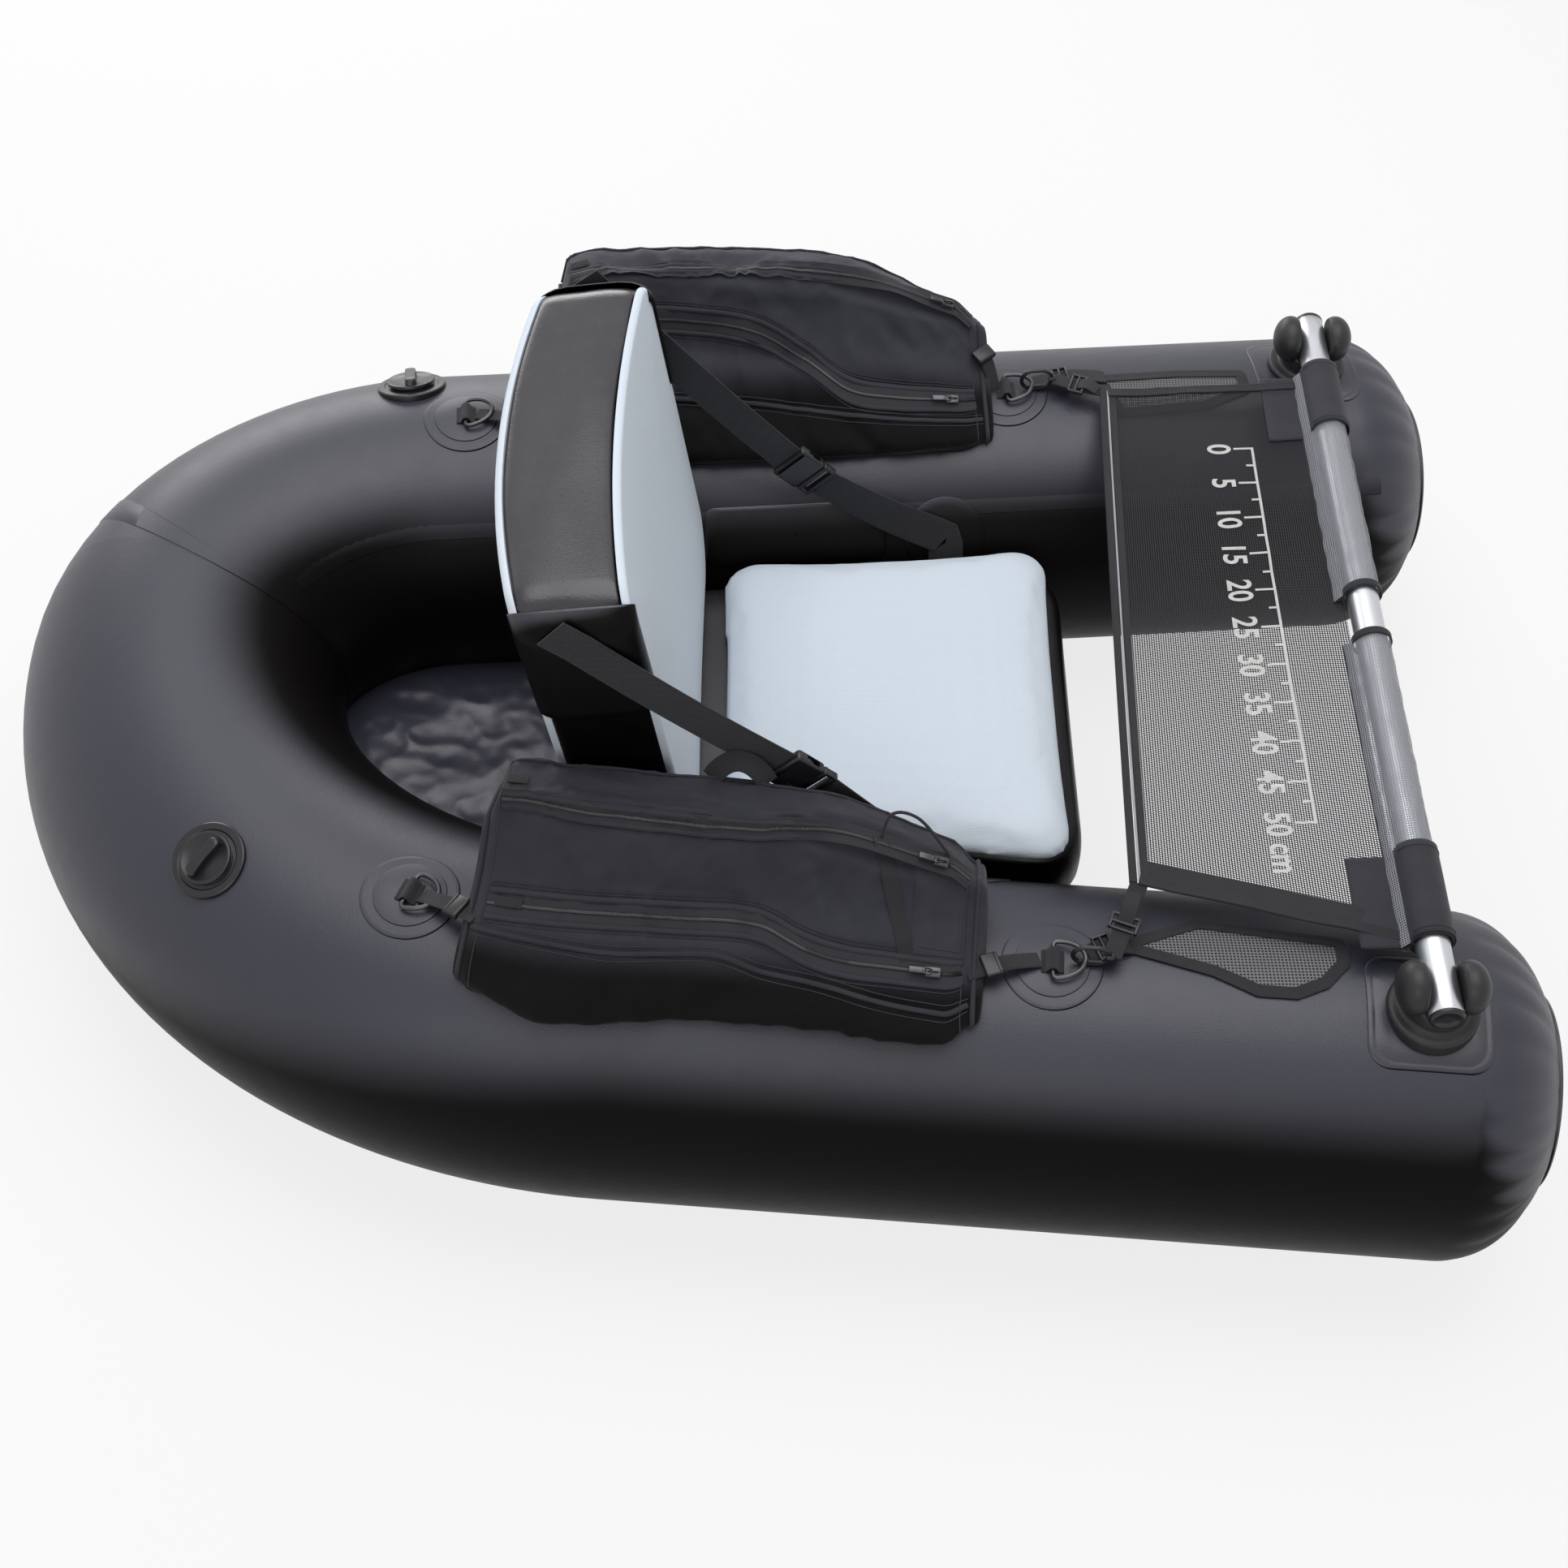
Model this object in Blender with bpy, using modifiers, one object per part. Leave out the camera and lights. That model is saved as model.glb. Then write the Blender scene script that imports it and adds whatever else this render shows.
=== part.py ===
"""Float tube (belly boat): an inflatable U-shaped hull with a seat, side bags and a stripping apron.

Metres, +Z up. X runs along the hull from the closed bow (-X) to the open tips (+X). The angler
sits facing +X, so the right arm is at -Y and the left arm is at +Y. The origin lies on the ground
under the middle of the hull.
"""
import math

import bmesh
import bpy
from mathutils import Matrix, Vector

# Hull
HULL_LENGTH = 1.568
TUBE_RADIUS = 0.170
TUBE_SIDES = 36
ARM_HALF_SPACING = 0.403
ARM_SPLAY_SHARE = 0.076
RIGHT_BOW_START_X = -0.130
LEFT_BOW_START_X = -0.350
BOW_APEX_Y = 0.090
RIGHT_BOW_HANDLE_SHARE = 0.55
LEFT_BOW_APEX_HANDLE_SHARE = 0.55
LEFT_BOW_ARM_HANDLE_SHARE = 0.50
RIGHT_BOW_STEPS = 14
LEFT_BOW_STEPS = 8
BOW_SEAM_STEPS = 2
SEAM_SHARE = 0.14
TAPE_SHARE = 0.028
TAPE_THICKNESS = 0.0012
BULKHEAD_THICKNESS = 0.0012
TIP_DOME_LENGTH = 0.110
TIP_DOME_STEPS = 5
TIP_DISC_RADIUS = 0.094
TIP_DISC_RISE = 0.016
TIP_DISC_RIM = 0.003
TIP_DISC_STEP_SHARES = (0.35, 0.65, 0.88)
GATHER_DEPTH = 0.0022
GATHER_START_SHARE = 0.14

# Clearances
SEAT_GAP = 0.0003
CUSHION_GAP = 0.0007
RUNNING_GAP = 0.0006

# Welded patches
PATCH_STEP = 0.015
FOOT_LAYER_SHARES = (0.3, 0.65, 1.0)
FLAP_LAYER_SHARES = (0.35, 0.7, 1.0)
WING_LAYER_SHARES = (0.2, 0.45, 0.7, 1.0)
MOUNT_LAYER_SHARES = (0.25, 0.5, 0.75, 1.0)

# Inflation valves
RIGHT_VALVE_SHARE = 0.3348
RIGHT_VALVE_TILT = 22
LEFT_VALVE_SHARE = 0.1237
LEFT_VALVE_TILT = 24
VALVE_FLANGE_RADIUS = 0.038
VALVE_FLANGE_RISE = 0.0035
VALVE_SEAT_DEPTH = 0.0046
VALVE_NECK_RADIUS = 0.0235
VALVE_NECK_DEPTH = 0.031
VALVE_BORE_RADIUS = 0.019
VALVE_LIP_RADIUS = 0.012
VALVE_LIP_THICKNESS = 0.004
VALVE_COLLAR_RADIUS = 0.0245
VALVE_COLLAR_RISE = 0.0048
VALVE_POCKET_DEPTH = 0.046
VALVE_CAP_RADIUS = 0.0268
VALVE_CAP_THICKNESS = 0.0045
VALVE_PLUG_CLEARANCE = 0.0005
VALVE_PLUG_DEPTH = 0.008
VALVE_GRIP_LENGTH = 0.044
VALVE_GRIP_WIDTH = 0.0125
VALVE_GRIP_HEIGHT = 0.0065
VALVE_GRIP_WAIST_SHARE = 0.58
VALVE_GRIP_CROWN_SHARES = (0.82, 0.95)
VALVE_EDGE = 0.0012
PLUNGER_DISC_RADIUS = 0.0165
PLUNGER_DISC_THICKNESS = 0.0032
PLUNGER_STEM_RADIUS = 0.0038
PLUNGER_STEM_TOP = -0.012

# D-rings on their round patches
RING_REAR_X = -0.315
RING_FRONT_X = 0.285
RING_PATCH_RADIUS = 0.0475
RING_PATCH_THICKNESS = 0.0012
RING_PAD_SHARE = 0.76
RING_PAD_RIM_SHARE = 0.78
RING_PAD_THICKNESS = 0.0022
RING_WIRE_RADIUS = 0.0023
RING_HALF_WIDTH = 0.0200
RING_REACH = 0.030
RING_CORNER = 0.004
RING_LIFT_ANGLE = 10
RING_PIVOT_HEIGHT = 0.0066
TAB_LENGTH = 0.019
TAB_WIDTH = 0.024
TAB_HEIGHT = 0.0112
TAB_BORE_CLEARANCE = 0.0007
TAB_EDGE = 0.003

# Snap hook from each front ring, with a strap and a ladder lock to the apron's rear corner
HOOK_RADIUS = 0.013
HOOK_LENGTH = 0.034
HOOK_WIRE_RADIUS = 0.0022
HOOK_HEIGHT = 0.0180
HOOK_STRAP_WIDTH = 0.020
HOOK_STRAP_THICKNESS = 0.0030
HOOK_STRAP_END_SHARE = 0.6
LOCK_LENGTH = 0.018
LOCK_WIDTH = 0.028
LOCK_THICKNESS = 0.0075
LOCK_EDGE = 0.0020
LOCK_SHARE = 0.45

# Crossbar and its mounts
BAR_INSET_FROM_TIP = 0.155
BAR_HEIGHT_OVER_TUBE = 0.035
BAR_RADIUS = 0.016
BAR_WALL = 0.0015
BAR_END_OVERHANG = 0.032
PLUG_HEAD = 0.004
PLUG_DEPTH = 0.016
PLUG_CLEARANCE = 0.0003
PLUG_CHAMFER = 0.0015
MOUNT_OUTSET = 0.022
MOUNT_BASE_RADIUS = 0.042
MOUNT_BASE_RISE = 0.007
MOUNT_BASE_EDGE = 0.003
MOUNT_NECK_RADIUS = 0.030
MOUNT_NECK_TOP = 0.004
MOUNT_EAR_OFFSET = 0.0250
MOUNT_EAR_RISE = 0.005
MOUNT_EAR_RADII = (0.0180, 0.0255, 0.0245)
MOUNT_EAR_SIDES = 14
MOUNT_PATCH_HALF = 0.0575
MOUNT_PATCH_CORNER = 0.022
MOUNT_PATCH_THICKNESS = 0.0016

# Apron
APRON_REAR_X = 0.383
APRON_REAR_LIFT = 0.0186
APRON_REAR_INSET = 0.0543
APRON_REAR_SHIFT = 0.030
APRON_REAR_SKEW = 0.013
APRON_FRONT_INSET = 0.035
APRON_FRONT_DROP = 0.010
APRON_THICKNESS = 0.0020
APRON_SAG = 0.012
APRON_REAR_SAG_SHARE = 0.2
APRON_COLUMNS = 7
APRON_ROWS = 14
SLEEVE_THICKNESS = 0.0018
SLEEVE_INSET = 0.028
RIGHT_SLEEVE_INNER_Y = -0.012
LEFT_SLEEVE_INNER_Y = 0.046
WING_THICKNESS = 0.0020
WING_CLEARANCE = 0.0138
WING_OUTLINE_SHARES = {
    "right": ((-0.225, 0.145), (0.28, 0.014), (0.52, -0.094), (0.727, -0.094),
              (0.887, -0.014), (1.0, 0.13), (1.0, 0.29), (0.205, 0.370)),
    "left": ((0.028, 0.087), (0.563, 0.101), (1.0, 0.072), (1.0, -0.087),
             (0.704, -0.203), (0.14, -0.232)),
}

# Seat
SEAT_REAR_X = -0.185
SEAT_FRONT_X = 0.350
SEAT_DECK_RISE = 0.0776
SEAT_DEPTH = 0.092
SEAT_CORNER = 0.050
SEAT_LAYER_SHARES = ((0.30, 0.0), (0.10, 0.08), (0.0, 0.28), (0.0, 0.72), (0.06, 0.92), (0.16, 1.0))
COVER_REAR_X = -0.038
COVER_FRONT_X = 0.336
COVER_OVERHANG = 0.009
COVER_EDGE_HEIGHT = 0.014
COVER_CROWN_HEIGHT = 0.034
COVER_CORNER = 0.042
COVER_EDGE_SHARES = ((2.0, 0.0), (0.33, 0.35), (0.0, 0.8))
COVER_SIDE_SHARES = ((0.4, 0.62), (1.6, 0.80))
COVER_CROWN_SHARES = ((0.9, 0.90), (1.8, 0.96), (3.0, 1.0))
FLAP_REAR_X = -0.060
FLAP_FRONT_X = 0.140
FLAP_TOP_ANGLE = 42
FLAP_BOTTOM_ANGLE = 64
FLAP_THICKNESS = 0.0020

# Backrest, in its own frame: the crease it folds on is on its front face, near the bottom
PIVOT_X = -0.047
CREASE_HEIGHT = 0.014
RECLINE_ANGLE = 7.5
BACK_HEIGHT = 0.400
BACK_OVERLAP = 0.0411
BACK_CORNER = 0.042
BACK_FOOT_CORNER = 0.070
BACK_CORNER_STEPS = 5
BACK_THICKNESS = 0.090
BACK_EDGE_SHARE = 0.08
BACK_ROUND_SHARE = 0.13
PANEL_THICKNESS = 0.008
PANEL_CROWN = 0.008
PANEL_INSET = 0.006
PANEL_CROWN_SHARES = ((2, 0.4), (5, 0.7), (12, 1.0))
WRAP_TAIL = 0.020
WRAP_STEPS = 3
WRAP_HALF_DEPTH = 0.036
WRAP_THICKNESS = 0.0020

# Back straps and side release buckles
STRAP_WIDTH = 0.038
STRAP_THICKNESS = 0.0016
STRAP_FOOT_X = 0.206
STRAP_FOOT_ANGLE = 57
STRAP_FOOT_RADIUS = 0.045
STRAP_TAIL_ANGLE = 8
BUCKLE_WIDTH = 0.047
BUCKLE_THICKNESS = 0.012
SOCKET_LENGTH = 0.034
TONGUE_LENGTH = 0.018
PRONG_LENGTH = 0.024
PRONG_WIDTH = 0.008
PRONG_THICKNESS = 0.0060
SOCKET_WALL = 0.0022
BUCKLE_EDGE = 0.0015
SHORT_PRONG_SHARE = 0.8
WINDOW_PLACE_SHARE = 0.6
BUCKLE_STANDOFF = 0.013
RIGHT_BUCKLE_X = 0.058
RIGHT_BUCKLE_RISE = 0.0927
LEFT_BUCKLE_X = 0.065
LEFT_BUCKLE_RISE = 0.0127

# Side bags
RIGHT_BAG_REAR_X = -0.250
LEFT_BAG_REAR_X = -0.205
BAG_LENGTH = 0.465
BAG_BACK_INSET = 0.063
BAG_FRONT_INSET = 0.095
RIGHT_BAG_HEIGHT = 0.122
LEFT_BAG_HEIGHT = 0.146
BAG_BASE_LIFT = 0.0016
BAG_TOE_LIFT = 0.0034
BAG_TOE_SHARE = 0.9
BAG_STATION_SHARES = ((0.0, 0.72, 0.86, 0.95), (0.03, 0.96, 0.98, 0.97), (0.10, 1.0, 1.0, 0.97),
                      (0.25, 0.98, 1.0, 0.98), (0.42, 0.95, 1.0, 0.98), (0.66, 0.92, 1.0, 0.90),
                      (0.93, 0.56, 0.98, 0.60), (1.0, 0.38, 0.86, 0.50))
BAG_RIDGE_SHARE = 0.73
BAG_FACE_SHARES = ((0.04, 0.06), (0.24, 0.26), (0.46, 0.46), (0.62, 0.74), (0.73, 0.97),
                   (0.82, 1.0), (0.97, 0.98), (1.0, 0.92), (1.0, 0.50), (1.0, 0.10))
BAG_BASE_SHARES = (1.0, 0.66, 0.33, 0.0)
BAG_HEEL_SHARE = 0.5
SLIDER_LENGTH = 0.016
SLIDER_WIDTH = 0.009
SLIDER_HEIGHT = 0.005
SLIDER_EDGE = 0.0012

# Cargo floor
FLOOR_DROP = 0.0694
FLOOR_THICKNESS = 0.0020
FLOOR_FRONT_X = -0.150

SIDES = {"right": -1, "left": 1}
UNIT = 1.0
OVERRUN = 0.020
MERGE_DISTANCE = 0.00001


def derived_sizes():
    """Sizes that follow from the driving ones."""
    size = {}
    facet = math.pi / TUBE_SIDES
    size["tube_centre"] = TUBE_RADIUS * math.cos(facet)
    size["tube_top"] = size["tube_centre"] + TUBE_RADIUS
    size["tip_x"] = HULL_LENGTH / 2
    size["apex_x"] = size["tube_centre"] - HULL_LENGTH / 2
    size["seam_radius"] = TUBE_RADIUS - TAPE_THICKNESS - SEAT_GAP
    bow_reach = HULL_LENGTH / 2 + RING_REAR_X
    size["right_valve_x"] = RING_REAR_X - bow_reach * RIGHT_VALVE_SHARE
    size["left_valve_x"] = RING_REAR_X - bow_reach * LEFT_VALVE_SHARE
    size["bar_x"] = size["tip_x"] - BAR_INSET_FROM_TIP
    size["bar_z"] = size["tube_top"] + BAR_HEIGHT_OVER_TUBE
    size["mount_y"] = ARM_HALF_SPACING + MOUNT_OUTSET
    size["bar_length"] = 2 * (size["mount_y"] + BAR_END_OVERHANG)
    size["apron_rear_z"] = size["tube_top"] + APRON_REAR_LIFT
    size["seat_deck"] = size["tube_centre"] + SEAT_DECK_RISE
    size["floor_z"] = size["tube_centre"] - FLOOR_DROP
    arm = ARM_HALF_SPACING + ARM_SPLAY_SHARE * (PIVOT_X - size["bar_x"])
    size["back_half"] = arm - TUBE_RADIUS - CUSHION_GAP + BACK_OVERLAP
    foot = PANEL_THICKNESS + BACK_THICKNESS * (1 - BACK_ROUND_SHARE)
    lean = math.radians(RECLINE_ANGLE)
    size["pivot_z"] = size["seat_deck"] + SEAT_GAP + foot * math.sin(lean) + CREASE_HEIGHT * math.cos(lean)
    size["back_bend"] = BACK_HEIGHT - CREASE_HEIGHT - BACK_CORNER
    size["disc_x"] = size["tip_x"] - TIP_DISC_RISE
    size["dome_x"] = size["tip_x"] - TIP_DOME_LENGTH
    return size


SIZE = derived_sizes()


def clear_scene():
    for thing in list(bpy.data.objects):
        bpy.data.objects.remove(thing, do_unlink=True)


def new_collection(name):
    group = bpy.data.collections.new(name)
    bpy.context.scene.collection.children.link(group)
    return group


def new_material(name, colour, roughness, metallic=0.0):
    material = bpy.data.materials.new(name)
    material.use_nodes = True
    shader = material.node_tree.nodes["Principled BSDF"]
    shader.inputs["Base Color"].default_value = (*colour, 1.0)
    shader.inputs["Roughness"].default_value = roughness
    shader.inputs["Metallic"].default_value = metallic
    return material


def add_object(name, data, group, material=None):
    thing = bpy.data.objects.new(name, data)
    group.objects.link(thing)
    if material is not None:
        data.materials.append(material)
    return thing


def mesh_object(name, bm, group, material=None, smooth_angle=40):
    """Turns a bmesh into a named object with outward faces."""
    bmesh.ops.recalc_face_normals(bm, faces=bm.faces)
    if bm.calc_volume(signed=True) < 0:
        bmesh.ops.reverse_faces(bm, faces=bm.faces)
    mesh = bpy.data.meshes.new(name)
    bm.to_mesh(mesh)
    bm.free()
    mesh.shade_smooth()
    mesh.set_sharp_from_angle(angle=math.radians(smooth_angle))
    return add_object(name, mesh, group, material)


def round_edges(thing, width, segments=2, angle=35):
    bevel = thing.modifiers.new("edges", "BEVEL")
    bevel.width = width
    bevel.segments = segments
    bevel.limit_method = "ANGLE"
    bevel.angle_limit = math.radians(angle)
    return bevel


def boolean(thing, cutter, operation="DIFFERENCE"):
    step = thing.modifiers.new(cutter.name, "BOOLEAN")
    step.operation = operation
    step.solver = "EXACT"
    step.object = cutter
    return step


def as_helper(thing):
    thing.hide_render = True
    thing.display_type = "WIRE"
    return thing


def skin(name, rings, group, material=None, loop=False, smooth_angle=40):
    """A closed body lofted through rings of equal count, capped, or closed on itself."""
    bm = bmesh.new()
    rows = [[bm.verts.new(point) for point in ring] for ring in rings]
    count = len(rings[0])
    pairs = list(zip(rows, rows[1:]))
    if loop:
        pairs.append((rows[-1], rows[0]))
    for low, high in pairs:
        for i in range(count):
            j = (i + 1) % count
            bm.faces.new((low[i], low[j], high[j], high[i]))
    if not loop:
        bm.faces.new(rows[0])
        bm.faces.new(rows[-1])
    return mesh_object(name, bm, group, material, smooth_angle)


def turned(name, profile, group, material=None, steps=24, closed=False):
    """A profile of (radius, height) points, outer side running down, turned about local Z."""
    bm = bmesh.new()
    points = [bm.verts.new((radius, 0, height)) for radius, height in profile]
    for first, second in zip(points, points[1:]):
        bm.edges.new((first, second))
    if closed:
        bm.edges.new((points[-1], points[0]))
    mesh = bpy.data.meshes.new(name)
    bm.to_mesh(mesh)
    bm.free()
    thing = add_object(name, mesh, group, material)
    screw = thing.modifiers.new("turn", "SCREW")
    screw.steps = steps
    screw.render_steps = steps
    screw.use_merge_vertices = True
    screw.merge_threshold = MERGE_DISTANCE
    screw.use_smooth_shade = True
    return thing


def outline_plate(name, points, thickness, group, material=None):
    """A flat outline in local XY with half its thickness on each side."""
    curve = bpy.data.curves.new(name, "CURVE")
    curve.dimensions = "2D"
    curve.fill_mode = "BOTH"
    curve.extrude = thickness / 2
    spline = curve.splines.new("POLY")
    spline.points.add(len(points) - 1)
    for spot, (x, y) in zip(spline.points, points):
        spot.co = (x, y, 0, 1)
    spline.use_cyclic_u = True
    return add_object(name, curve, group, material)


def box(name, lengths, group, material=None, centre=(0, 0, 0)):
    bm = bmesh.new()
    bmesh.ops.create_cube(bm, size=UNIT)
    bmesh.ops.scale(bm, vec=Vector(lengths), verts=bm.verts)
    bmesh.ops.translate(bm, vec=Vector(centre), verts=bm.verts)
    return mesh_object(name, bm, group, material)


def ribbon(name, route, thickness, group, material):
    """A strip of webbing through pairs of edge points."""
    bm = bmesh.new()
    rows = [(bm.verts.new(left), bm.verts.new(right)) for left, right in route]
    for low, high in zip(rows, rows[1:]):
        bm.faces.new((low[0], low[1], high[1], high[0]))
    mesh = bpy.data.meshes.new(name)
    bm.to_mesh(mesh)
    bm.free()
    thing = add_object(name, mesh, group, material)
    solid = thing.modifiers.new("webbing", "SOLIDIFY")
    solid.thickness = thickness
    solid.offset = 0
    return thing


def place(thing, matrix):
    thing.matrix_world = matrix
    return thing


# The hull's plan path: right tip, right arm, bow, left arm, left tip


def arm_y(x):
    """Distance of an arm's axis from the hull's middle line."""
    return ARM_HALF_SPACING + ARM_SPLAY_SHARE * (x - SIZE["bar_x"])


def curve_at(p0, p1, p2, p3, t):
    """Point and unit direction of travel on a cubic curve."""
    u = 1 - t
    point = p0 * u ** 3 + p1 * 3 * u * u * t + p2 * 3 * u * t * t + p3 * t ** 3
    travel = (p1 - p0) * u * u + (p2 - p1) * 2 * u * t + (p3 - p2) * t * t
    return point, travel.normalized()


def right_bow(t):
    start = Vector((RIGHT_BOW_START_X, -arm_y(RIGHT_BOW_START_X)))
    apex = Vector((SIZE["apex_x"], BOW_APEX_Y))
    reach_x = (start.x - apex.x) * RIGHT_BOW_HANDLE_SHARE
    reach_y = (apex.y - start.y) * RIGHT_BOW_HANDLE_SHARE
    handle = start + Vector((-reach_x, reach_x * ARM_SPLAY_SHARE))
    return curve_at(start, handle, apex - Vector((0, reach_y)), apex, t)


def left_bow(t):
    apex = Vector((SIZE["apex_x"], BOW_APEX_Y))
    end = Vector((LEFT_BOW_START_X, arm_y(LEFT_BOW_START_X)))
    reach_x = (end.x - apex.x) * LEFT_BOW_ARM_HANDLE_SHARE
    reach_y = (end.y - apex.y) * LEFT_BOW_APEX_HANDLE_SHARE
    handle = end + Vector((-reach_x, -reach_x * ARM_SPLAY_SHARE))
    return curve_at(apex, apex + Vector((0, reach_y)), handle, end, t)


def hull_path():
    """Points and directions along the hull's axis, and the index of those at the chamber seam."""
    dome = SIZE["dome_x"]
    start = Vector((dome, -arm_y(dome)))
    end = Vector((dome, arm_y(dome)))
    stops = [right_bow(i / RIGHT_BOW_STEPS) for i in range(RIGHT_BOW_STEPS + 1)]
    stops += [left_bow(SEAM_SHARE * i / BOW_SEAM_STEPS) for i in range(1, BOW_SEAM_STEPS)]
    stops += [left_bow(SEAM_SHARE - TAPE_SHARE), left_bow(SEAM_SHARE)]
    seam = len(stops)
    first = SEAM_SHARE + TAPE_SHARE
    for i in range(LEFT_BOW_STEPS + 1):
        stops.append(left_bow(first + (1 - first) * i / LEFT_BOW_STEPS))
    points = [start] + [point for point, direction in stops] + [end]
    directions = [direction for point, direction in stops]
    return points, [directions[0]] + directions + [directions[-1]], seam


PATH, DIRECTIONS, SEAM_INDEX = hull_path()


def outward_of(direction):
    """The plan direction away from the hull's inside, for travel from right tip to left tip."""
    return Vector((-direction.y, direction.x))


def path_lengths():
    total = [0.0]
    for first, second in zip(PATH, PATH[1:]):
        total.append(total[-1] + (second - first).length)
    return total


LENGTHS = path_lengths()


def locate(side, x):
    """Path length at which the given side of the hull reaches x."""
    spans = range(len(PATH) - 1)
    if side == "left":
        spans = reversed(spans)
    for i in spans:
        low, high = PATH[i], PATH[i + 1]
        if min(low.x, high.x) <= x <= max(low.x, high.x):
            share = (x - low.x) / (high.x - low.x)
            return LENGTHS[i] + share * (LENGTHS[i + 1] - LENGTHS[i])
    end = LENGTHS[0] if side == "right" else LENGTHS[-1]
    past = x - SIZE["dome_x"]
    return end + past * SIDES[side]


def along(length):
    """Axis point and travel direction at a path length, also past both ends."""
    i = 0
    while i < len(PATH) - 2 and LENGTHS[i + 1] < length:
        i += 1
    share = (length - LENGTHS[i]) / (LENGTHS[i + 1] - LENGTHS[i])
    turn = min(max(share, 0), 1)
    direction = DIRECTIONS[i].lerp(DIRECTIONS[i + 1], turn)
    return PATH[i] + (PATH[i + 1] - PATH[i]) * share, direction.normalized()


def tube_point(length, angle, offset=0.0):
    """A point on the hull's skin: angle in radians from the top, positive towards outside."""
    centre, direction = along(length)
    out = outward_of(direction) * (TUBE_RADIUS + offset) * math.sin(angle)
    z = SIZE["tube_centre"] + (TUBE_RADIUS + offset) * math.cos(angle)
    return Vector((centre.x + out.x, centre.y + out.y, z))


def tube_frame(side, x, degrees=0.0):
    """Local Z off the skin, local X along the arm towards +X, local Y towards +Y."""
    length = locate(side, x)
    angle = math.radians(degrees)
    direction = along(length)[1] * SIDES[side]
    out = outward_of(along(length)[1])
    normal = Vector((out.x * math.sin(angle), out.y * math.sin(angle), math.cos(angle)))
    ahead = Vector((direction.x, direction.y, 0))
    across = normal.cross(ahead)
    frame = Matrix((ahead, across, normal)).transposed().to_4x4()
    frame.translation = tube_point(length, angle)
    return frame


def path_radius(i):
    """The hull's radius at a path point: drawn in under the seam tape, whose face is flush."""
    return SIZE["seam_radius"] if abs(i - SEAM_INDEX) <= 1 else TUBE_RADIUS


def hull_ring(centre, direction, radius, gather=0.0):
    out = outward_of(direction)
    ring = []
    for i in range(TUBE_SIDES):
        angle = (i + 0.5) * math.tau / TUBE_SIDES
        reach = radius + (gather if i % 2 else -gather)
        side = out * reach * math.cos(angle)
        ring.append(Vector((centre.x + side.x, centre.y + side.y,
                            SIZE["tube_centre"] + reach * math.sin(angle))))
    return ring


def tip_rings(side):
    """Rings of a gathered dome, from the arm's full round to the edge of the end disc."""
    limit = math.acos(TIP_DISC_RADIUS / TUBE_RADIUS)
    reach = (SIZE["disc_x"] - SIZE["dome_x"]) / math.sin(limit)
    length = locate(side, SIZE["dome_x"])
    rings = []
    for i in range(1, TIP_DOME_STEPS + 1):
        angle = limit * i / TIP_DOME_STEPS
        centre = along(length + SIDES[side] * reach * math.sin(angle))[0]
        direction = along(length)[1]
        run = GATHER_START_SHARE + (1 - GATHER_START_SHARE) * (i - 1) / TIP_DOME_STEPS
        depth = GATHER_DEPTH * math.sin(math.pi * run)
        rings.append(hull_ring(centre, direction, TUBE_RADIUS * math.cos(angle), depth))
    return rings


def chamber(name, side, group, material):
    """One air chamber, from its gathered tip to the bulkhead seam."""
    gap = (BULKHEAD_THICKNESS / 2 + SEAT_GAP) * -SIDES[side]
    span = range(SEAM_INDEX + 1) if side == "right" else range(len(PATH) - 1, SEAM_INDEX - 1, -1)
    rings = list(reversed(tip_rings(side)))
    for i in span:
        direction = DIRECTIONS[i]
        centre = PATH[i]
        if i == SEAM_INDEX:
            centre = centre - direction * gap
        rings.append(hull_ring(centre, direction, path_radius(i)))
    return skin(name, rings, group, material)


def seam_parts(group, materials):
    """The bulkhead between the chambers and the tape round their joint."""
    direction = DIRECTIONS[SEAM_INDEX]
    centre = PATH[SEAM_INDEX]
    half = direction * BULKHEAD_THICKNESS / 2
    rings = [hull_ring(centre - half, direction, SIZE["seam_radius"]),
             hull_ring(centre + half, direction, SIZE["seam_radius"])]
    skin("bulkhead", rings, group, materials["pvc"])
    inner = []
    outer = []
    for i in (SEAM_INDEX - 1, SEAM_INDEX, SEAM_INDEX + 1):
        inner.append(hull_ring(PATH[i], DIRECTIONS[i], TUBE_RADIUS - TAPE_THICKNESS))
        outer.append(hull_ring(PATH[i], DIRECTIONS[i], TUBE_RADIUS))
    rings = outer + list(reversed(inner))
    skin("seam_tape", rings, group, materials["pvc"], loop=True)


def tip_disc(side, group, material):
    """The domed disc welded over the gathered end of an arm."""
    profile = [(0, TIP_DISC_RISE)]
    for share in TIP_DISC_STEP_SHARES:
        rise = TIP_DISC_RIM + (TIP_DISC_RISE - TIP_DISC_RIM) * math.cos(share * math.pi / 2)
        profile.append((TIP_DISC_RADIUS * share, rise))
    profile += [(TIP_DISC_RADIUS, TIP_DISC_RIM), (TIP_DISC_RADIUS, SEAT_GAP), (0, SEAT_GAP)]
    thing = turned(side + "_tip_disc", profile, group, material, steps=TUBE_SIDES)
    length = locate(side, SIZE["disc_x"])
    centre, direction = along(length)
    normal = Vector((direction.x, direction.y, 0)) * SIDES[side]
    up = Vector((0, 0, UNIT))
    frame = Matrix((up, normal.cross(up), normal)).transposed().to_4x4()
    frame.translation = Vector((centre.x, centre.y, SIZE["tube_centre"]))
    return place(thing, frame)


def circle(radius, count):
    return [(radius * math.cos(math.tau * i / count), radius * math.sin(math.tau * i / count))
            for i in range(count)]


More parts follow.
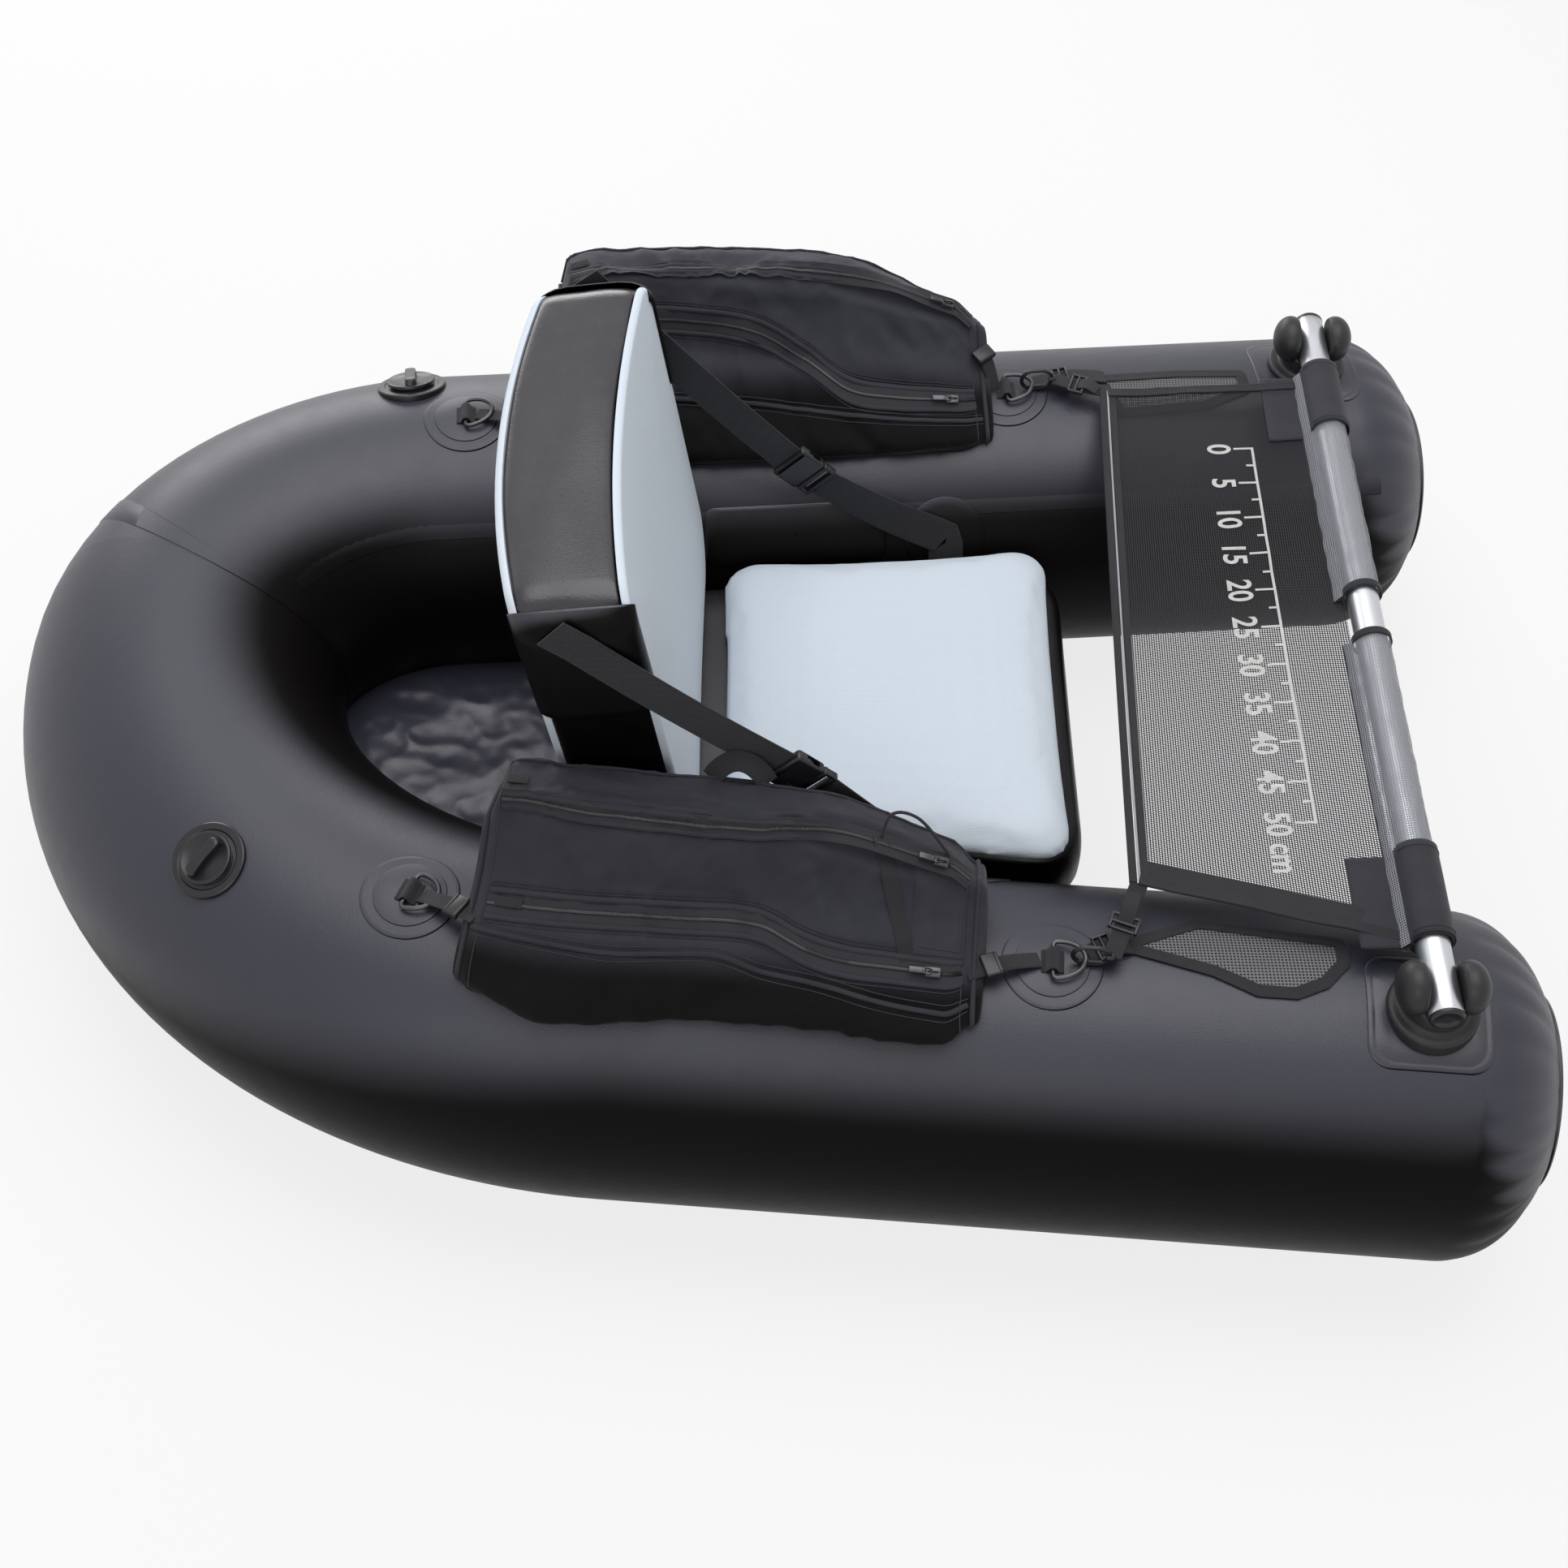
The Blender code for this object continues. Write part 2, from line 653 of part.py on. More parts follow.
def rounded_rectangle(half_x, half_y, corner, corner_steps=4, edge_steps=2, draw_in=0.0, foot=None):
    """Outline points of a rounded rectangle whose edges may pull in between the corners.

    foot is the radius of the two lower corners, where it differs.
    """
    top = min(corner, half_x, half_y)
    low = top if foot is None else min(foot, half_x, half_y)
    radii = (top, top, low, low)
    points = []
    for quarter in range(4):
        turn = quarter * math.pi / 2
        corner = radii[quarter]
        sign_x = 1 if quarter in (0, 3) else -1
        sign_y = 1 if quarter in (0, 1) else -1
        centre = Vector((sign_x * (half_x - corner), sign_y * (half_y - corner)))
        for i in range(corner_steps + 1):
            angle = turn + i * math.pi / 2 / corner_steps
            points.append(centre + Vector((math.cos(angle), math.sin(angle))) * corner)
        nxt = (quarter + 1) % 4
        next_x = 1 if nxt in (0, 3) else -1
        next_y = 1 if nxt in (0, 1) else -1
        bend = radii[nxt]
        normal = Vector((math.cos(turn + math.pi / 2), math.sin(turn + math.pi / 2)))
        start = centre + normal * corner
        target = Vector((next_x * (half_x - bend), next_y * (half_y - bend))) + normal * bend
        for i in range(1, edge_steps + 1):
            share = i / (edge_steps + 1)
            pull = normal * draw_in * math.sin(math.pi * share)
            points.append(start.lerp(target, share) - pull)
    return points


def with_short_edges(outline):
    """The same outline with points added until no edge is longer than a patch may bend over."""
    points = []
    for first, second in zip(outline, outline[1:] + outline[:1]):
        first, second = Vector(first), Vector(second)
        steps = max(1, math.ceil(abs(second.y - first.y) / PATCH_STEP))
        points += [first.lerp(second, i / steps) for i in range(steps)]
    return [(p.x, p.y) for p in points]


def hull_patch(name, side, x, degrees, outline, layers, group, material):
    """A thin piece that follows the hull's skin.

    outline holds (along, across) points about the frame's origin. layers holds pairs of the
    share of the outline and the thickness there, from the middle outwards.
    """
    base_length = locate(side, x)
    base_angle = math.radians(degrees)
    outline = [Vector(point) for point in with_short_edges(outline)]
    middle = sum(outline, Vector((0, 0))) / len(outline)

    def spot(point, offset):
        angle = base_angle + SIDES[side] * point.y / TUBE_RADIUS
        return tube_point(base_length + SIDES[side] * point.x, angle, offset)

    bm = bmesh.new()
    skins = []
    for top in (False, True):
        offsets = [SEAT_GAP + (thickness if top else 0) for share, thickness in layers]
        hub = bm.verts.new(spot(middle, offsets[0]))
        rows = []
        for (share, thickness), offset in zip(layers, offsets):
            rows.append([bm.verts.new(spot(middle.lerp(point, share), offset))
                         for point in outline])
        for i in range(len(outline)):
            j = (i + 1) % len(outline)
            bm.faces.new((hub, rows[0][i], rows[0][j]))
            for low, high in zip(rows, rows[1:]):
                bm.faces.new((low[i], high[i], high[j], low[j]))
        skins.append(rows[-1])
    for i in range(len(outline)):
        j = (i + 1) % len(outline)
        bm.faces.new((skins[0][i], skins[0][j], skins[1][j], skins[1][i]))
    return mesh_object(name, bm, group, material)


# Valves


def valve_frame(side):
    tilt = RIGHT_VALVE_TILT if side == "right" else LEFT_VALVE_TILT
    return tube_frame(side, SIZE[side + "_valve_x"], tilt)


def valve_pocket(side, chamber_object, helpers):
    """The flat seat and the deep pocket that the valve drops into."""
    seat = -VALVE_SEAT_DEPTH
    flange = VALVE_FLANGE_RADIUS + RUNNING_GAP
    neck = VALVE_NECK_RADIUS + RUNNING_GAP
    profile = [(0, OVERRUN), (flange, OVERRUN), (flange, seat), (neck, seat),
               (neck, -VALVE_POCKET_DEPTH), (0, -VALVE_POCKET_DEPTH)]
    cutter = as_helper(turned(side + "_valve_pocket", profile, helpers))
    place(cutter, valve_frame(side))
    boolean(chamber_object, cutter)


def valve_body(side, group, material):
    seat = SEAT_GAP - VALVE_SEAT_DEPTH
    lip = VALVE_LIP_THICKNESS - VALVE_NECK_DEPTH
    profile = [(VALVE_COLLAR_RADIUS, VALVE_COLLAR_RISE),
               (VALVE_COLLAR_RADIUS, VALVE_FLANGE_RISE),
               (VALVE_FLANGE_RADIUS - 2 * VALVE_EDGE, VALVE_FLANGE_RISE),
               (VALVE_FLANGE_RADIUS, VALVE_FLANGE_RISE - 2 * VALVE_EDGE),
               (VALVE_FLANGE_RADIUS, seat),
               (VALVE_NECK_RADIUS, seat),
               (VALVE_NECK_RADIUS, -VALVE_NECK_DEPTH),
               (VALVE_LIP_RADIUS, -VALVE_NECK_DEPTH),
               (VALVE_LIP_RADIUS, lip),
               (VALVE_BORE_RADIUS, lip),
               (VALVE_BORE_RADIUS, VALVE_COLLAR_RISE)]
    thing = turned("valve_body_" + side, profile, group, material, closed=True)
    return place(thing, valve_frame(side))


def valve_cap(side, group, helpers, material):
    """The bayonet cap with its raised, waisted finger bar."""
    low = VALVE_COLLAR_RISE + SEAT_GAP
    top = low + VALVE_CAP_THICKNESS
    plug = VALVE_BORE_RADIUS - VALVE_PLUG_CLEARANCE
    edge = 2 * VALVE_EDGE
    profile = [(0, top), (VALVE_CAP_RADIUS - edge, top), (VALVE_CAP_RADIUS, top - edge),
               (VALVE_CAP_RADIUS, low), (plug, low), (plug, low - VALVE_PLUG_DEPTH),
               (0, low - VALVE_PLUG_DEPTH)]
    thing = place(turned("valve_cap_" + side, profile, group, material), valve_frame(side))
    half = VALVE_GRIP_LENGTH / 2
    wide = VALVE_GRIP_WIDTH / 2
    waist = wide * VALVE_GRIP_WAIST_SHARE
    quarter = half / 2
    outline = [(-wide, -half + VALVE_EDGE), (-wide + VALVE_EDGE, -half),
               (wide - VALVE_EDGE, -half), (wide, -half + VALVE_EDGE),
               (wide, -quarter), (waist, 0), (wide, quarter),
               (wide, half - VALVE_EDGE), (wide - VALVE_EDGE, half),
               (-wide + VALVE_EDGE, half), (-wide, half - VALVE_EDGE),
               (-wide, quarter), (-waist, 0), (-wide, -quarter)]
    rings = [[Vector((u, v, z)) for u, v in outline]
             for z in (top - VALVE_EDGE, top + VALVE_GRIP_HEIGHT - VALVE_EDGE)]
    narrow, short = VALVE_GRIP_CROWN_SHARES
    crown = [Vector((u * narrow, v * short, top + VALVE_GRIP_HEIGHT)) for u, v in outline]
    grip = as_helper(skin(side + "_valve_grip", rings + [crown], helpers))
    place(grip, valve_frame(side))
    boolean(thing, grip, "UNION")
    return thing


def valve_plunger(side, group, material):
    """The sprung stem whose disc closes the bore from below."""
    top = -VALVE_NECK_DEPTH - SEAT_GAP
    profile = [(0, PLUNGER_STEM_TOP), (PLUNGER_STEM_RADIUS, PLUNGER_STEM_TOP),
               (PLUNGER_STEM_RADIUS, top), (PLUNGER_DISC_RADIUS, top),
               (PLUNGER_DISC_RADIUS, top - PLUNGER_DISC_THICKNESS),
               (0, top - PLUNGER_DISC_THICKNESS)]
    thing = turned("valve_plunger_" + side, profile, group, material, steps=24)
    return place(thing, valve_frame(side))


# D-rings


def ring_patch(end, side, x, group, helpers, material):
    """A round patch with a webbing tab whose tunnel holds the ring's straight bar."""
    name = "ring_patch_" + end + "_" + side
    layers = [(RING_PAD_SHARE / 2, RING_PAD_THICKNESS), (RING_PAD_SHARE, RING_PAD_THICKNESS),
              (RING_PAD_RIM_SHARE, RING_PATCH_THICKNESS), (1.0, RING_PATCH_THICKNESS)]
    patch = hull_patch(name, side, x, 0, circle(RING_PATCH_RADIUS, 20), layers, group, material)
    frame = tube_frame(side, x)
    low = RING_PAD_THICKNESS / 2
    tab = box(name + "_tab", (TAB_LENGTH, TAB_WIDTH, TAB_HEIGHT - low), helpers,
              centre=(0, 0, (TAB_HEIGHT + low) / 2))
    round_edges(tab, TAB_EDGE)
    place(as_helper(tab), frame)
    bore = RING_WIRE_RADIUS + TAB_BORE_CLEARANCE
    tunnel = turned(name + "_tunnel", [(0, TAB_WIDTH), (bore, TAB_WIDTH),
                                       (bore, -TAB_WIDTH), (0, -TAB_WIDTH)], helpers, steps=16)
    turn = Matrix.Rotation(math.pi / 2, 4, "X")
    lift = Matrix.Translation((0, 0, RING_PIVOT_HEIGHT))
    place(as_helper(tunnel), frame @ lift @ turn)
    boolean(patch, tab, "UNION")
    boolean(patch, tunnel)
    return patch


def d_ring(end, side, x, group, material):
    """A wire ring whose straight side turns in the patch's tab."""
    half = RING_HALF_WIDTH
    points = [(0, -half + RING_CORNER), (0, 0), (0, half - RING_CORNER), (RING_CORNER, half)]
    steps = 10
    for i in range(1, steps):
        angle = math.pi / 2 - math.pi * i / steps
        reach = RING_CORNER + (RING_REACH - RING_CORNER) * math.cos(angle)
        points.append((reach, half * math.sin(angle)))
    points.append((RING_CORNER, -half))
    curve = bpy.data.curves.new("d_ring_" + end + "_" + side, "CURVE")
    curve.dimensions = "3D"
    curve.bevel_depth = RING_WIRE_RADIUS
    curve.bevel_resolution = 2
    spline = curve.splines.new("POLY")
    spline.points.add(len(points) - 1)
    for spot, (u, v) in zip(spline.points, points):
        spot.co = (u, v, 0, 1)
    spline.use_cyclic_u = True
    thing = add_object(curve.name, curve, group, material)
    lift = Matrix.Translation((0, 0, RING_PIVOT_HEIGHT))
    tilt = Matrix.Rotation(-math.radians(RING_LIFT_ANGLE), 4, "Y")
    return place(thing, tube_frame(side, x) @ lift @ tilt)


def apron_corner(side):
    """A rear corner of the apron, which hangs a little towards the left arm and askew."""
    half = arm_y(APRON_REAR_X) - APRON_REAR_INSET
    sign = SIDES[side]
    return Vector((APRON_REAR_X + APRON_REAR_SKEW * sign, APRON_REAR_SHIFT + sign * half,
                   SIZE["apron_rear_z"]))


def apron_hook(side, group, helpers, material):
    """A snap hook through the front ring, with its strap and ladder lock to the apron's corner."""
    frame = tube_frame(side, RING_FRONT_X)
    straight = HOOK_LENGTH / 2 - HOOK_RADIUS
    middle = Vector((RING_REACH + straight, 0, HOOK_HEIGHT))
    steps = 16
    sides = 8
    rings = []
    for i in range(steps):
        turn = math.tau * (i + 0.5) / steps
        spoke = Vector((math.cos(turn), 0, math.sin(turn)))
        hub = middle + Vector((math.copysign(straight, spoke.x), 0, 0))
        ring = []
        for j in range(sides):
            swing = math.tau * j / sides
            reach = HOOK_RADIUS + HOOK_WIRE_RADIUS * math.cos(swing)
            spot = hub + spoke * reach
            spot.y += HOOK_WIRE_RADIUS * math.sin(swing)
            ring.append(frame @ spot)
        rings.append(ring)
    hook = skin("apron_hook_" + side, rings, group, material, loop=True)
    start = frame @ (middle + Vector((straight + HOOK_RADIUS, 0, 0)))
    goal = apron_corner(side)
    heading = Vector((goal.x - start.x, goal.y - start.y, 0)).normalized()
    across = Vector((0, 0, UNIT)).cross(heading)
    end = goal - heading * HOOK_STRAP_WIDTH * HOOK_STRAP_END_SHARE
    half_wide = across * HOOK_STRAP_WIDTH / 2
    half_thick = Vector((0, 0, HOOK_STRAP_THICKNESS / 2))
    lock_centre = start.lerp(end, LOCK_SHARE)
    rings = []
    for point, wide in ((start, half_wide / 2), (lock_centre, half_wide), (end, half_wide)):
        rings.append([point - wide - half_thick, point + wide - half_thick,
                      point + wide + half_thick, point - wide + half_thick])
    strap = as_helper(skin(side + "_hook_strap", rings, helpers))
    lock = box(side + "_ladder_lock", (LOCK_LENGTH, LOCK_WIDTH, LOCK_THICKNESS), helpers)
    round_edges(as_helper(lock), LOCK_EDGE, segments=1)
    run = (end - start).normalized()
    pose = Matrix((run, across, run.cross(across))).transposed().to_4x4()
    pose.translation = lock_centre
    place(lock, pose)
    boolean(hook, strap, "UNION")
    boolean(hook, lock, "UNION")
    return hook


# Crossbar


def bar_frame(y=0.0):
    """Local Z along +Y, at the crossbar's axis."""
    frame = Matrix.Rotation(-math.pi / 2, 4, "X")
    frame.translation = Vector((SIZE["bar_x"], y, SIZE["bar_z"]))
    return frame


def bar_mount(side, group, helpers, material):
    """A rubber saddle: a round foot and two bulging ears that stand either side of the bar."""
    y = SIDES[side] * SIZE["mount_y"]
    centre = Matrix.Translation((SIZE["bar_x"], y, SIZE["bar_z"]))
    base = SIZE["tube_top"] - SIZE["bar_z"]
    foot = base + MOUNT_BASE_RISE
    profile = [(0, -MOUNT_NECK_TOP),
               (MOUNT_NECK_RADIUS - MOUNT_BASE_EDGE, -MOUNT_NECK_TOP),
               (MOUNT_NECK_RADIUS, foot),
               (MOUNT_BASE_RADIUS - MOUNT_BASE_EDGE, foot),
               (MOUNT_BASE_RADIUS, foot - MOUNT_BASE_EDGE),
               (MOUNT_BASE_RADIUS, base - OVERRUN),
               (0, base - OVERRUN)]
    mount = place(turned("bar_mount_" + side, profile, group, material), centre)
    for sign in (-1, 1):
        bm = bmesh.new()
        bmesh.ops.create_uvsphere(bm, u_segments=MOUNT_EAR_SIDES, v_segments=MOUNT_EAR_SIDES // 2,
                                  radius=UNIT)
        bmesh.ops.scale(bm, vec=Vector(MOUNT_EAR_RADII), verts=bm.verts)
        ear = mesh_object(side + "_mount_ear_" + str(sign + 1), bm, helpers)
        place(as_helper(ear), centre
              @ Matrix.Translation((sign * MOUNT_EAR_OFFSET, 0, MOUNT_EAR_RISE)))
        boolean(mount, ear, "UNION")
    slot_radius = BAR_RADIUS + RUNNING_GAP
    reach = 2 * MOUNT_BASE_RADIUS
    channel = turned(side + "_mount_channel",
                     [(0, reach), (slot_radius, reach), (slot_radius, -reach), (0, -reach)],
                     helpers)
    place(as_helper(channel), bar_frame(y))
    slot = box(side + "_mount_slot", (2 * slot_radius, 2 * reach, reach), helpers,
               centre=(0, 0, reach / 2))
    place(as_helper(slot), centre)
    skin_radius = TUBE_RADIUS + MOUNT_PATCH_THICKNESS + 3 * SEAT_GAP
    under = turned(side + "_mount_under",
                   [(0, reach), (skin_radius, reach), (skin_radius, -reach), (0, -reach)],
                   helpers, steps=72)
    place(as_helper(under), tube_frame(side, SIZE["bar_x"])
          @ Matrix.Translation((0, 0, -TUBE_RADIUS)) @ Matrix.Rotation(math.pi / 2, 4, "Y"))
    for cutter in (channel, slot, under):
        boolean(mount, cutter)
    return mount


def bar_mount_pad(side, group, material):
    outline = rounded_rectangle(MOUNT_PATCH_HALF, MOUNT_PATCH_HALF, MOUNT_PATCH_CORNER,
                                corner_steps=3, edge_steps=0)
    tilt = math.degrees(MOUNT_OUTSET / TUBE_RADIUS)
    layers = [(share, MOUNT_PATCH_THICKNESS) for share in MOUNT_LAYER_SHARES]
    return hull_patch("bar_mount_pad_" + side, side, SIZE["bar_x"], tilt,
                      [(p.x, p.y) for p in outline], layers, group, material)


def crossbar(group, materials):
    half = SIZE["bar_length"] / 2 - PLUG_HEAD - SEAT_GAP
    bore = BAR_RADIUS - BAR_WALL
    tube = turned("crossbar_tube", [(BAR_RADIUS, half), (BAR_RADIUS, -half), (bore, -half),
                                    (bore, half)], group, materials["aluminium"], closed=True)
    place(tube, bar_frame())
    for side, sign in SIDES.items():
        fit = bore - PLUG_CLEARANCE
        profile = [(0, PLUG_HEAD), (BAR_RADIUS - PLUG_CHAMFER, PLUG_HEAD),
                   (BAR_RADIUS, PLUG_HEAD - PLUG_CHAMFER), (BAR_RADIUS, 0), (fit, 0),
                   (fit, -PLUG_DEPTH), (0, -PLUG_DEPTH)]
        plug = turned("bar_plug_" + side, profile, group, materials["rubber"])
        frame = bar_frame(sign * (SIZE["bar_length"] / 2 - PLUG_HEAD))
        if sign < 0:
            frame = frame @ Matrix.Rotation(math.pi, 4, "X")
        place(plug, frame)


def apron_sleeve(side, group, material):
    inner = BAR_RADIUS + RUNNING_GAP
    outer = inner + SLEEVE_THICKNESS
    outer_y = ARM_HALF_SPACING - SLEEVE_INSET
    ends = {"right": (-outer_y, RIGHT_SLEEVE_INNER_Y), "left": (LEFT_SLEEVE_INNER_Y, outer_y)}
    low, high = ends[side]
    sleeve = turned("apron_sleeve_" + side, [(outer, high - low), (outer, 0), (inner, 0),
                                             (inner, high - low)], group, material, closed=True)
    return place(sleeve, bar_frame(low))


def apron_panel(group, material):
    """The stripping apron: a mesh panel that sags a little between the arms."""
    outer = BAR_RADIUS + RUNNING_GAP + SLEEVE_THICKNESS
    reach = outer + APRON_THICKNESS / 2 + SEAT_GAP
    front_x = SIZE["bar_x"] - math.sqrt(reach ** 2 - APRON_FRONT_DROP ** 2)
    front_z = SIZE["bar_z"] - APRON_FRONT_DROP
    right_corner = apron_corner("right")
    left_corner = apron_corner("left")
    front_half = ARM_HALF_SPACING - APRON_FRONT_INSET
    bm = bmesh.new()
    rows = []
    for i in range(APRON_COLUMNS + 1):
        share = i / APRON_COLUMNS
        slack = APRON_REAR_SAG_SHARE + (1 - APRON_REAR_SAG_SHARE) * share
        row = []
        for j in range(APRON_ROWS + 1):
            across = 2 * j / APRON_ROWS - 1
            sag = APRON_SAG * (1 - across * across) * math.sin(math.pi * slack)
            rear = right_corner.lerp(left_corner, j / APRON_ROWS)
            front = Vector((front_x, across * front_half, front_z))
            row.append(bm.verts.new(rear.lerp(front, share) - Vector((0, 0, sag))))
        rows.append(row)
    for low, high in zip(rows, rows[1:]):
        for j in range(APRON_ROWS):
            bm.faces.new((low[j], high[j], high[j + 1], low[j + 1]))
    mesh = bpy.data.meshes.new("apron_panel")
    bm.to_mesh(mesh)
    bm.free()
    panel = add_object("apron_panel", mesh, group, material)
    solid = panel.modifiers.new("cloth", "SOLIDIFY")
    solid.thickness = APRON_THICKNESS
    solid.offset = 0
    return panel


def apron_wing(side, group, material):
    """The mesh gusset at the apron's side, lying on the tube."""
    length = SIZE["bar_x"] - MOUNT_PATCH_HALF - WING_CLEARANCE - APRON_REAR_X
    outline = [(u * length, v * TUBE_RADIUS) for u, v in WING_OUTLINE_SHARES[side]]
    layers = [(share, WING_THICKNESS) for share in WING_LAYER_SHARES]
    return hull_patch("apron_wing_" + side, side, APRON_REAR_X, 0, outline, layers, group, material)


# Seat


def cushion_rings(x_low, x_high, half_width, corner, layers, draw_in=0.0):
    """Rings of a seat cushion whose sides follow the splayed arms.

    half_width gives the half width at x. layers holds pairs of inset and height.
    """
    middle = (x_low + x_high) / 2
    half_length = (x_high - x_low) / 2
    base = half_width(middle)
    rings = []
    for inset, z in layers:
        outline = rounded_rectangle(half_length - inset, base - inset, max(corner - inset, inset / 4),
                                    draw_in=draw_in)
        ring = []
        for point in outline:
            x = middle + point.x
            ring.append(Vector((x, point.y * half_width(x) / base, z)))
        rings.append(ring)
    return rings


def seat_half_width(x):
    return arm_y(x) - TUBE_RADIUS - CUSHION_GAP


def cover_half_width(x):
    return seat_half_width(x) + COVER_OVERHANG


def seat_cushion(group, material):
    bottom = SIZE["seat_deck"] - SEAT_DEPTH
    layers = [(inset * SEAT_DEPTH, bottom + rise * SEAT_DEPTH) for inset, rise in SEAT_LAYER_SHARES]
    rings = cushion_rings(SEAT_REAR_X, SEAT_FRONT_X, seat_half_width, SEAT_CORNER, layers)
    return skin("seat_cushion", rings, group, material, smooth_angle=60)


def seat_cover(group, material):
    """The padded light cover: crowned top, sides drawn in between the corners."""
    low = SIZE["seat_deck"] + SEAT_GAP
    layers = []
    for width, height, layer_shares in (
            (COVER_OVERHANG, COVER_EDGE_HEIGHT, COVER_EDGE_SHARES),
            (COVER_OVERHANG, COVER_CROWN_HEIGHT, COVER_SIDE_SHARES),
            (COVER_CORNER, COVER_CROWN_HEIGHT, COVER_CROWN_SHARES)):
        layers += [(width * inset, low + height * rise) for inset, rise in layer_shares]
    rings = cushion_rings(COVER_REAR_X, COVER_FRONT_X, cover_half_width, COVER_CORNER, layers,
                          draw_in=COVER_OVERHANG / 3)
    return skin("seat_cover", rings, group, material, smooth_angle=60)


def seat_flap(side, group, material):
    """The welded strip by which the seat hangs from the tube's inner shoulder."""
    span = math.radians(FLAP_BOTTOM_ANGLE - FLAP_TOP_ANGLE) * TUBE_RADIUS
    middle_angle = -(FLAP_BOTTOM_ANGLE + FLAP_TOP_ANGLE) / 2
    half_length = (FLAP_FRONT_X - FLAP_REAR_X) / 2
    outline = rounded_rectangle(half_length, span / 2, span / 6, corner_steps=2, edge_steps=1)
    layers = [(share, FLAP_THICKNESS) for share in FLAP_LAYER_SHARES]
    return hull_patch("seat_flap_" + side, side, (FLAP_FRONT_X + FLAP_REAR_X) / 2, middle_angle,
                      [(p.x, p.y) for p in outline], layers, group, material)


# Backrest


def back_frame():
    """Local X towards +Y, local Y up the backrest, local Z out of its front."""
    lean = math.radians(RECLINE_ANGLE)
    across = Vector((0, UNIT, 0))
    up = Vector((-math.sin(lean), 0, math.cos(lean)))
    front = Vector((math.cos(lean), 0, math.sin(lean)))
    frame = Matrix((across, up, front)).transposed().to_4x4()
    frame.translation = Vector((PIVOT_X, 0, SIZE["pivot_z"]))
    return frame


def back_slab(name, layers, group, material, draw_in=0.0):
    """A rounded slab in the backrest's frame. layers holds pairs of inset and local Z."""
    rings = []
    half_height = BACK_HEIGHT / 2
    for inset, z in layers:
        outline = rounded_rectangle(SIZE["back_half"] - inset, half_height - inset,
                                    max(BACK_CORNER - inset, BACK_CORNER / 4), draw_in=draw_in,
                                    corner_steps=BACK_CORNER_STEPS,
                                    foot=max(BACK_FOOT_CORNER - inset, BACK_FOOT_CORNER / 4))
        rings.append([Vector((p.x, p.y + half_height - CREASE_HEIGHT, z)) for p in outline])
    thing = skin(name, rings, group, material, smooth_angle=60)
    return thing


def backrest(group, materials, pivot):
    front = -PANEL_THICKNESS
    rear = front - BACK_THICKNESS
    edge = BACK_THICKNESS * BACK_EDGE_SHARE
    bulge = BACK_THICKNESS * BACK_ROUND_SHARE
    layers = [(edge, rear), (edge / 3, rear + edge / 3), (0, rear + bulge),
              (0, front - bulge), (edge / 3, front - edge / 3), (edge, front)]
    core = back_slab("backrest_cushion", layers, group, materials["pvc"])
    crown_layers = [(inset * PANEL_INSET, rise * PANEL_CROWN) for inset, rise in PANEL_CROWN_SHARES]
    layers = [(PANEL_INSET, front + SEAT_GAP), (PANEL_INSET, 0)] + crown_layers
    face = back_slab("backrest_front_panel", layers, group, materials["pad"])
    outer = rear - SEAT_GAP
    back = outer - PANEL_THICKNESS
    layers = [(PANEL_INSET, outer), (PANEL_INSET, back)]
    layers += [(inset, back - rise) for inset, rise in crown_layers]
    tail = back_slab("backrest_rear_panel", layers, group, materials["pad"])
    for thing in (core, face, tail):
        thing.parent = pivot


def wrap_offset():
    return SIZE["back_half"] + SEAT_GAP + WRAP_THICKNESS


def backrest_anchor(side, group, material, pivot):
    """The welded panel round the backrest's upper corner that its strap is sewn to."""
    middle_z = -PANEL_THICKNESS - BACK_THICKNESS / 2
    bend_y = SIZE["back_bend"]
    bend_x = SIZE["back_half"] - BACK_CORNER
    step = math.pi / 2 / BACK_CORNER_STEPS
    stops = [(Vector((bend_x, bend_y - WRAP_TAIL)), 0)]
    stops += [(Vector((bend_x, bend_y)), step * i) for i in range(WRAP_STEPS + 1)]
    rings = []
    for hub, turn in stops:
        spoke = Vector((math.cos(turn), math.sin(turn)))
        inner = hub + spoke * (BACK_CORNER + SEAT_GAP)
        outer = inner + spoke * WRAP_THICKNESS
        sign = SIDES[side]
        rings.append([Vector((sign * p.x, p.y, middle_z + rise)) for p, rise in (
            (inner, -WRAP_HALF_DEPTH), (outer, -WRAP_HALF_DEPTH),
            (outer, WRAP_HALF_DEPTH), (inner, WRAP_HALF_DEPTH))])
    plate = skin("backrest_anchor_" + side, rings, group, material)
    plate.parent = pivot
    return plate


# Straps and buckles


def buckle_centre(side):
    y = SIDES[side] * (SIZE["back_half"] + BUCKLE_STANDOFF)
    if side == "right":
        return Vector((RIGHT_BUCKLE_X, y, SIZE["tube_top"] + RIGHT_BUCKLE_RISE))
    return Vector((LEFT_BUCKLE_X, y, SIZE["tube_top"] + LEFT_BUCKLE_RISE))


def strap_top(side):
    """Where the strap leaves the backrest's end, in world space."""
    off = wrap_offset() + SEAT_GAP + STRAP_THICKNESS / 2
    middle_z = -PANEL_THICKNESS - BACK_THICKNESS / 2
    return back_frame() @ Vector((SIDES[side] * off, SIZE["back_bend"], middle_z))


def strap_foot(side):
    lift = RING_PATCH_THICKNESS + 2 * SEAT_GAP + STRAP_THICKNESS
    return tube_point(locate(side, STRAP_FOOT_X), -math.radians(STRAP_FOOT_ANGLE), lift)


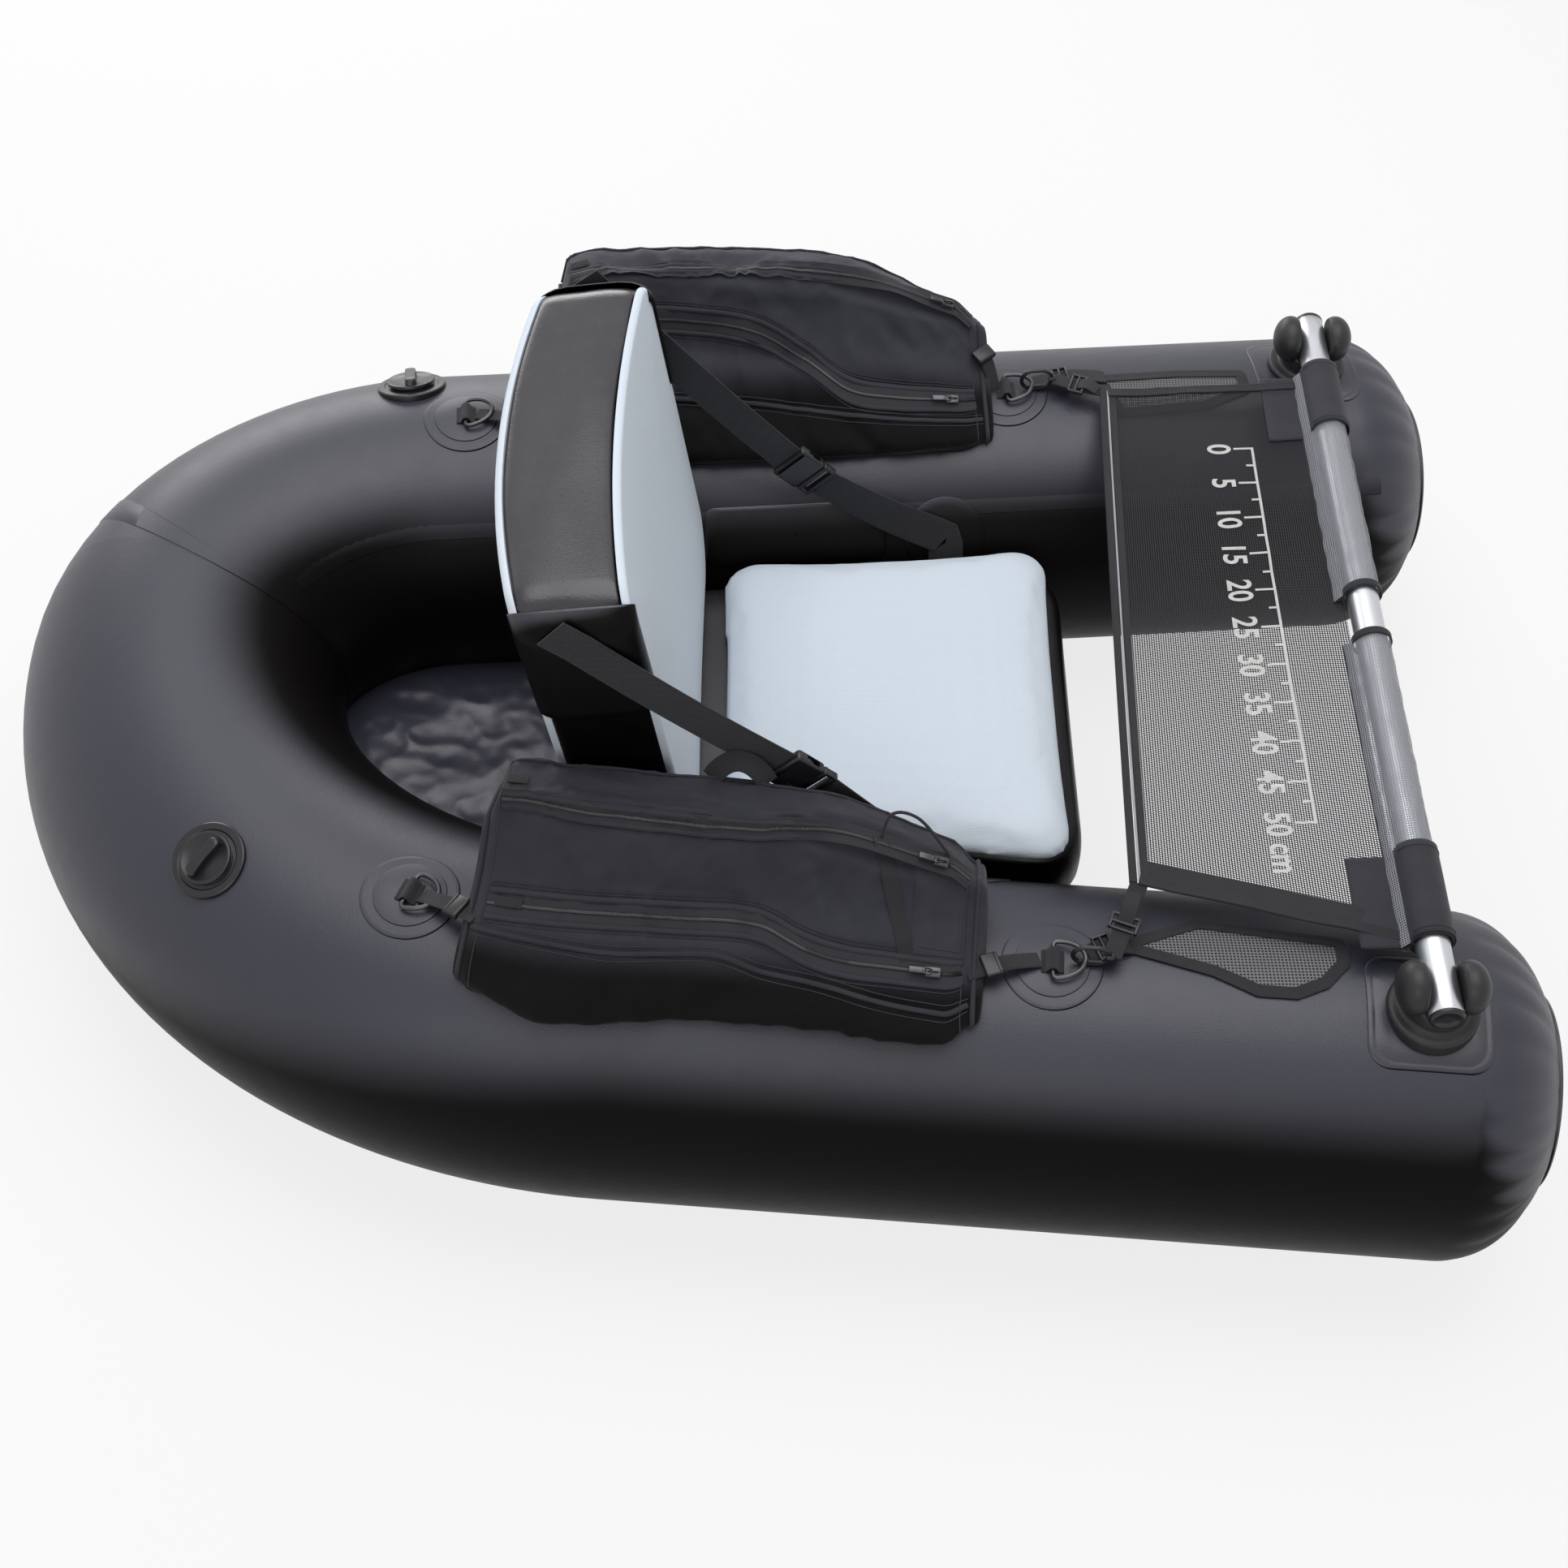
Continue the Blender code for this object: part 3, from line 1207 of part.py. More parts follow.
def buckle_frame(side):
    """Local X along the strap away from the backrest, local Z outwards."""
    head = (strap_foot(side) - strap_top(side)).normalized()
    out = Vector((0, SIDES[side], 0))
    out = (out - head * out.dot(head)).normalized()
    across = out.cross(head)
    frame = Matrix((head, across, out)).transposed().to_4x4()
    frame.translation = buckle_centre(side)
    return frame


def edge_pair(point, across):
    half = across.normalized() * STRAP_WIDTH / 2
    return point - half, point + half


def back_strap_upper(side, group, material):
    start = strap_top(side)
    frame = buckle_frame(side)
    end = frame @ Vector((-SOCKET_LENGTH - SEAT_GAP, 0, 0))
    run = end - start
    out = Vector((0, SIDES[side], 0))
    across = out.cross(run)
    back = start - Vector((run.x, 0, run.z)).normalized() * STRAP_WIDTH / 2
    route = [edge_pair(back, across), edge_pair(start, across)]
    steps = 4
    for i in range(1, steps):
        route.append(edge_pair(start.lerp(end, i / steps), across))
    route.append(edge_pair(end, frame.to_3x3() @ Vector((0, UNIT, 0))))
    return ribbon("back_strap_upper_" + side, route, STRAP_THICKNESS, group, material)


def back_strap_lower(side, group, material):
    frame = buckle_frame(side)
    start = frame @ Vector((TONGUE_LENGTH + SEAT_GAP, 0, 0))
    end = strap_foot(side)
    length = locate(side, STRAP_FOOT_X)
    ahead = along(length)[1] * SIDES[side]
    flat = Vector((ahead.x, ahead.y, 0))
    lift = RING_PATCH_THICKNESS + 2 * SEAT_GAP + STRAP_THICKNESS
    down = tube_point(length, -math.radians(STRAP_FOOT_ANGLE + STRAP_TAIL_ANGLE), lift)
    route = [edge_pair(start, frame.to_3x3() @ Vector((0, UNIT, 0)))]
    across = Vector((0, SIDES[side], 0)).cross(end - start)
    steps = 4
    for i in range(1, steps):
        share = i / steps
        route.append(edge_pair(start.lerp(end, share), across.normalized().lerp(flat, share)))
    route.append(edge_pair(end, flat))
    route.append(edge_pair(down, flat))
    return ribbon("back_strap_lower_" + side, route, STRAP_THICKNESS, group, material)


def buckle_female(side, group, helpers, material):
    """The hollow half, with side windows that show the prongs."""
    frame = buckle_frame(side)
    shell = box("buckle_female_" + side, (SOCKET_LENGTH, BUCKLE_WIDTH, BUCKLE_THICKNESS), group,
                material, centre=(-SOCKET_LENGTH / 2, 0, 0))
    place(shell, frame)
    round_edges(shell, BUCKLE_EDGE)
    depth = PRONG_LENGTH + SOCKET_WALL
    inner_width = BUCKLE_WIDTH - 2 * SOCKET_WALL
    inner = box(side + "_buckle_pocket",
                (depth + OVERRUN, inner_width, BUCKLE_THICKNESS - 2 * SOCKET_WALL), helpers,
                centre=((OVERRUN - depth) / 2, 0, 0))
    place(as_helper(inner), frame)
    window = box(side + "_buckle_windows",
                 (PRONG_LENGTH / 2, 2 * BUCKLE_WIDTH, PRONG_THICKNESS), helpers,
                 centre=(-PRONG_LENGTH * WINDOW_PLACE_SHARE, 0, 0))
    place(as_helper(window), frame)
    boolean(shell, inner)
    boolean(shell, window)
    return shell


def buckle_male(side, group, material):
    """The tongue with two sprung prongs and a middle guide."""
    half = BUCKLE_WIDTH / 2
    inner = half - SOCKET_WALL - RUNNING_GAP
    root = inner - PRONG_WIDTH
    guide = PRONG_WIDTH / 2
    short = PRONG_LENGTH * SHORT_PRONG_SHARE
    outline = [(TONGUE_LENGTH, -half), (TONGUE_LENGTH, half), (SEAT_GAP, half), (SEAT_GAP, inner),
               (-PRONG_LENGTH, inner - guide), (-PRONG_LENGTH, root), (SEAT_GAP, root),
               (SEAT_GAP, guide), (-short, guide / 2), (-short, -guide / 2), (SEAT_GAP, -guide),
               (SEAT_GAP, -root), (-PRONG_LENGTH, -root), (-PRONG_LENGTH, guide - inner),
               (SEAT_GAP, -inner), (SEAT_GAP, -half)]
    tongue = outline_plate("buckle_male_" + side, outline, PRONG_THICKNESS, group, material)
    return place(tongue, buckle_frame(side))


# Side bags


def bag_section(side, x, height_share, width_share, back_share, lift=BAG_BASE_LIFT):
    """A ring of bag points across the arm at x: zipped face towards -Y, upright back at +Y."""
    height = RIGHT_BAG_HEIGHT if side == "right" else LEFT_BAG_HEIGHT
    length = locate(side, x)
    centre, direction = along(length)
    out = outward_of(direction)
    sign = SIDES[side]

    def on_tube(offset):
        angle = math.asin(offset * sign / (TUBE_RADIUS + lift))
        return tube_point(length, angle, lift)

    def above(across, rise):
        spot = centre + out * (front + (back - front) * across) * sign
        behind = max(across - BAG_RIDGE_SHARE, 0) / (UNIT - BAG_RIDGE_SHARE)
        rise *= height_share * (UNIT - (UNIT - back_share) * behind)
        return Vector((spot.x, spot.y, SIZE["tube_top"] + rise * height))

    back = (TUBE_RADIUS - BAG_BACK_INSET) * width_share
    front = (BAG_FRONT_INSET - TUBE_RADIUS) * width_share
    ring = [on_tube(front)]
    ring += [above(across, rise) for across, rise in BAG_FACE_SHARES]
    ring += [on_tube(back * share) for share in BAG_BASE_SHARES]
    ring.append(on_tube(front * BAG_HEEL_SHARE))
    return ring


def bag_x(side, along_share):
    rear = RIGHT_BAG_REAR_X if side == "right" else LEFT_BAG_REAR_X
    return rear + BAG_LENGTH * along_share


def side_bag(side, group, material):
    rings = []
    for along_share, height_share, width_share, back_share in BAG_STATION_SHARES:
        x = bag_x(side, along_share)
        lift = BAG_TOE_LIFT if along_share > BAG_TOE_SHARE else BAG_BASE_LIFT
        rings.append(bag_section(side, x, height_share, width_share, back_share, lift))
    return skin("side_bag_" + side, rings, group, material)


def zip_slider(which, side, group, material):
    """A slider standing on the bag's zip line, free to run back along its straight stretch."""
    index = {"upper": 5, "lower": 2}[which]
    low, high = BAG_STATION_SHARES[-3], BAG_STATION_SHARES[-2]
    rings = []
    for share, height_share, width_share, back_share in (low, high):
        x = bag_x(side, share)
        rings.append(bag_section(side, x, height_share, width_share, back_share))
    start, end = rings[0][index], rings[1][index]
    head = (end - start).normalized()
    face_up = (rings[1][index + 1] - rings[1][index - 1]).normalized()
    normal = face_up.cross(head).normalized()
    if normal.y > 0:
        normal = -normal
    across = normal.cross(head)
    frame = Matrix((head, across, normal)).transposed().to_4x4()
    frame.translation = end - head * SLIDER_LENGTH / 2 + normal * (SLIDER_HEIGHT / 2 + RUNNING_GAP)
    slider = box("zip_slider_" + which + "_" + side, (SLIDER_LENGTH, SLIDER_WIDTH, SLIDER_HEIGHT),
                 group, material)
    round_edges(slider, SLIDER_EDGE)
    return place(slider, frame)


# Cargo floor


def cargo_floor(group, material):
    """The slack floor welded round the inside of the bow, behind the backrest."""
    drop = FLOOR_DROP - FLOOR_THICKNESS / 2
    start = locate("right", FLOOR_FRONT_X)
    end = locate("left", FLOOR_FRONT_X)
    radius = TUBE_RADIUS + SEAT_GAP
    points = []
    for length in [start] + [value for value in LENGTHS if start < value < end] + [end]:
        centre, direction = along(length)
        spot = centre - outward_of(direction) * math.sqrt(radius ** 2 - drop ** 2)
        points.append(spot)
    rings = [[Vector((p.x, p.y, SIZE["floor_z"] + rise)) for p in points]
             for rise in (-FLOOR_THICKNESS / 2, FLOOR_THICKNESS / 2)]
    return skin("cargo_floor", rings, group, material)


def build():
    clear_scene()
    group = new_collection("float_tube")
    helpers = new_collection("float_tube_cutters")
    materials = {
        "pvc": new_material("black_pvc", (0.030, 0.031, 0.036), 0.42),
        "pad": new_material("light_pad", (0.70, 0.77, 0.85), 0.75),
        "webbing": new_material("black_webbing", (0.012, 0.012, 0.014), 0.80),
        "bag": new_material("black_nylon", (0.018, 0.018, 0.022), 0.72),
        "mesh": new_material("black_mesh", (0.020, 0.020, 0.024), 0.70),
        "plastic": new_material("black_plastic", (0.014, 0.014, 0.016), 0.30),
        "rubber": new_material("black_rubber", (0.016, 0.016, 0.017), 0.50),
        "aluminium": new_material("satin_aluminium", (0.80, 0.81, 0.83), 0.32, 1.0),
        "metal": new_material("dark_steel", (0.10, 0.10, 0.11), 0.35, 1.0),
    }
    seam_parts(group, materials)
    for side in SIDES:
        tube = chamber(side + "_chamber", side, group, materials["pvc"])
        valve_pocket(side, tube, helpers)
        tip_disc(side, group, materials["pvc"])
        valve_body(side, group, materials["plastic"])
        valve_cap(side, group, helpers, materials["plastic"])
        valve_plunger(side, group, materials["plastic"])
        for end, x in (("rear", RING_REAR_X), ("front", RING_FRONT_X)):
            ring_patch(end, side, x, group, helpers, materials["pvc"])
            d_ring(end, side, x, group, materials["metal"])
        apron_hook(side, group, helpers, materials["plastic"])
        bar_mount_pad(side, group, materials["pvc"])
        bar_mount(side, group, helpers, materials["rubber"])
        apron_sleeve(side, group, materials["mesh"])
        apron_wing(side, group, materials["mesh"])
        seat_flap(side, group, materials["pvc"])
        foot = [(share, RING_PATCH_THICKNESS) for share in FOOT_LAYER_SHARES]
        hull_patch("strap_patch_" + side, side, STRAP_FOOT_X, -STRAP_FOOT_ANGLE,
                   circle(STRAP_FOOT_RADIUS, 20), foot, group, materials["pvc"])
        back_strap_upper(side, group, materials["webbing"])
        back_strap_lower(side, group, materials["webbing"])
        buckle_female(side, group, helpers, materials["plastic"])
        buckle_male(side, group, materials["plastic"])
        side_bag(side, group, materials["bag"])
        for which in ("upper", "lower"):
            zip_slider(which, side, group, materials["metal"])
    crossbar(group, materials)
    apron_panel(group, materials["mesh"])
    cargo_floor(group, materials["pvc"])
    seat_cushion(group, materials["pvc"])
    seat_cover(group, materials["pad"])
    pivot = add_object("backrest_pivot", None, group)
    place(pivot, back_frame())
    backrest(group, materials, pivot)
    for side in SIDES:
        backrest_anchor(side, group, materials["pvc"], pivot)
    bpy.context.view_layer.update()


build()
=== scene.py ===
"""The float tube's finish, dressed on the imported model.

Metres, in the model's own frame: +X towards the open tips, +Z up, the right arm at -Y.
"""
import bisect
import math

import bmesh
import bpy
import numpy as np
from mathutils import Matrix, Vector, geometry, noise

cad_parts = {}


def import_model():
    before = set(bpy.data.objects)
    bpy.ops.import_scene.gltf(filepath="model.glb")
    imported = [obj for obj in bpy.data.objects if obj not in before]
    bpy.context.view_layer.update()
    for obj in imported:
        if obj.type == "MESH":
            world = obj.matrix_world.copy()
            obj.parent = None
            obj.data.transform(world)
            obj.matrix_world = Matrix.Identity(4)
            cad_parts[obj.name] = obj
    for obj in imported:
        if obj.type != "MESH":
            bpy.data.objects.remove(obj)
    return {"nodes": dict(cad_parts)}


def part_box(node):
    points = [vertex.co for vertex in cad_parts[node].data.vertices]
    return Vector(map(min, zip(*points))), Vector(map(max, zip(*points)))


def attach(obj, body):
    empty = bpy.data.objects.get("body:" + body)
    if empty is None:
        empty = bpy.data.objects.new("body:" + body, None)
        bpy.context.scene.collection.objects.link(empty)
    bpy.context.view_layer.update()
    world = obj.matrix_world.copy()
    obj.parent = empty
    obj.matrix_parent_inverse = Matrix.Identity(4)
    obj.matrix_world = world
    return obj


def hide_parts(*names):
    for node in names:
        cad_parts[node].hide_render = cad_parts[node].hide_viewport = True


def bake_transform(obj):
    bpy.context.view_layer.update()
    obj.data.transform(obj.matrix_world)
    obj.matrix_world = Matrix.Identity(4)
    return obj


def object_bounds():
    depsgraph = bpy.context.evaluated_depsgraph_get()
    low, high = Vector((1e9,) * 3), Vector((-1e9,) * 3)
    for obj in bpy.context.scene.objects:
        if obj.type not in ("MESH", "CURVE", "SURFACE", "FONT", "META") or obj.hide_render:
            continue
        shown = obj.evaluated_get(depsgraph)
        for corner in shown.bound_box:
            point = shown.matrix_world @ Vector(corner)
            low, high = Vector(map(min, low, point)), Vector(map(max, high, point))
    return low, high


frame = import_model()
cad_low, cad_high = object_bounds()

# Hull path, as the solids have it
HULL_LENGTH = 1.568
TUBE_RADIUS = 0.170
TUBE_FACETS = 36
ARM_HALF_SPACING = 0.403
ARM_SPLAY_SHARE = 0.076
RIGHT_BOW_START_X = -0.130
LEFT_BOW_START_X = -0.350
BOW_APEX_Y = 0.090
BOW_HANDLE_SHARE = 0.55
LEFT_BOW_ARM_HANDLE_SHARE = 0.50
BAR_X = 0.629
BAR_Z = 0.374353
TUBE_CENTRE = TUBE_RADIUS * math.cos(math.pi / TUBE_FACETS)
TUBE_TOP = TUBE_CENTRE + TUBE_RADIUS
APEX_X = TUBE_CENTRE - HULL_LENGTH / 2
TIP_X = HULL_LENGTH / 2
SIDES = {"right": -1, "left": 1}
UP = Vector((0, 0, 1))

# Tips
DOME_LENGTH = 0.110
DISC_RADIUS = 0.094
DISC_RISE = 0.016
DISC_RIM = 0.0022
DISC_SINK = 0.0032
PLEATS = 26
PLEAT_DEPTH = 0.0052
HULL_SIDES = 156
RING_SPACING = 0.018

# Seam tape round the bow, its plane a little askew, and the weld line along the inner wall
SEAM_SHARE = 0.14
SEAM_SHIFT = -0.003
SEAM_SKEW = 0.047
TAPE_WIDTH = 0.022
TAPE_RISE = 0.0009
TAPE_EDGE_SHARE = 0.06
WELD_ANGLE = -46
WELD_WIDTH = 0.018
WELD_RISE = 0.0006
WELD_SHARES = ((-0.5, -0.6), (-0.46, 1.0), (-0.1, 0.9), (0.25, 0.4), (0.5, -0.2))
WELD_STEPS = 60

# Skin patches and rings
RING_XS = {"rear": -0.315, "front": 0.285}
PATCH_RADIUS = 0.0475
PATCH_RISE = 0.0014
PAD_SHARE = 0.74
PAD_RISE = 0.0026
RING_PIVOT = 0.0066
RING_HALF_WIDTH = 0.020
RING_REACH = 0.030
RING_CORNER = 0.004
RING_WIRE = 0.0023
RING_TILT = 10
TAB_WIDTH = 0.024
TAB_LENGTH = 0.021
TAB_THICKNESS = 0.0014
STRAP_FOOT_X = 0.206
STRAP_FOOT_ANGLE = -57
STRAP_FOOT_RADIUS = 0.045
FLAP_XS = (-0.060, 0.140)
FLAP_ANGLES = (-42, -64)
FLAP_RISE = 0.0024

# Camera, fitted to the photograph
CAMERA_PLACE = (0.019, -1.496, 2.123)
CAMERA_RIGHT = (1.000, 0.0, 0.010)
CAMERA_UP = (-0.006, 0.803, 0.596)
CAMERA_LENS = 52.174
CAMERA_SENSOR = 36.0


# Path of the hull's axis


def arm_y(x):
    """Distance of an arm's axis from the middle line."""
    return ARM_HALF_SPACING + ARM_SPLAY_SHARE * (x - BAR_X)


def curve_at(p0, p1, p2, p3, t):
    """Point and unit travel on a cubic curve."""
    u = 1 - t
    point = p0 * u ** 3 + p1 * 3 * u * u * t + p2 * 3 * u * t * t + p3 * t ** 3
    travel = (p1 - p0) * u * u + (p2 - p1) * 2 * u * t + (p3 - p2) * t * t
    return point, travel.normalized()


def right_bow(t):
    start = Vector((RIGHT_BOW_START_X, -arm_y(RIGHT_BOW_START_X)))
    apex = Vector((APEX_X, BOW_APEX_Y))
    reach = (start.x - apex.x) * BOW_HANDLE_SHARE
    rise = (apex.y - start.y) * BOW_HANDLE_SHARE
    handle = start + Vector((-reach, reach * ARM_SPLAY_SHARE))
    return curve_at(start, handle, apex - Vector((0, rise)), apex, t)


def left_bow(t):
    apex = Vector((APEX_X, BOW_APEX_Y))
    end = Vector((LEFT_BOW_START_X, arm_y(LEFT_BOW_START_X)))
    reach = (end.x - apex.x) * LEFT_BOW_ARM_HANDLE_SHARE
    rise = (end.y - apex.y) * BOW_HANDLE_SHARE
    handle = end + Vector((-reach, -reach * ARM_SPLAY_SHARE))
    return curve_at(apex, apex + Vector((0, rise)), handle, end, t)


def hull_path(samples=160):
    """Points, directions and lengths along the axis, and the length at the chamber seam."""
    dome = TIP_X - DOME_LENGTH
    stops = [right_bow(i / samples) for i in range(samples + 1)]
    stops += [left_bow(i / samples) for i in range(1, samples + 1)]
    points = [Vector((dome, -arm_y(dome)))] + [p for p, d in stops] + [Vector((dome, arm_y(dome)))]
    ways = [stops[0][1]] + [d for p, d in stops] + [stops[-1][1]]
    lengths = [0.0]
    for first, second in zip(points, points[1:]):
        lengths.append(lengths[-1] + (second - first).length)
    return points, ways, lengths, lengths[1 + samples + round(SEAM_SHARE * samples)]


PATH, WAYS, LENGTHS, SEAM_LENGTH = hull_path()


def along(length):
    """Axis point and travel at a path length, also past both ends."""
    i = min(max(bisect.bisect_right(LENGTHS, length) - 1, 0), len(PATH) - 2)
    share = (length - LENGTHS[i]) / (LENGTHS[i + 1] - LENGTHS[i])
    way = WAYS[i].lerp(WAYS[i + 1], min(max(share, 0), 1))
    return PATH[i] + (PATH[i + 1] - PATH[i]) * share, way.normalized()


def locate(side, x):
    """Path length at which a side of the hull reaches x."""
    spans = range(len(PATH) - 1) if side == "right" else range(len(PATH) - 2, -1, -1)
    for i in spans:
        low, high = PATH[i], PATH[i + 1]
        if min(low.x, high.x) <= x <= max(low.x, high.x):
            return LENGTHS[i] + (x - low.x) / (high.x - low.x) * (LENGTHS[i + 1] - LENGTHS[i])
    past = x - (TIP_X - DOME_LENGTH)
    return (LENGTHS[0] if side == "right" else LENGTHS[-1]) + past * SIDES[side]


def outward_of(way):
    return Vector((-way.y, way.x, 0))


def squared(up, way):
    """The part of a direction that is square to a way, at unit length."""
    return (up - way * up.dot(way)).normalized()


def posed(ahead, up, place):
    """A frame at a place: local X ahead, local Z up."""
    pose = Matrix((ahead, up.cross(ahead), up)).transposed().to_4x4()
    pose.translation = place
    return pose


def tube_point(length, angle, offset=0.0):
    """A point over the skin; angle in radians from the top, positive towards outside."""
    centre, way = along(length)
    reach = TUBE_RADIUS + offset
    spot = Vector((centre.x, centre.y, TUBE_CENTRE)) + outward_of(way) * reach * math.sin(angle)
    return spot + Vector((0, 0, reach * math.cos(angle)))


def tube_normal(length, angle):
    return outward_of(along(length)[1]) * math.sin(angle) + Vector((0, 0, math.cos(angle)))


def tube_frame(side, x, degrees=0.0):
    """Local Z off the skin, local X along the arm towards +X, local Y towards +Y."""
    length = locate(side, x)
    angle = math.radians(degrees)
    way = along(length)[1] * SIDES[side]
    return posed(Vector((way.x, way.y, 0)), tube_normal(length, angle), tube_point(length, angle))


# Materials

NYLON_GLOSS = 0.30


class Nodes:
    """A node tree being built."""

    def __init__(self, tree):
        self.tree = tree

    def put(self, node, socket, value):
        if isinstance(value, bpy.types.NodeSocket):
            self.tree.links.new(value, node.inputs[socket])
        else:
            node.inputs[socket].default_value = value

    def add(self, kind, inputs=(), **settings):
        node = self.tree.nodes.new(kind)
        for key, value in settings.items():
            setattr(node, key, value)
        for socket, value in dict(inputs).items():
            self.put(node, socket, value)
        return node

    def maths(self, operation, first, second=0.0):
        node = self.add("ShaderNodeMath", {0: first, 1: second}, operation=operation)
        return node.outputs[0]

    def spread(self, source, low, high):
        """A 0 to 1 value spread to a range."""
        node = self.add("ShaderNodeMapRange", {"Value": source, "To Min": low, "To Max": high})
        return node.outputs[0]

    def mixed(self, share, first, second):
        """A colour between two."""
        node = self.add("ShaderNodeMix", {0: share, 6: first, 7: second}, data_type="RGBA")
        return node.outputs[2]

    def seen(self):
        """1 for camera, glossy and transmission rays."""
        rays = self.add("ShaderNodeLightPath").outputs
        total = rays["Is Camera Ray"]
        for name in ("Is Glossy Ray", "Is Transmission Ray"):
            total = self.maths("MAXIMUM", total, rays[name])
        return total


class Finish(Nodes):
    """A material being built: its nodes, its links and its shader."""

    def __init__(self, name, colour, roughness, metallic=0.0):
        self.material = bpy.data.materials.new(name)
        self.material.use_nodes = True
        super().__init__(self.material.node_tree)
        self.shader = self.tree.nodes["Principled BSDF"]
        self.put(self.shader, "Base Color", (*colour, 1.0))
        self.put(self.shader, "Roughness", roughness)
        self.put(self.shader, "Metallic", metallic)

    def place(self, kind="Object"):
        return self.add("ShaderNodeTexCoord").outputs[kind]

    def grain(self, scale, detail, stretch=None):
        spot = self.place()
        if stretch is not None:
            spot = self.add("ShaderNodeMapping", {"Vector": spot, "Scale": stretch}).outputs[0]
        node = self.add("ShaderNodeTexNoise", {"Vector": spot, "Scale": scale, "Detail": detail})
        return node.outputs["Fac"]

    def cells(self, scale):
        node = self.add("ShaderNodeTexVoronoi", {"Vector": self.place(), "Scale": scale})
        return node.outputs["Distance"]

    def tint(self, source, dark, light):
        """Colours the surface from dark to light by a value."""
        self.put(self.shader, "Base Color", self.mixed(source, (*dark, 1.0), (*light, 1.0)))

    def bump(self, height, distance, strength=1.0):
        node = self.add("ShaderNodeBump", {"Height": height, "Distance": distance,
                                           "Strength": strength})
        last = self.shader.inputs["Normal"]
        if last.is_linked:
            self.put(node, "Normal", last.links[0].from_socket)
        self.put(self.shader, "Normal", node.outputs[0])

    def painted_light_mask(self):
        """Painted light mask: high for faces that look up, out of the bow or out of the tips, which are
        painted as lit; low for the flanks, which are painted as in shade.
        """
        normal = self.add("ShaderNodeNewGeometry").outputs["Normal"]
        parts = self.add("ShaderNodeSeparateXYZ", {"Vector": normal})
        x = parts.outputs[0]
        spot = self.add("ShaderNodeSeparateXYZ", {"Vector": self.place()})
        weight = self.add("ShaderNodeMapRange", {"Value": spot.outputs[0], "From Min": 0.45,
                                                 "From Max": 0.65, "To Min": -0.3, "To Max": 0.8})
        behind = self.maths("MULTIPLY", self.maths("MINIMUM", x, 0.0), -0.75)
        ahead = self.maths("MULTIPLY", self.maths("MAXIMUM", x, 0.0), weight.outputs[0])
        return self.maths("ADD", parts.outputs[2], self.maths("ADD", behind, ahead))

    def paint_flank_shade(self, value, colour, low, high, edges):
        """Paints shade: goes over to a darker colour and a duller painted reflection (lower specular level)
        where the value falls between the edges.
        """
        lit = self.add("ShaderNodeMapRange", {"Value": value, "From Min": edges[0],
                                              "From Max": edges[1]},
                       interpolation_type="SMOOTHSTEP").outputs[0]
        last = self.shader.inputs["Base Color"].links[0].from_socket
        self.put(self.shader, "Base Color", self.mixed(lit, (*colour, 1.0), last))
        self.put(self.shader, "Specular IOR Level", self.spread(lit, low, high))

    def threads(self, pitch, kind="UV", axes=(0, 1)):
        """The height of a plain weave."""
        parts = self.add("ShaderNodeSeparateXYZ", {"Vector": self.place(kind)})
        waves = [self.maths("SINE", self.maths("MULTIPLY", parts.outputs[a], math.tau / pitch))
                 for a in axes]
        return self.maths("MULTIPLY", waves[0], waves[1])


def pvc_finish(name="satin_pvc", roughness=(0.38, 0.48), colour=(0.020, 0.020, 0.032), grain=1.0):
    """Welded PVC cloth: satin, with a fine pebble, and with painted shade on its flanks."""
    f = Finish(name, colour, roughness[0])
    cloudy = f.grain(7.0, 3.0)
    light = tuple(c * 1.35 for c in colour)
    f.tint(cloudy, colour, light)
    f.put(f.shader, "Roughness", f.spread(f.grain(42.0, 4.0), *roughness))
    f.bump(f.cells(620.0), 0.00022 * grain, 0.5)
    f.bump(f.grain(160.0, 3.0), 0.00025 * grain, 0.5)
    # Painted shade: faces that look down or aside are painted near black (0.0042, 0.0034, 0.0034) and given
    # a duller painted reflection
    f.paint_flank_shade(f.painted_light_mask(), (0.0042, 0.0034, 0.0034), 0.06, 0.50, (0.58, 0.92))
    return f.material


def pad_finish(name="light_pad", colour=(0.66, 0.73, 0.81)):
    """Soft light knit over foam."""
    f = Finish(name, colour, 0.82)
    f.tint(f.grain(5.0, 3.0), tuple(c * 0.95 for c in colour), colour)
    f.put(f.shader, "Sheen Weight", 0.15)
    f.put(f.shader, "Specular IOR Level", 0.25)
    knit = f.threads(0.0016, "Object", (0, 1))
    knit = f.maths("ADD", knit, f.threads(0.0016, "Object", (1, 2)))
    f.bump(knit, 0.00012, 0.5)
    f.bump(f.grain(90.0, 3.0), 0.0006, 0.25)
    return f.material


def nylon_finish(name, colour, edges=None):
    """Coated oxford cloth: a plain weave, creased a little. On a bag, the lower front side up to the edges,
    measured over the section, is painted darker as shade.
    """
    f = Finish(name, colour, 0.62)
    f.tint(f.grain(11.0, 4.0), colour, tuple(c * 1.5 for c in colour))
    f.put(f.shader, "Roughness", f.spread(f.grain(60.0, 3.0), 0.56, 0.72))
    f.put(f.shader, "Sheen Weight", 0.08)
    f.bump(f.threads(0.0011), 0.00018, 0.6)
    f.bump(f.grain(34.0, 5.0), 0.0022, 0.35)
    if edges is None:
        f.put(f.shader, "Specular IOR Level", NYLON_GLOSS)
    else:
        over = f.add("ShaderNodeSeparateXYZ", {"Vector": f.place("UV")}).outputs[0]
        # Painted shade: the bag's lower front side is painted near black (0.0032, 0.0030, 0.0036) with a
        # duller painted reflection
        f.paint_flank_shade(over, (0.0032, 0.0030, 0.0036), 0.06, NYLON_GLOSS, edges)
    return f.material


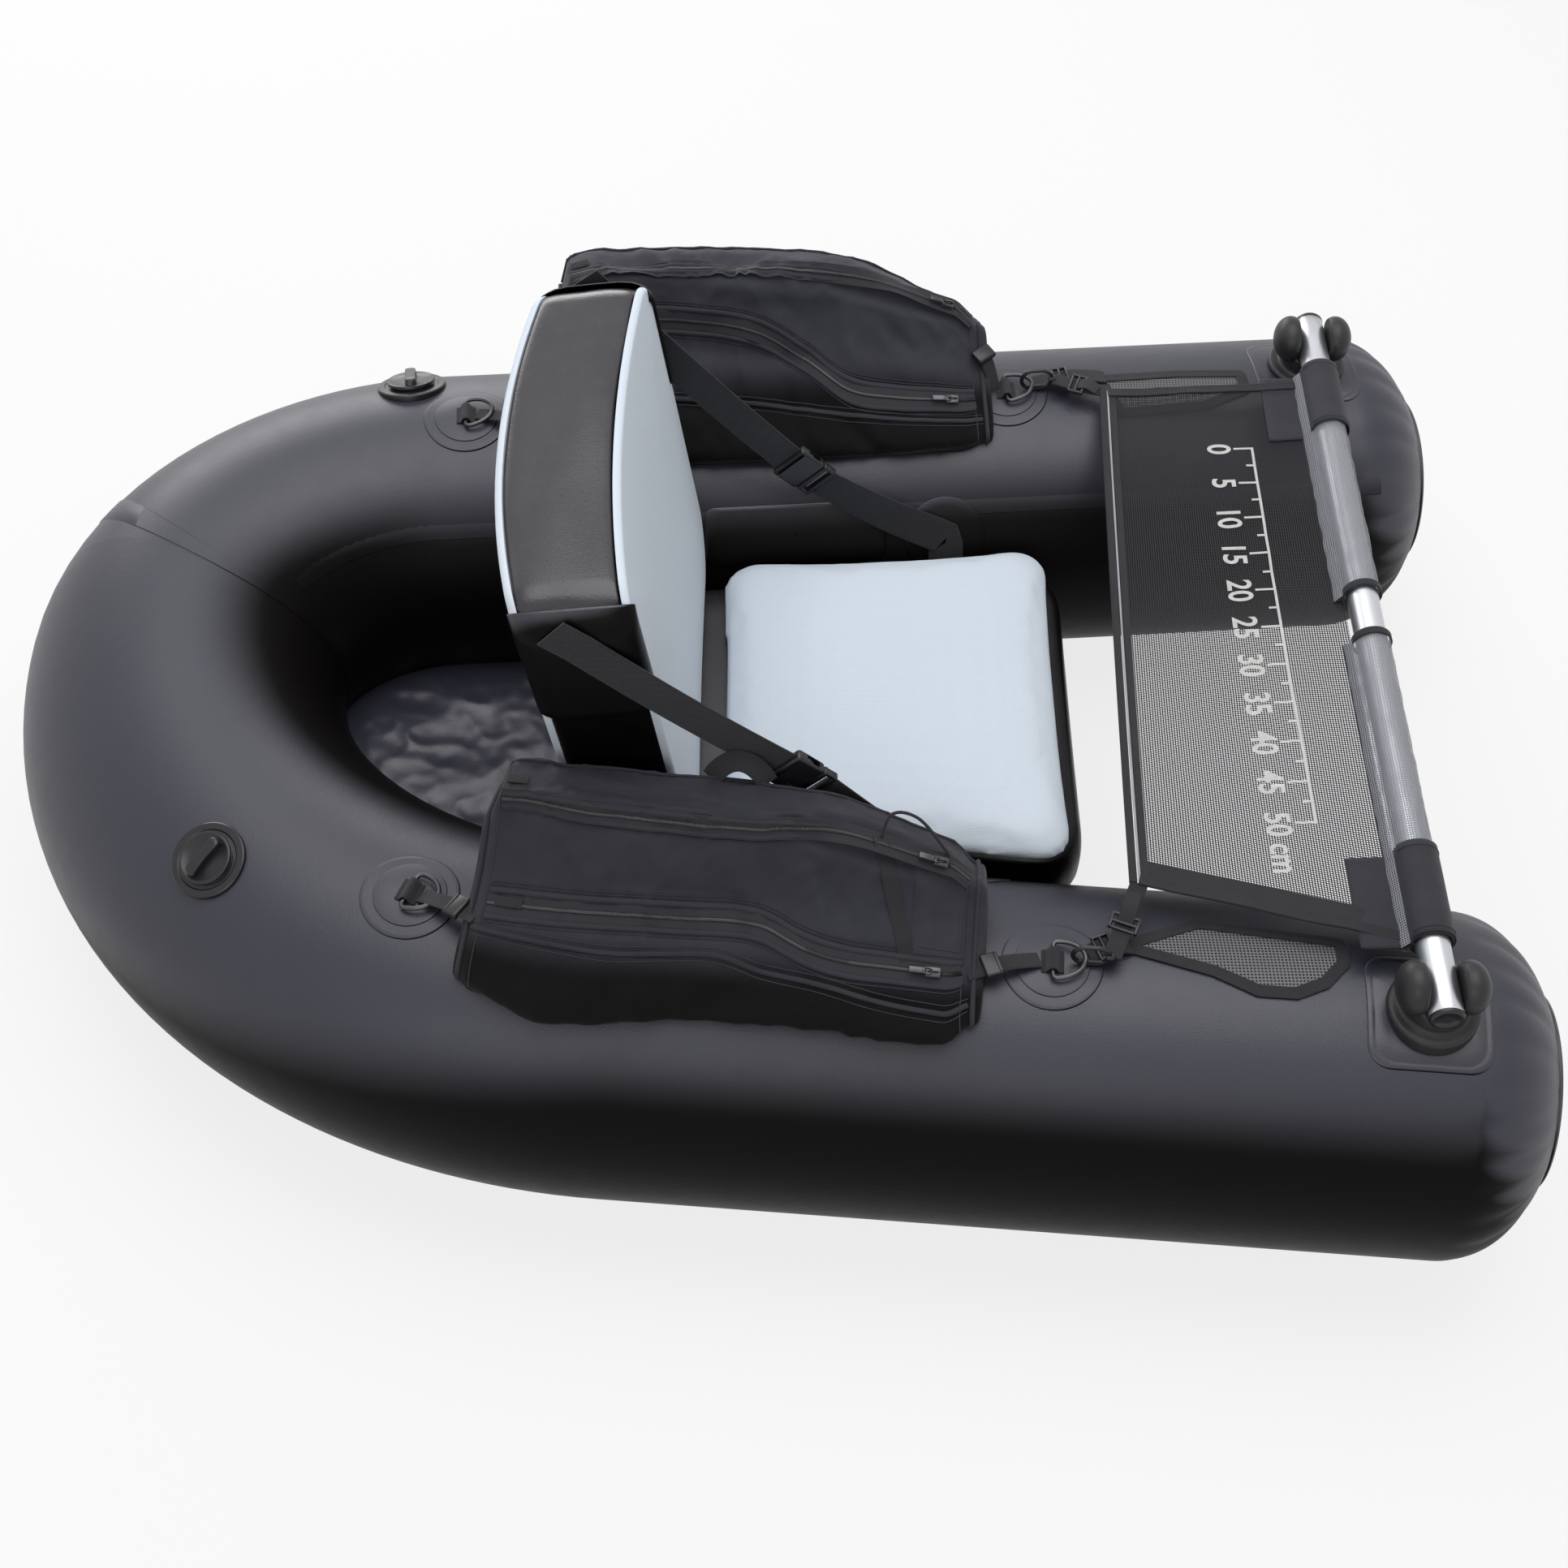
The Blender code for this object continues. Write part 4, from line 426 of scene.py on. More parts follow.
def webbing_finish(name="webbing", colour=(0.010, 0.010, 0.013)):
    """Woven strap: ribs across and a herringbone hint along."""
    f = Finish(name, colour, 0.72)
    f.tint(f.grain(30.0, 3.0), colour, tuple(c * 1.9 for c in colour))
    f.put(f.shader, "Sheen Weight", 0.12)
    f.put(f.shader, "Specular IOR Level", 0.30)
    f.bump(f.threads(0.0018), 0.0004, 0.8)
    return f.material


def net_finish(name="apron_net", pitch=0.0025, cover=0.43, colour=(0.010, 0.010, 0.014)):
    """Open net: square holes between black threads."""
    f = Finish(name, colour, 0.6)
    parts = f.add("ShaderNodeSeparateXYZ", {"Vector": f.place("UV")})
    walls = []
    for axis in (0, 1):
        turn = f.maths("FRACT", f.maths("MULTIPLY", parts.outputs[axis], 1 / pitch))
        walls.append(f.maths("LESS_THAN", turn, cover))
    f.put(f.shader, "Alpha", f.maths("MAXIMUM", walls[0], walls[1]))
    f.put(f.shader, "Sheen Weight", 0.1)
    f.put(f.shader, "Specular IOR Level", 0.25)
    f.bump(f.threads(pitch), 0.0002, 0.3)
    return f.material


def plastic_finish(name="black_plastic", colour=(0.008, 0.008, 0.010), roughness=0.24):
    f = Finish(name, colour, roughness)
    f.put(f.shader, "Specular IOR Level", 0.42)
    f.tint(f.grain(20.0, 2.0), colour, tuple(c * 1.6 for c in colour))
    f.put(f.shader, "Roughness", f.spread(f.grain(85.0, 3.0), roughness, roughness + 0.12))
    f.bump(f.grain(900.0, 2.0), 0.00008, 0.35)
    return f.material


def rubber_finish():
    f = Finish("black_rubber", (0.014, 0.014, 0.015), 0.42)
    f.put(f.shader, "Specular IOR Level", 0.35)
    f.tint(f.grain(15.0, 3.0), (0.012, 0.012, 0.013), (0.024, 0.024, 0.026))
    f.put(f.shader, "Roughness", f.spread(f.grain(55.0, 4.0), 0.36, 0.52))
    f.bump(f.grain(420.0, 2.0), 0.00018, 0.5)
    return f.material


def aluminium_finish():
    """Drawn tube, lightly brushed along its length."""
    f = Finish("satin_aluminium", (0.86, 0.87, 0.89), 0.34, 1.0)
    f.tint(f.grain(6.0, 4.0, stretch=(9.0, 0.5, 9.0)), (0.50, 0.51, 0.54), (0.63, 0.64, 0.67))
    f.put(f.shader, "Roughness", f.spread(f.grain(90.0, 3.0, stretch=(8.0, 0.3, 8.0)), 0.28, 0.42))
    f.bump(f.grain(300.0, 2.0, stretch=(6.0, 0.15, 6.0)), 0.00006, 0.6)
    return f.material


def steel_finish(name="black_steel", colour=(0.045, 0.045, 0.048), roughness=0.30):
    f = Finish(name, colour, roughness, 0.9)
    f.tint(f.grain(45.0, 3.0), colour, tuple(c * 2.2 for c in colour))
    f.put(f.shader, "Roughness", f.spread(f.grain(120.0, 3.0), roughness - 0.06, roughness + 0.12))
    f.bump(f.grain(500.0, 2.0), 0.00006, 0.4)
    return f.material


def print_finish():
    """White ink on the net, thinner where the threads dip."""
    f = Finish("white_print", (0.80, 0.80, 0.78), 0.6)
    f.tint(f.grain(260.0, 3.0), (0.62, 0.62, 0.60), (0.86, 0.86, 0.84))
    f.bump(f.threads(0.0019), 0.0004, 0.6)
    return f.material


FINISH = {
    "hull": pvc_finish(),
    "tape": pvc_finish("weld_tape", (0.30, 0.40), (0.024, 0.024, 0.035), 0.7),
    # Painted light: the cargo floor is the hull's PVC painted lighter (0.036, 0.036, 0.052) to make up for
    # the hull's shade over it
    "wrinkled": pvc_finish("floor_pvc_painted_lighter", (0.26, 0.38), (0.036, 0.036, 0.052), 0.8),
    "base": pvc_finish("cushion_pvc", (0.20, 0.32), (0.021, 0.019, 0.024), 0.8),
    "seat_base": pvc_finish("seat_pvc", (0.26, 0.38), (0.011, 0.010, 0.013), 0.8),
    "pad": pad_finish(),
    "bag": nylon_finish("bag_nylon", (0.012, 0.012, 0.019), (0.050, 0.088)),
    # Painted light: the far bag is the same nylon painted lighter, (0.020, 0.020, 0.029) against (0.012,
    # 0.012, 0.019), and its painted shade band is moved to (0.070, 0.125)
    "far_bag": nylon_finish("far_bag_nylon_painted_lighter", (0.020, 0.020, 0.029), (0.070, 0.125)),
    "bind": nylon_finish("binding_tape", (0.009, 0.009, 0.012)),
    "sturdy": nylon_finish("sleeve_patch", (0.013, 0.013, 0.019)),
    "webbing": webbing_finish(),
    "net": net_finish(),
    "fine_net": net_finish("sleeve_net", 0.0026, 0.40, (0.29, 0.30, 0.33)),
    "wing_net": net_finish("wing_net", 0.0034, 0.44, (0.16, 0.16, 0.17)),
    "plastic": plastic_finish(),
    "rubber": rubber_finish(),
    "bar": aluminium_finish(),
    "steel": steel_finish(),
    "print": print_finish(),
    "piping": webbing_finish("light_piping", (0.30, 0.31, 0.33)),
    "thread": webbing_finish("grey_thread", (0.022, 0.022, 0.026)),
    "coil": plastic_finish("zip_coil", (0.012, 0.012, 0.013), 0.34),
    "tape_cloth": nylon_finish("zip_tape", (0.011, 0.011, 0.016)),
}


# Mesh building


def grid_mesh(name, rows, wrap=False, loop=False, caps=False):
    """A mesh through rows of points of equal count, with UVs in metres."""
    rows = np.asarray([[tuple(p) for p in row] for row in rows], float)
    count, width = rows.shape[:2]
    faces = []
    places = []
    round_step = np.linalg.norm(np.roll(rows, -1, 1) - rows, axis=2).mean(0)
    long_step = np.linalg.norm(np.roll(rows, -1, 0) - rows, axis=2).mean(1)
    us = np.concatenate([[0], np.cumsum(round_step)])
    vs = np.concatenate([[0], np.cumsum(long_step)])
    for i in range(count if loop else count - 1):
        k = (i + 1) % count
        for j in range(width if wrap else width - 1):
            n = (j + 1) % width
            faces.append((i * width + j, i * width + n, k * width + n, k * width + j))
            places += [us[j], vs[i], us[j + 1], vs[i], us[j + 1], vs[i + 1], us[j], vs[i + 1]]
    if caps:
        faces.append(tuple(range(width))[::-1])
        faces.append(tuple((count - 1) * width + j for j in range(width)))
        places += [0.0] * (4 * width)
    mesh = bpy.data.meshes.new(name)
    mesh.from_pydata(rows.reshape(-1, 3).tolist(), [], faces)
    mesh.uv_layers.new(name="metres").data.foreach_set("uv", places)
    if (wrap and caps) or (wrap and loop):
        turn_out(mesh)
    return mesh


def turn_out(mesh):
    """Points a closed mesh's faces outwards."""
    bm = bmesh.new()
    bm.from_mesh(mesh)
    bmesh.ops.recalc_face_normals(bm, faces=bm.faces)
    if bm.calc_volume(signed=True) < 0:
        bmesh.ops.reverse_faces(bm, faces=bm.faces)
    bm.to_mesh(mesh)
    bm.free()


def piece(name, mesh, finish, body, nodes=(), angle=40):
    """A finished piece that rides on a body and stands for the named solids."""
    mesh.materials.clear()
    mesh.materials.append(FINISH[finish])
    mesh.shade_smooth()
    mesh.set_sharp_from_angle(angle=math.radians(angle))
    thing = bpy.data.objects.new(name, mesh)
    bpy.context.scene.collection.objects.link(thing)
    if nodes:
        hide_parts(*nodes)
    if body is not None:
        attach(thing, body)
    return thing


def flat_places(mesh):
    """UVs in metres as seen from above."""
    uvs = mesh.uv_layers["metres"].data
    for loop in mesh.loops:
        uvs[loop.index].uv = mesh.vertices[loop.vertex_index].co.to_2d()


def thicken(thing, thickness, offset=0.0):
    solid = thing.modifiers.new("cloth", "SOLIDIFY")
    solid.thickness = thickness
    solid.offset = offset
    solid.use_even_offset = True
    return thing


def sweep(name, points, section, ups=None, loop=False):
    """A section of (across, over) points carried along a line. ups gives its upright at each point."""
    points = [Vector(p) for p in points]
    count = len(points)
    rows = []
    up = None
    for i, point in enumerate(points):
        before = points[(i - 1) % count] if loop or i else point
        after = points[(i + 1) % count] if loop or i < count - 1 else point
        way = (after - before).normalized()
        if ups is not None:
            up = Vector(ups[i]) if not isinstance(ups, Vector) else ups
        elif up is None:
            up = way.orthogonal()
        up = squared(up, way)
        side = way.cross(up)
        rows.append([point + side * a + up * b for a, b in section])
    return grid_mesh(name, rows, wrap=True, loop=loop, caps=not loop)


def round_section(radius, sides=10, across=1.0, over=1.0):
    """A circle of (across, over) points, stretched to an oval where asked."""
    turns = [math.tau * i / sides for i in range(sides)]
    return [(radius * math.cos(t) * across, radius * math.sin(t) * over) for t in turns]


THREAD = round_section(0.0005, 6)


def strap_section(width, thickness, lift=0.0):
    """A flat strap with thickened selvedges."""
    half = width / 2
    edge = min(thickness, half / 3)
    over = [(-half, 0.35), (-half + edge / 2, 0.55), (-half + 2 * edge, 0.44), (0, 0.5),
            (half - 2 * edge, 0.44), (half - edge / 2, 0.55), (half, 0.35)]
    points = [(a, lift + thickness * b) for a, b in over]
    return points + [(a, lift - thickness * b) for a, b in reversed(over)]


def smooth_line(points, steps=8, loop=False):
    """A Catmull-Rom line through points."""
    points = [Vector(p) for p in points]
    count = len(points)
    line = []
    for i in range(count if loop else count - 1):
        a = points[(i - 1) % count] if loop or i else points[0] * 2 - points[1]
        b, c = points[i], points[(i + 1) % count]
        d = points[(i + 2) % count] if loop or i < count - 2 else c * 2 - b
        for j in range(steps):
            t = j / steps
            line.append((b * 2 + (c - a) * t + (a * 2 - b * 5 + c * 4 - d) * t * t
                         + (b * 3 - a - c * 3 + d) * t ** 3) / 2)
    if not loop:
        line.append(points[-1])
    return line


def turned_mesh(name, profile, pose, steps=64, loop=False):
    """A profile of (radius, height) points turned about a frame's Z."""
    rows = []
    for radius, height in profile:
        reach = max(radius, 0.00002)
        rows.append([pose @ Vector((reach * math.cos(math.tau * i / steps),
                                    reach * math.sin(math.tau * i / steps), height))
                     for i in range(steps)])
    return grid_mesh(name, rows, wrap=True, loop=loop, caps=not loop)


def evaluated(thing, name):
    """The mesh of an object with its modifiers applied, and the object removed."""
    bpy.context.view_layer.update()
    shown = thing.evaluated_get(bpy.context.evaluated_depsgraph_get())
    mesh = bpy.data.meshes.new_from_object(shown)
    mesh.transform(thing.matrix_world)
    mesh.name = name
    bpy.data.objects.remove(thing)
    return mesh


def helper(mesh, name="helper"):
    thing = bpy.data.objects.new(name, mesh)
    bpy.context.scene.collection.objects.link(thing)
    return thing


def combined(mesh, others, operation="DIFFERENCE"):
    """A mesh after Boolean steps with other meshes."""
    thing = helper(mesh)
    tools = [helper(other) for other in others]
    for tool in tools:
        step = thing.modifiers.new("step", "BOOLEAN")
        step.operation = operation
        step.solver = "EXACT"
        step.object = tool
    result = evaluated(thing, mesh.name)
    for tool in tools:
        bpy.data.objects.remove(tool)
    return result


def box_mesh(name, lengths, pose, place=(0, 0, 0), bevel=0.0, segments=3):
    """A block at a place in a frame, its edges rounded."""
    bm = bmesh.new()
    bmesh.ops.create_cube(bm, size=1.0)
    bmesh.ops.scale(bm, vec=Vector(lengths), verts=bm.verts)
    if bevel:
        bmesh.ops.bevel(bm, geom=bm.edges[:], offset=bevel, segments=segments, affect="EDGES",
                        profile=0.5)
    bm.transform(pose @ Matrix.Translation(place))
    mesh = bpy.data.meshes.new(name)
    bm.to_mesh(mesh)
    bm.free()
    mesh.uv_layers.new(name="metres")
    return mesh


def blocks(table, pose):
    """Blocks of (lengths, place, bevel)."""
    return [box_mesh("block", lengths, pose, place, bevel) for lengths, place, bevel in table]


def joined(name, meshes):
    """Several meshes as one."""
    bm = bmesh.new()
    for mesh in meshes:
        bm.from_mesh(mesh)
    result = bpy.data.meshes.new(name)
    bm.to_mesh(result)
    bm.free()
    return result


def group(name, meshes, finish, body, nodes=(), angle=40):
    """Several meshes as one piece."""
    return piece(name, joined(name, meshes), finish, body, nodes, angle)


def relaxed(thing, name, voxel, rounds):
    """The mesh of an object rebuilt in even cells and smoothed."""
    cells = thing.modifiers.new("cells", "REMESH")
    cells.mode = "VOXEL"
    cells.voxel_size = voxel
    relax = thing.modifiers.new("relax", "SMOOTH")
    relax.factor = 0.5
    relax.iterations = rounds
    return evaluated(thing, name)


def slung(start, end, rise, steps):
    """A line between two points that arches by a rise at its middle, or hangs where it is negative."""
    line = []
    for i in range(steps + 1):
        share = i / steps
        spot = start.lerp(end, share)
        spot.z += rise * math.sin(math.pi * share)
        line.append(spot)
    return line


# Hull


def pleat(angle, seed):
    """Gathered cloth round a tip: wide soft ridges between sharp creases."""
    drift = 1.7 * noise.noise(Vector((math.cos(angle) * 1.4, math.sin(angle) * 1.4, seed)))
    turn = PLEATS / 2 * angle + drift
    tall = 0.75 + 0.5 * noise.noise(Vector((math.cos(angle) * 3, math.sin(angle) * 3, seed + 5)))
    return (abs(math.sin(turn)) ** 0.6 - 0.62) * tall


def hull_ring(length, shrink=1.0, gather=0.0, seed=0.0):
    ring = []
    for i in range(HULL_SIDES):
        angle = math.tau * i / HULL_SIDES
        offset = TUBE_RADIUS * (shrink - 1)
        if gather:
            offset += gather * pleat(angle, seed)
        ring.append(tube_point(length, angle, offset))
    return ring


def tip_rings(side, steps=22):
    """The gathered dome, from the disc's edge back to the full round."""
    limit = math.acos(DISC_RADIUS / TUBE_RADIUS)
    reach = (DOME_LENGTH - DISC_RISE) / math.sin(limit)
    base = locate(side, TIP_X - DOME_LENGTH)
    rings = []
    for i in range(steps, 0, -1):
        share = i / steps
        angle = limit * share
        gather = PLEAT_DEPTH * math.sin(math.pi * min(1.0, 0.06 + share * 0.86)) ** 1.5
        rings.append(hull_ring(base + SIDES[side] * reach * math.sin(angle), math.cos(angle),
                               gather, 3.0 * SIDES[side]))
    return rings


def chamber_skin(side):
    """A chamber from its gathered tip to the seam, with a hole for its valve."""
    start = locate(side, TIP_X - DOME_LENGTH)
    steps = round(abs(SEAM_LENGTH - start) / RING_SPACING)
    rings = tip_rings(side)
    for i in range(steps + 1):
        rings.append(hull_ring(start + (SEAM_LENGTH - start) * i / steps))
    mesh = grid_mesh(side + "_chamber_skin", rings, wrap=True, caps=True)
    hole = turned_mesh("hole", [(VALVE_NECK, rise) for rise in VALVE_HOLE], valve_frame(side))
    mesh = combined(mesh, [hole])
    piece(side + "_chamber_skin", mesh, "hull", "hull", [side + "_chamber"], 50)


def seam_tape():
    """The welded tape over the seam between the chambers."""
    half = TAPE_WIDTH / 2
    edge = TAPE_WIDTH * TAPE_EDGE_SHARE
    shape = ((-half, -TAPE_RISE / 2), (-half + edge, TAPE_RISE), (0, TAPE_RISE),
             (half - edge, TAPE_RISE), (half, -TAPE_RISE / 2))
    rows = []
    for i in range(HULL_SIDES):
        angle = math.tau * i / HULL_SIDES
        middle = SEAM_LENGTH + SEAM_SHIFT + SEAM_SKEW * math.sin(angle) + half
        rows.append([tube_point(middle + shift, angle, lift) for shift, lift in shape])
    mesh = grid_mesh("seam_tape_band", rows, loop=True)
    piece("seam_tape_band", mesh, "hull", "hull", ["seam_tape"])


def inner_weld(side):
    """The lap weld that runs along the inside of a chamber."""
    first = SEAM_LENGTH + SIDES[side] * 0.05
    last = locate(side, TIP_X - DOME_LENGTH * 0.8)
    rows = []
    for i in range(WELD_STEPS + 1):
        length = first + (last - first) * i / WELD_STEPS
        rows.append([tube_point(length, math.radians(WELD_ANGLE) + a * WELD_WIDTH / TUBE_RADIUS,
                                rise * WELD_RISE) for a, rise in WELD_SHARES])
    mesh = grid_mesh(side + "_inner_weld", rows)
    piece(side + "_inner_weld", mesh, "hull", "hull")


def tip_disc(side):
    """The domed end disc, its rim welded over the gathers."""
    length = locate(side, TIP_X - DISC_RISE)
    centre, way = along(length)
    normal = Vector((way.x, way.y, 0)) * SIDES[side]
    pose = posed(UP, normal, Vector((centre.x, centre.y, TUBE_CENTRE)))
    rim = DISC_RADIUS + 0.003
    profile = [(rim, -DISC_SINK), (rim + 0.0006, 0.0002), (rim - 0.001, DISC_RIM)]
    steps = 14
    for i in range(1, steps + 1):
        share = 1 - i / steps
        rise = DISC_RIM + (DISC_RISE - DISC_RIM) * math.cos(share * math.pi / 2)
        profile.append((rim * share, rise))
    profile.append((0, -DISC_SINK))
    mesh = turned_mesh(side + "_end_disc", profile, pose, 96)
    piece(side + "_end_disc", mesh, "hull", "hull", [side + "_tip_disc"])


# Patches that follow the skin


def outline_circle(radius, count=64):
    return [Vector(p) for p in round_section(radius, count)]


def outline_rectangle(half_x, half_y, corner, steps=8, edge_steps=6, foot=None):
    """A rounded rectangle's outline; foot is the two lower corners' radius where it differs."""
    radii = (corner, corner, foot or corner, foot or corner)
    points = []
    corners = ((1, 1, 0), (-1, 1, 1), (-1, -1, 2), (1, -1, 3))
    for k, (sx, sy, quarter) in enumerate(corners):
        radius = radii[k]
        centre = Vector((sx * (half_x - radius), sy * (half_y - radius)))
        for i in range(steps + 1):
            turn = (quarter + i / steps) * math.pi / 2
            points.append(centre + Vector((math.cos(turn), math.sin(turn))) * radius)
        nx, ny, q = corners[(k + 1) % 4]
        bend = radii[q]
        turn = (quarter + 1) * math.pi / 2
        goal = Vector((nx * (half_x - bend), ny * (half_y - bend)))
        goal += Vector((math.cos(turn), math.sin(turn))) * bend
        last = points[-1]
        points += [last.lerp(goal, i / (edge_steps + 1)) for i in range(1, edge_steps + 1)]
    return points


def patch_mesh(name, side, x, degrees, outline, layers):
    """A thin welded piece over the skin. layers holds (share of the outline, height) pairs."""
    base = locate(side, x)
    turn = math.radians(degrees)
    middle = sum(outline, Vector((0, 0))) / len(outline)

    def spot(point, rise):
        angle = turn + SIDES[side] * point.y / TUBE_RADIUS
        return tube_point(base + SIDES[side] * point.x, angle, rise)

    rows = [[spot(middle.lerp(p, share), rise) for p in outline] for share, rise in layers]
    return grid_mesh(name, rows, wrap=True)


def edge_layers(rise, count=5, inner=0.02, lip=0.97):
    """Layers of a plain patch: level, then a rounded edge down into the skin."""
    steps = [inner + (lip - inner) * i / count for i in range(count + 1)]
    return [(s, rise) for s in steps] + [(0.988, rise * 0.85), (1.0, rise * 0.3), (1.002, -0.0004)]


def ring_patch(end, side):
    x = RING_XS[end]
    name = "round_patch_" + end + "_" + side
    layers = [(0.02, PAD_RISE), (0.35, PAD_RISE), (PAD_SHARE - 0.03, PAD_RISE),
              (PAD_SHARE - 0.01, PAD_RISE * 0.9), (PAD_SHARE, PATCH_RISE),
              (PAD_SHARE + 0.04, PATCH_RISE), (0.90, PATCH_RISE), (0.975, PATCH_RISE),
              (0.99, PATCH_RISE * 0.8), (1.0, PATCH_RISE * 0.2), (1.002, -0.0004)]
    mesh = patch_mesh(name, side, x, 0, outline_circle(PATCH_RADIUS), layers)
    pose = tube_frame(side, x)
    half = TAB_LENGTH / 2
    loop = RING_WIRE + 0.0012 + TAB_THICKNESS / 2
    route = [(-half, PAD_RISE + 0.0008), (-half * 0.62, PAD_RISE + 0.0010)]
    for i in range(9):
        turn = math.pi - math.pi * i / 8
        route.append((loop * math.cos(turn), RING_PIVOT + loop * math.sin(turn)))
    route += [(half * 0.62, PAD_RISE + 0.0010), (half, PAD_RISE + 0.0008)]
    points = [pose @ Vector((u, 0, v)) for u, v in route]
    ups = []
    for i in range(len(points)):
        way = points[min(i + 1, len(points) - 1)] - points[max(i - 1, 0)]
        ups.append(way.cross(pose.to_3x3() @ Vector((0, 1, 0))) * -1)
    tab = sweep(name + "_tab", points, strap_section(TAB_WIDTH, TAB_THICKNESS), ups)
    piece(name, mesh, "hull", "hull", ["ring_patch_" + end + "_" + side])
    piece("ring_tab_" + end + "_" + side, tab, "webbing", "hull")


def d_ring(end, side):
    """The wire ring, its straight side in the tab."""
    half = RING_HALF_WIDTH
    points = [(0, -half + RING_CORNER), (0, -half / 2), (0, 0), (0, half / 2),
              (0, half - RING_CORNER), (RING_CORNER * 0.3, half - RING_CORNER * 0.3),
              (RING_CORNER, half)]
    steps = 22
    for i in range(1, steps):
        turn = math.pi / 2 - math.pi * i / steps
        points.append((RING_CORNER + (RING_REACH - RING_CORNER) * math.cos(turn),
                       half * math.sin(turn)))
    points += [(RING_CORNER, -half), (RING_CORNER * 0.3, -half + RING_CORNER * 0.3)]
    pose = tube_frame(side, RING_XS[end]) @ Matrix.Translation((0, 0, RING_PIVOT))
    pose = pose @ Matrix.Rotation(-math.radians(RING_TILT), 4, "Y")
    line = [pose @ Vector((u, v, 0)) for u, v in points]
    up = pose.to_3x3() @ Vector((0, 0, 1))
    name = end + "_" + side
    mesh = sweep("d_ring_wire_" + name, line, round_section(RING_WIRE, 14), up, loop=True)
    piece("d_ring_wire_" + name, mesh, "steel", "ring_" + name, ["d_ring_" + name], 60)


def small_patches(side):
    mesh = patch_mesh("strap_foot_" + side, side, STRAP_FOOT_X, STRAP_FOOT_ANGLE,
                      outline_circle(STRAP_FOOT_RADIUS), edge_layers(PATCH_RISE))
    piece("strap_foot_" + side, mesh, "hull", "hull", ["strap_patch_" + side])
    span = math.radians(FLAP_ANGLES[0] - FLAP_ANGLES[1]) * TUBE_RADIUS
    outline = outline_rectangle((FLAP_XS[1] - FLAP_XS[0]) / 2, span / 2, span / 6, edge_steps=14)
    mesh = patch_mesh("seat_strip_" + side, side, sum(FLAP_XS) / 2, sum(FLAP_ANGLES) / 2, outline,
                      edge_layers(FLAP_RISE, 8))
    piece("seat_strip_" + side, mesh, "tape", "hull", ["seat_flap_" + side])


# Valves

VALVE_TILT = {"right": 22, "left": 24}
VALVE_X = {"right": -0.472021, "left": -0.373015}
VALVE_NECK = 0.0300
VALVE_HOLE = (0.03, -0.045)


def valve_frame(side):
    return tube_frame(side, VALVE_X[side], VALVE_TILT[side])


# Cushions

CREASE = Vector((-0.047, 0.0, 0.272398))
RECLINE = 7.5
BACK_HALF = 0.222024
BACK_HEIGHT = 0.400
BACK_CREASE = 0.014
BACK_CORNER = 0.042
BACK_FOOT_CORNER = 0.070
BACK_FRONT = -0.008
BACK_DEPTH = 0.090
PANEL_DEPTH = 0.0075
PANEL_INSET = 0.005
BOW_FRONT = 0.018
BOW_REAR = 0.030
BOW_FOOT_SHARE = 0.10


def back_frame():
    """Local X towards +Y, local Y up the backrest, local Z out of its front."""
    lean = math.radians(RECLINE)
    across = Vector((0, 1, 0))
    up = Vector((-math.sin(lean), 0, math.cos(lean)))
    pose = Matrix((across, up, across.cross(up))).transposed().to_4x4()
    pose.translation = CREASE
    return pose


BACK = back_frame()


def bowed(x, y, z):
    """A place of the backrest, which bows backwards between its sides and more at its top."""
    depth_share = (BACK_FRONT - z) / BACK_DEPTH
    bow = BOW_FRONT + (BOW_REAR - BOW_FRONT) * min(max(depth_share, 0), 1)
    up_share = min(max((y + BACK_CREASE) / BACK_HEIGHT, 0), 1)
    bow *= BOW_FOOT_SHARE + (1 - BOW_FOOT_SHARE) * up_share
    return BACK @ Vector((x, y, z - bow * max(0.0, 1 - (x / BACK_HALF) ** 2)))


def slab_rows(layers, draw_in=0.0, steps=14, edge_steps=18):
    """Rounded rectangles of the backrest. layers holds (inset, local Z) pairs."""
    rows = []
    half = BACK_HEIGHT / 2
    for inset, z in layers:
        outline = outline_rectangle(BACK_HALF - inset, half - inset, max(BACK_CORNER - inset, 0.004),
                                    steps, edge_steps, max(BACK_FOOT_CORNER - inset, 0.004))
        row = []
        for p in outline:
            pull_x = draw_in * (1 - (p.y / half) ** 2)
            pull_y = draw_in * (1 - (p.x / BACK_HALF) ** 2)
            x = p.x - math.copysign(pull_x, p.x) * (abs(p.x) / BACK_HALF) ** 8
            y = p.y - math.copysign(pull_y, p.y) * (abs(p.y) / half) ** 8
            row.append(bowed(x, y + half - BACK_CREASE, z))
        rows.append(row)
    return rows


def backrest_core():
    """The inflated slab: round sides between two welded faces."""
    layers = []
    steps = 16
    for i in range(steps + 1):
        turn = math.pi * i / steps
        z = BACK_FRONT - BACK_DEPTH / 2 * (1 + math.cos(turn))
        layers.append((0.009 * (1 - math.sin(turn) ** 0.55), z))
    face = [(0.195 - 0.0275 * i, layers[0][1]) for i in range(7)]
    rear = [(inset, layers[-1][1]) for inset, z in reversed(face)]
    rows = slab_rows(face + layers + rear, 0.003)
    mesh = grid_mesh("backrest_slab", rows, wrap=True, caps=True)
    for v in mesh.vertices:
        local = BACK.inverted() @ v.co
        if abs(local.x) > BACK_HALF * 0.9 or abs(local.y - 0.186) > 0.19:
            ripple = noise.noise(Vector((local.x * 9, local.y * 9, local.z * 22)))
            way = Vector((local.x / BACK_HALF, (local.y - 0.186) / 0.2, 0))
            v.co += BACK.to_3x3() @ (way * (ripple - 0.5) * 0.003)
    piece("backrest_slab", mesh, "base", "backrest", ["backrest_cushion"], 60)


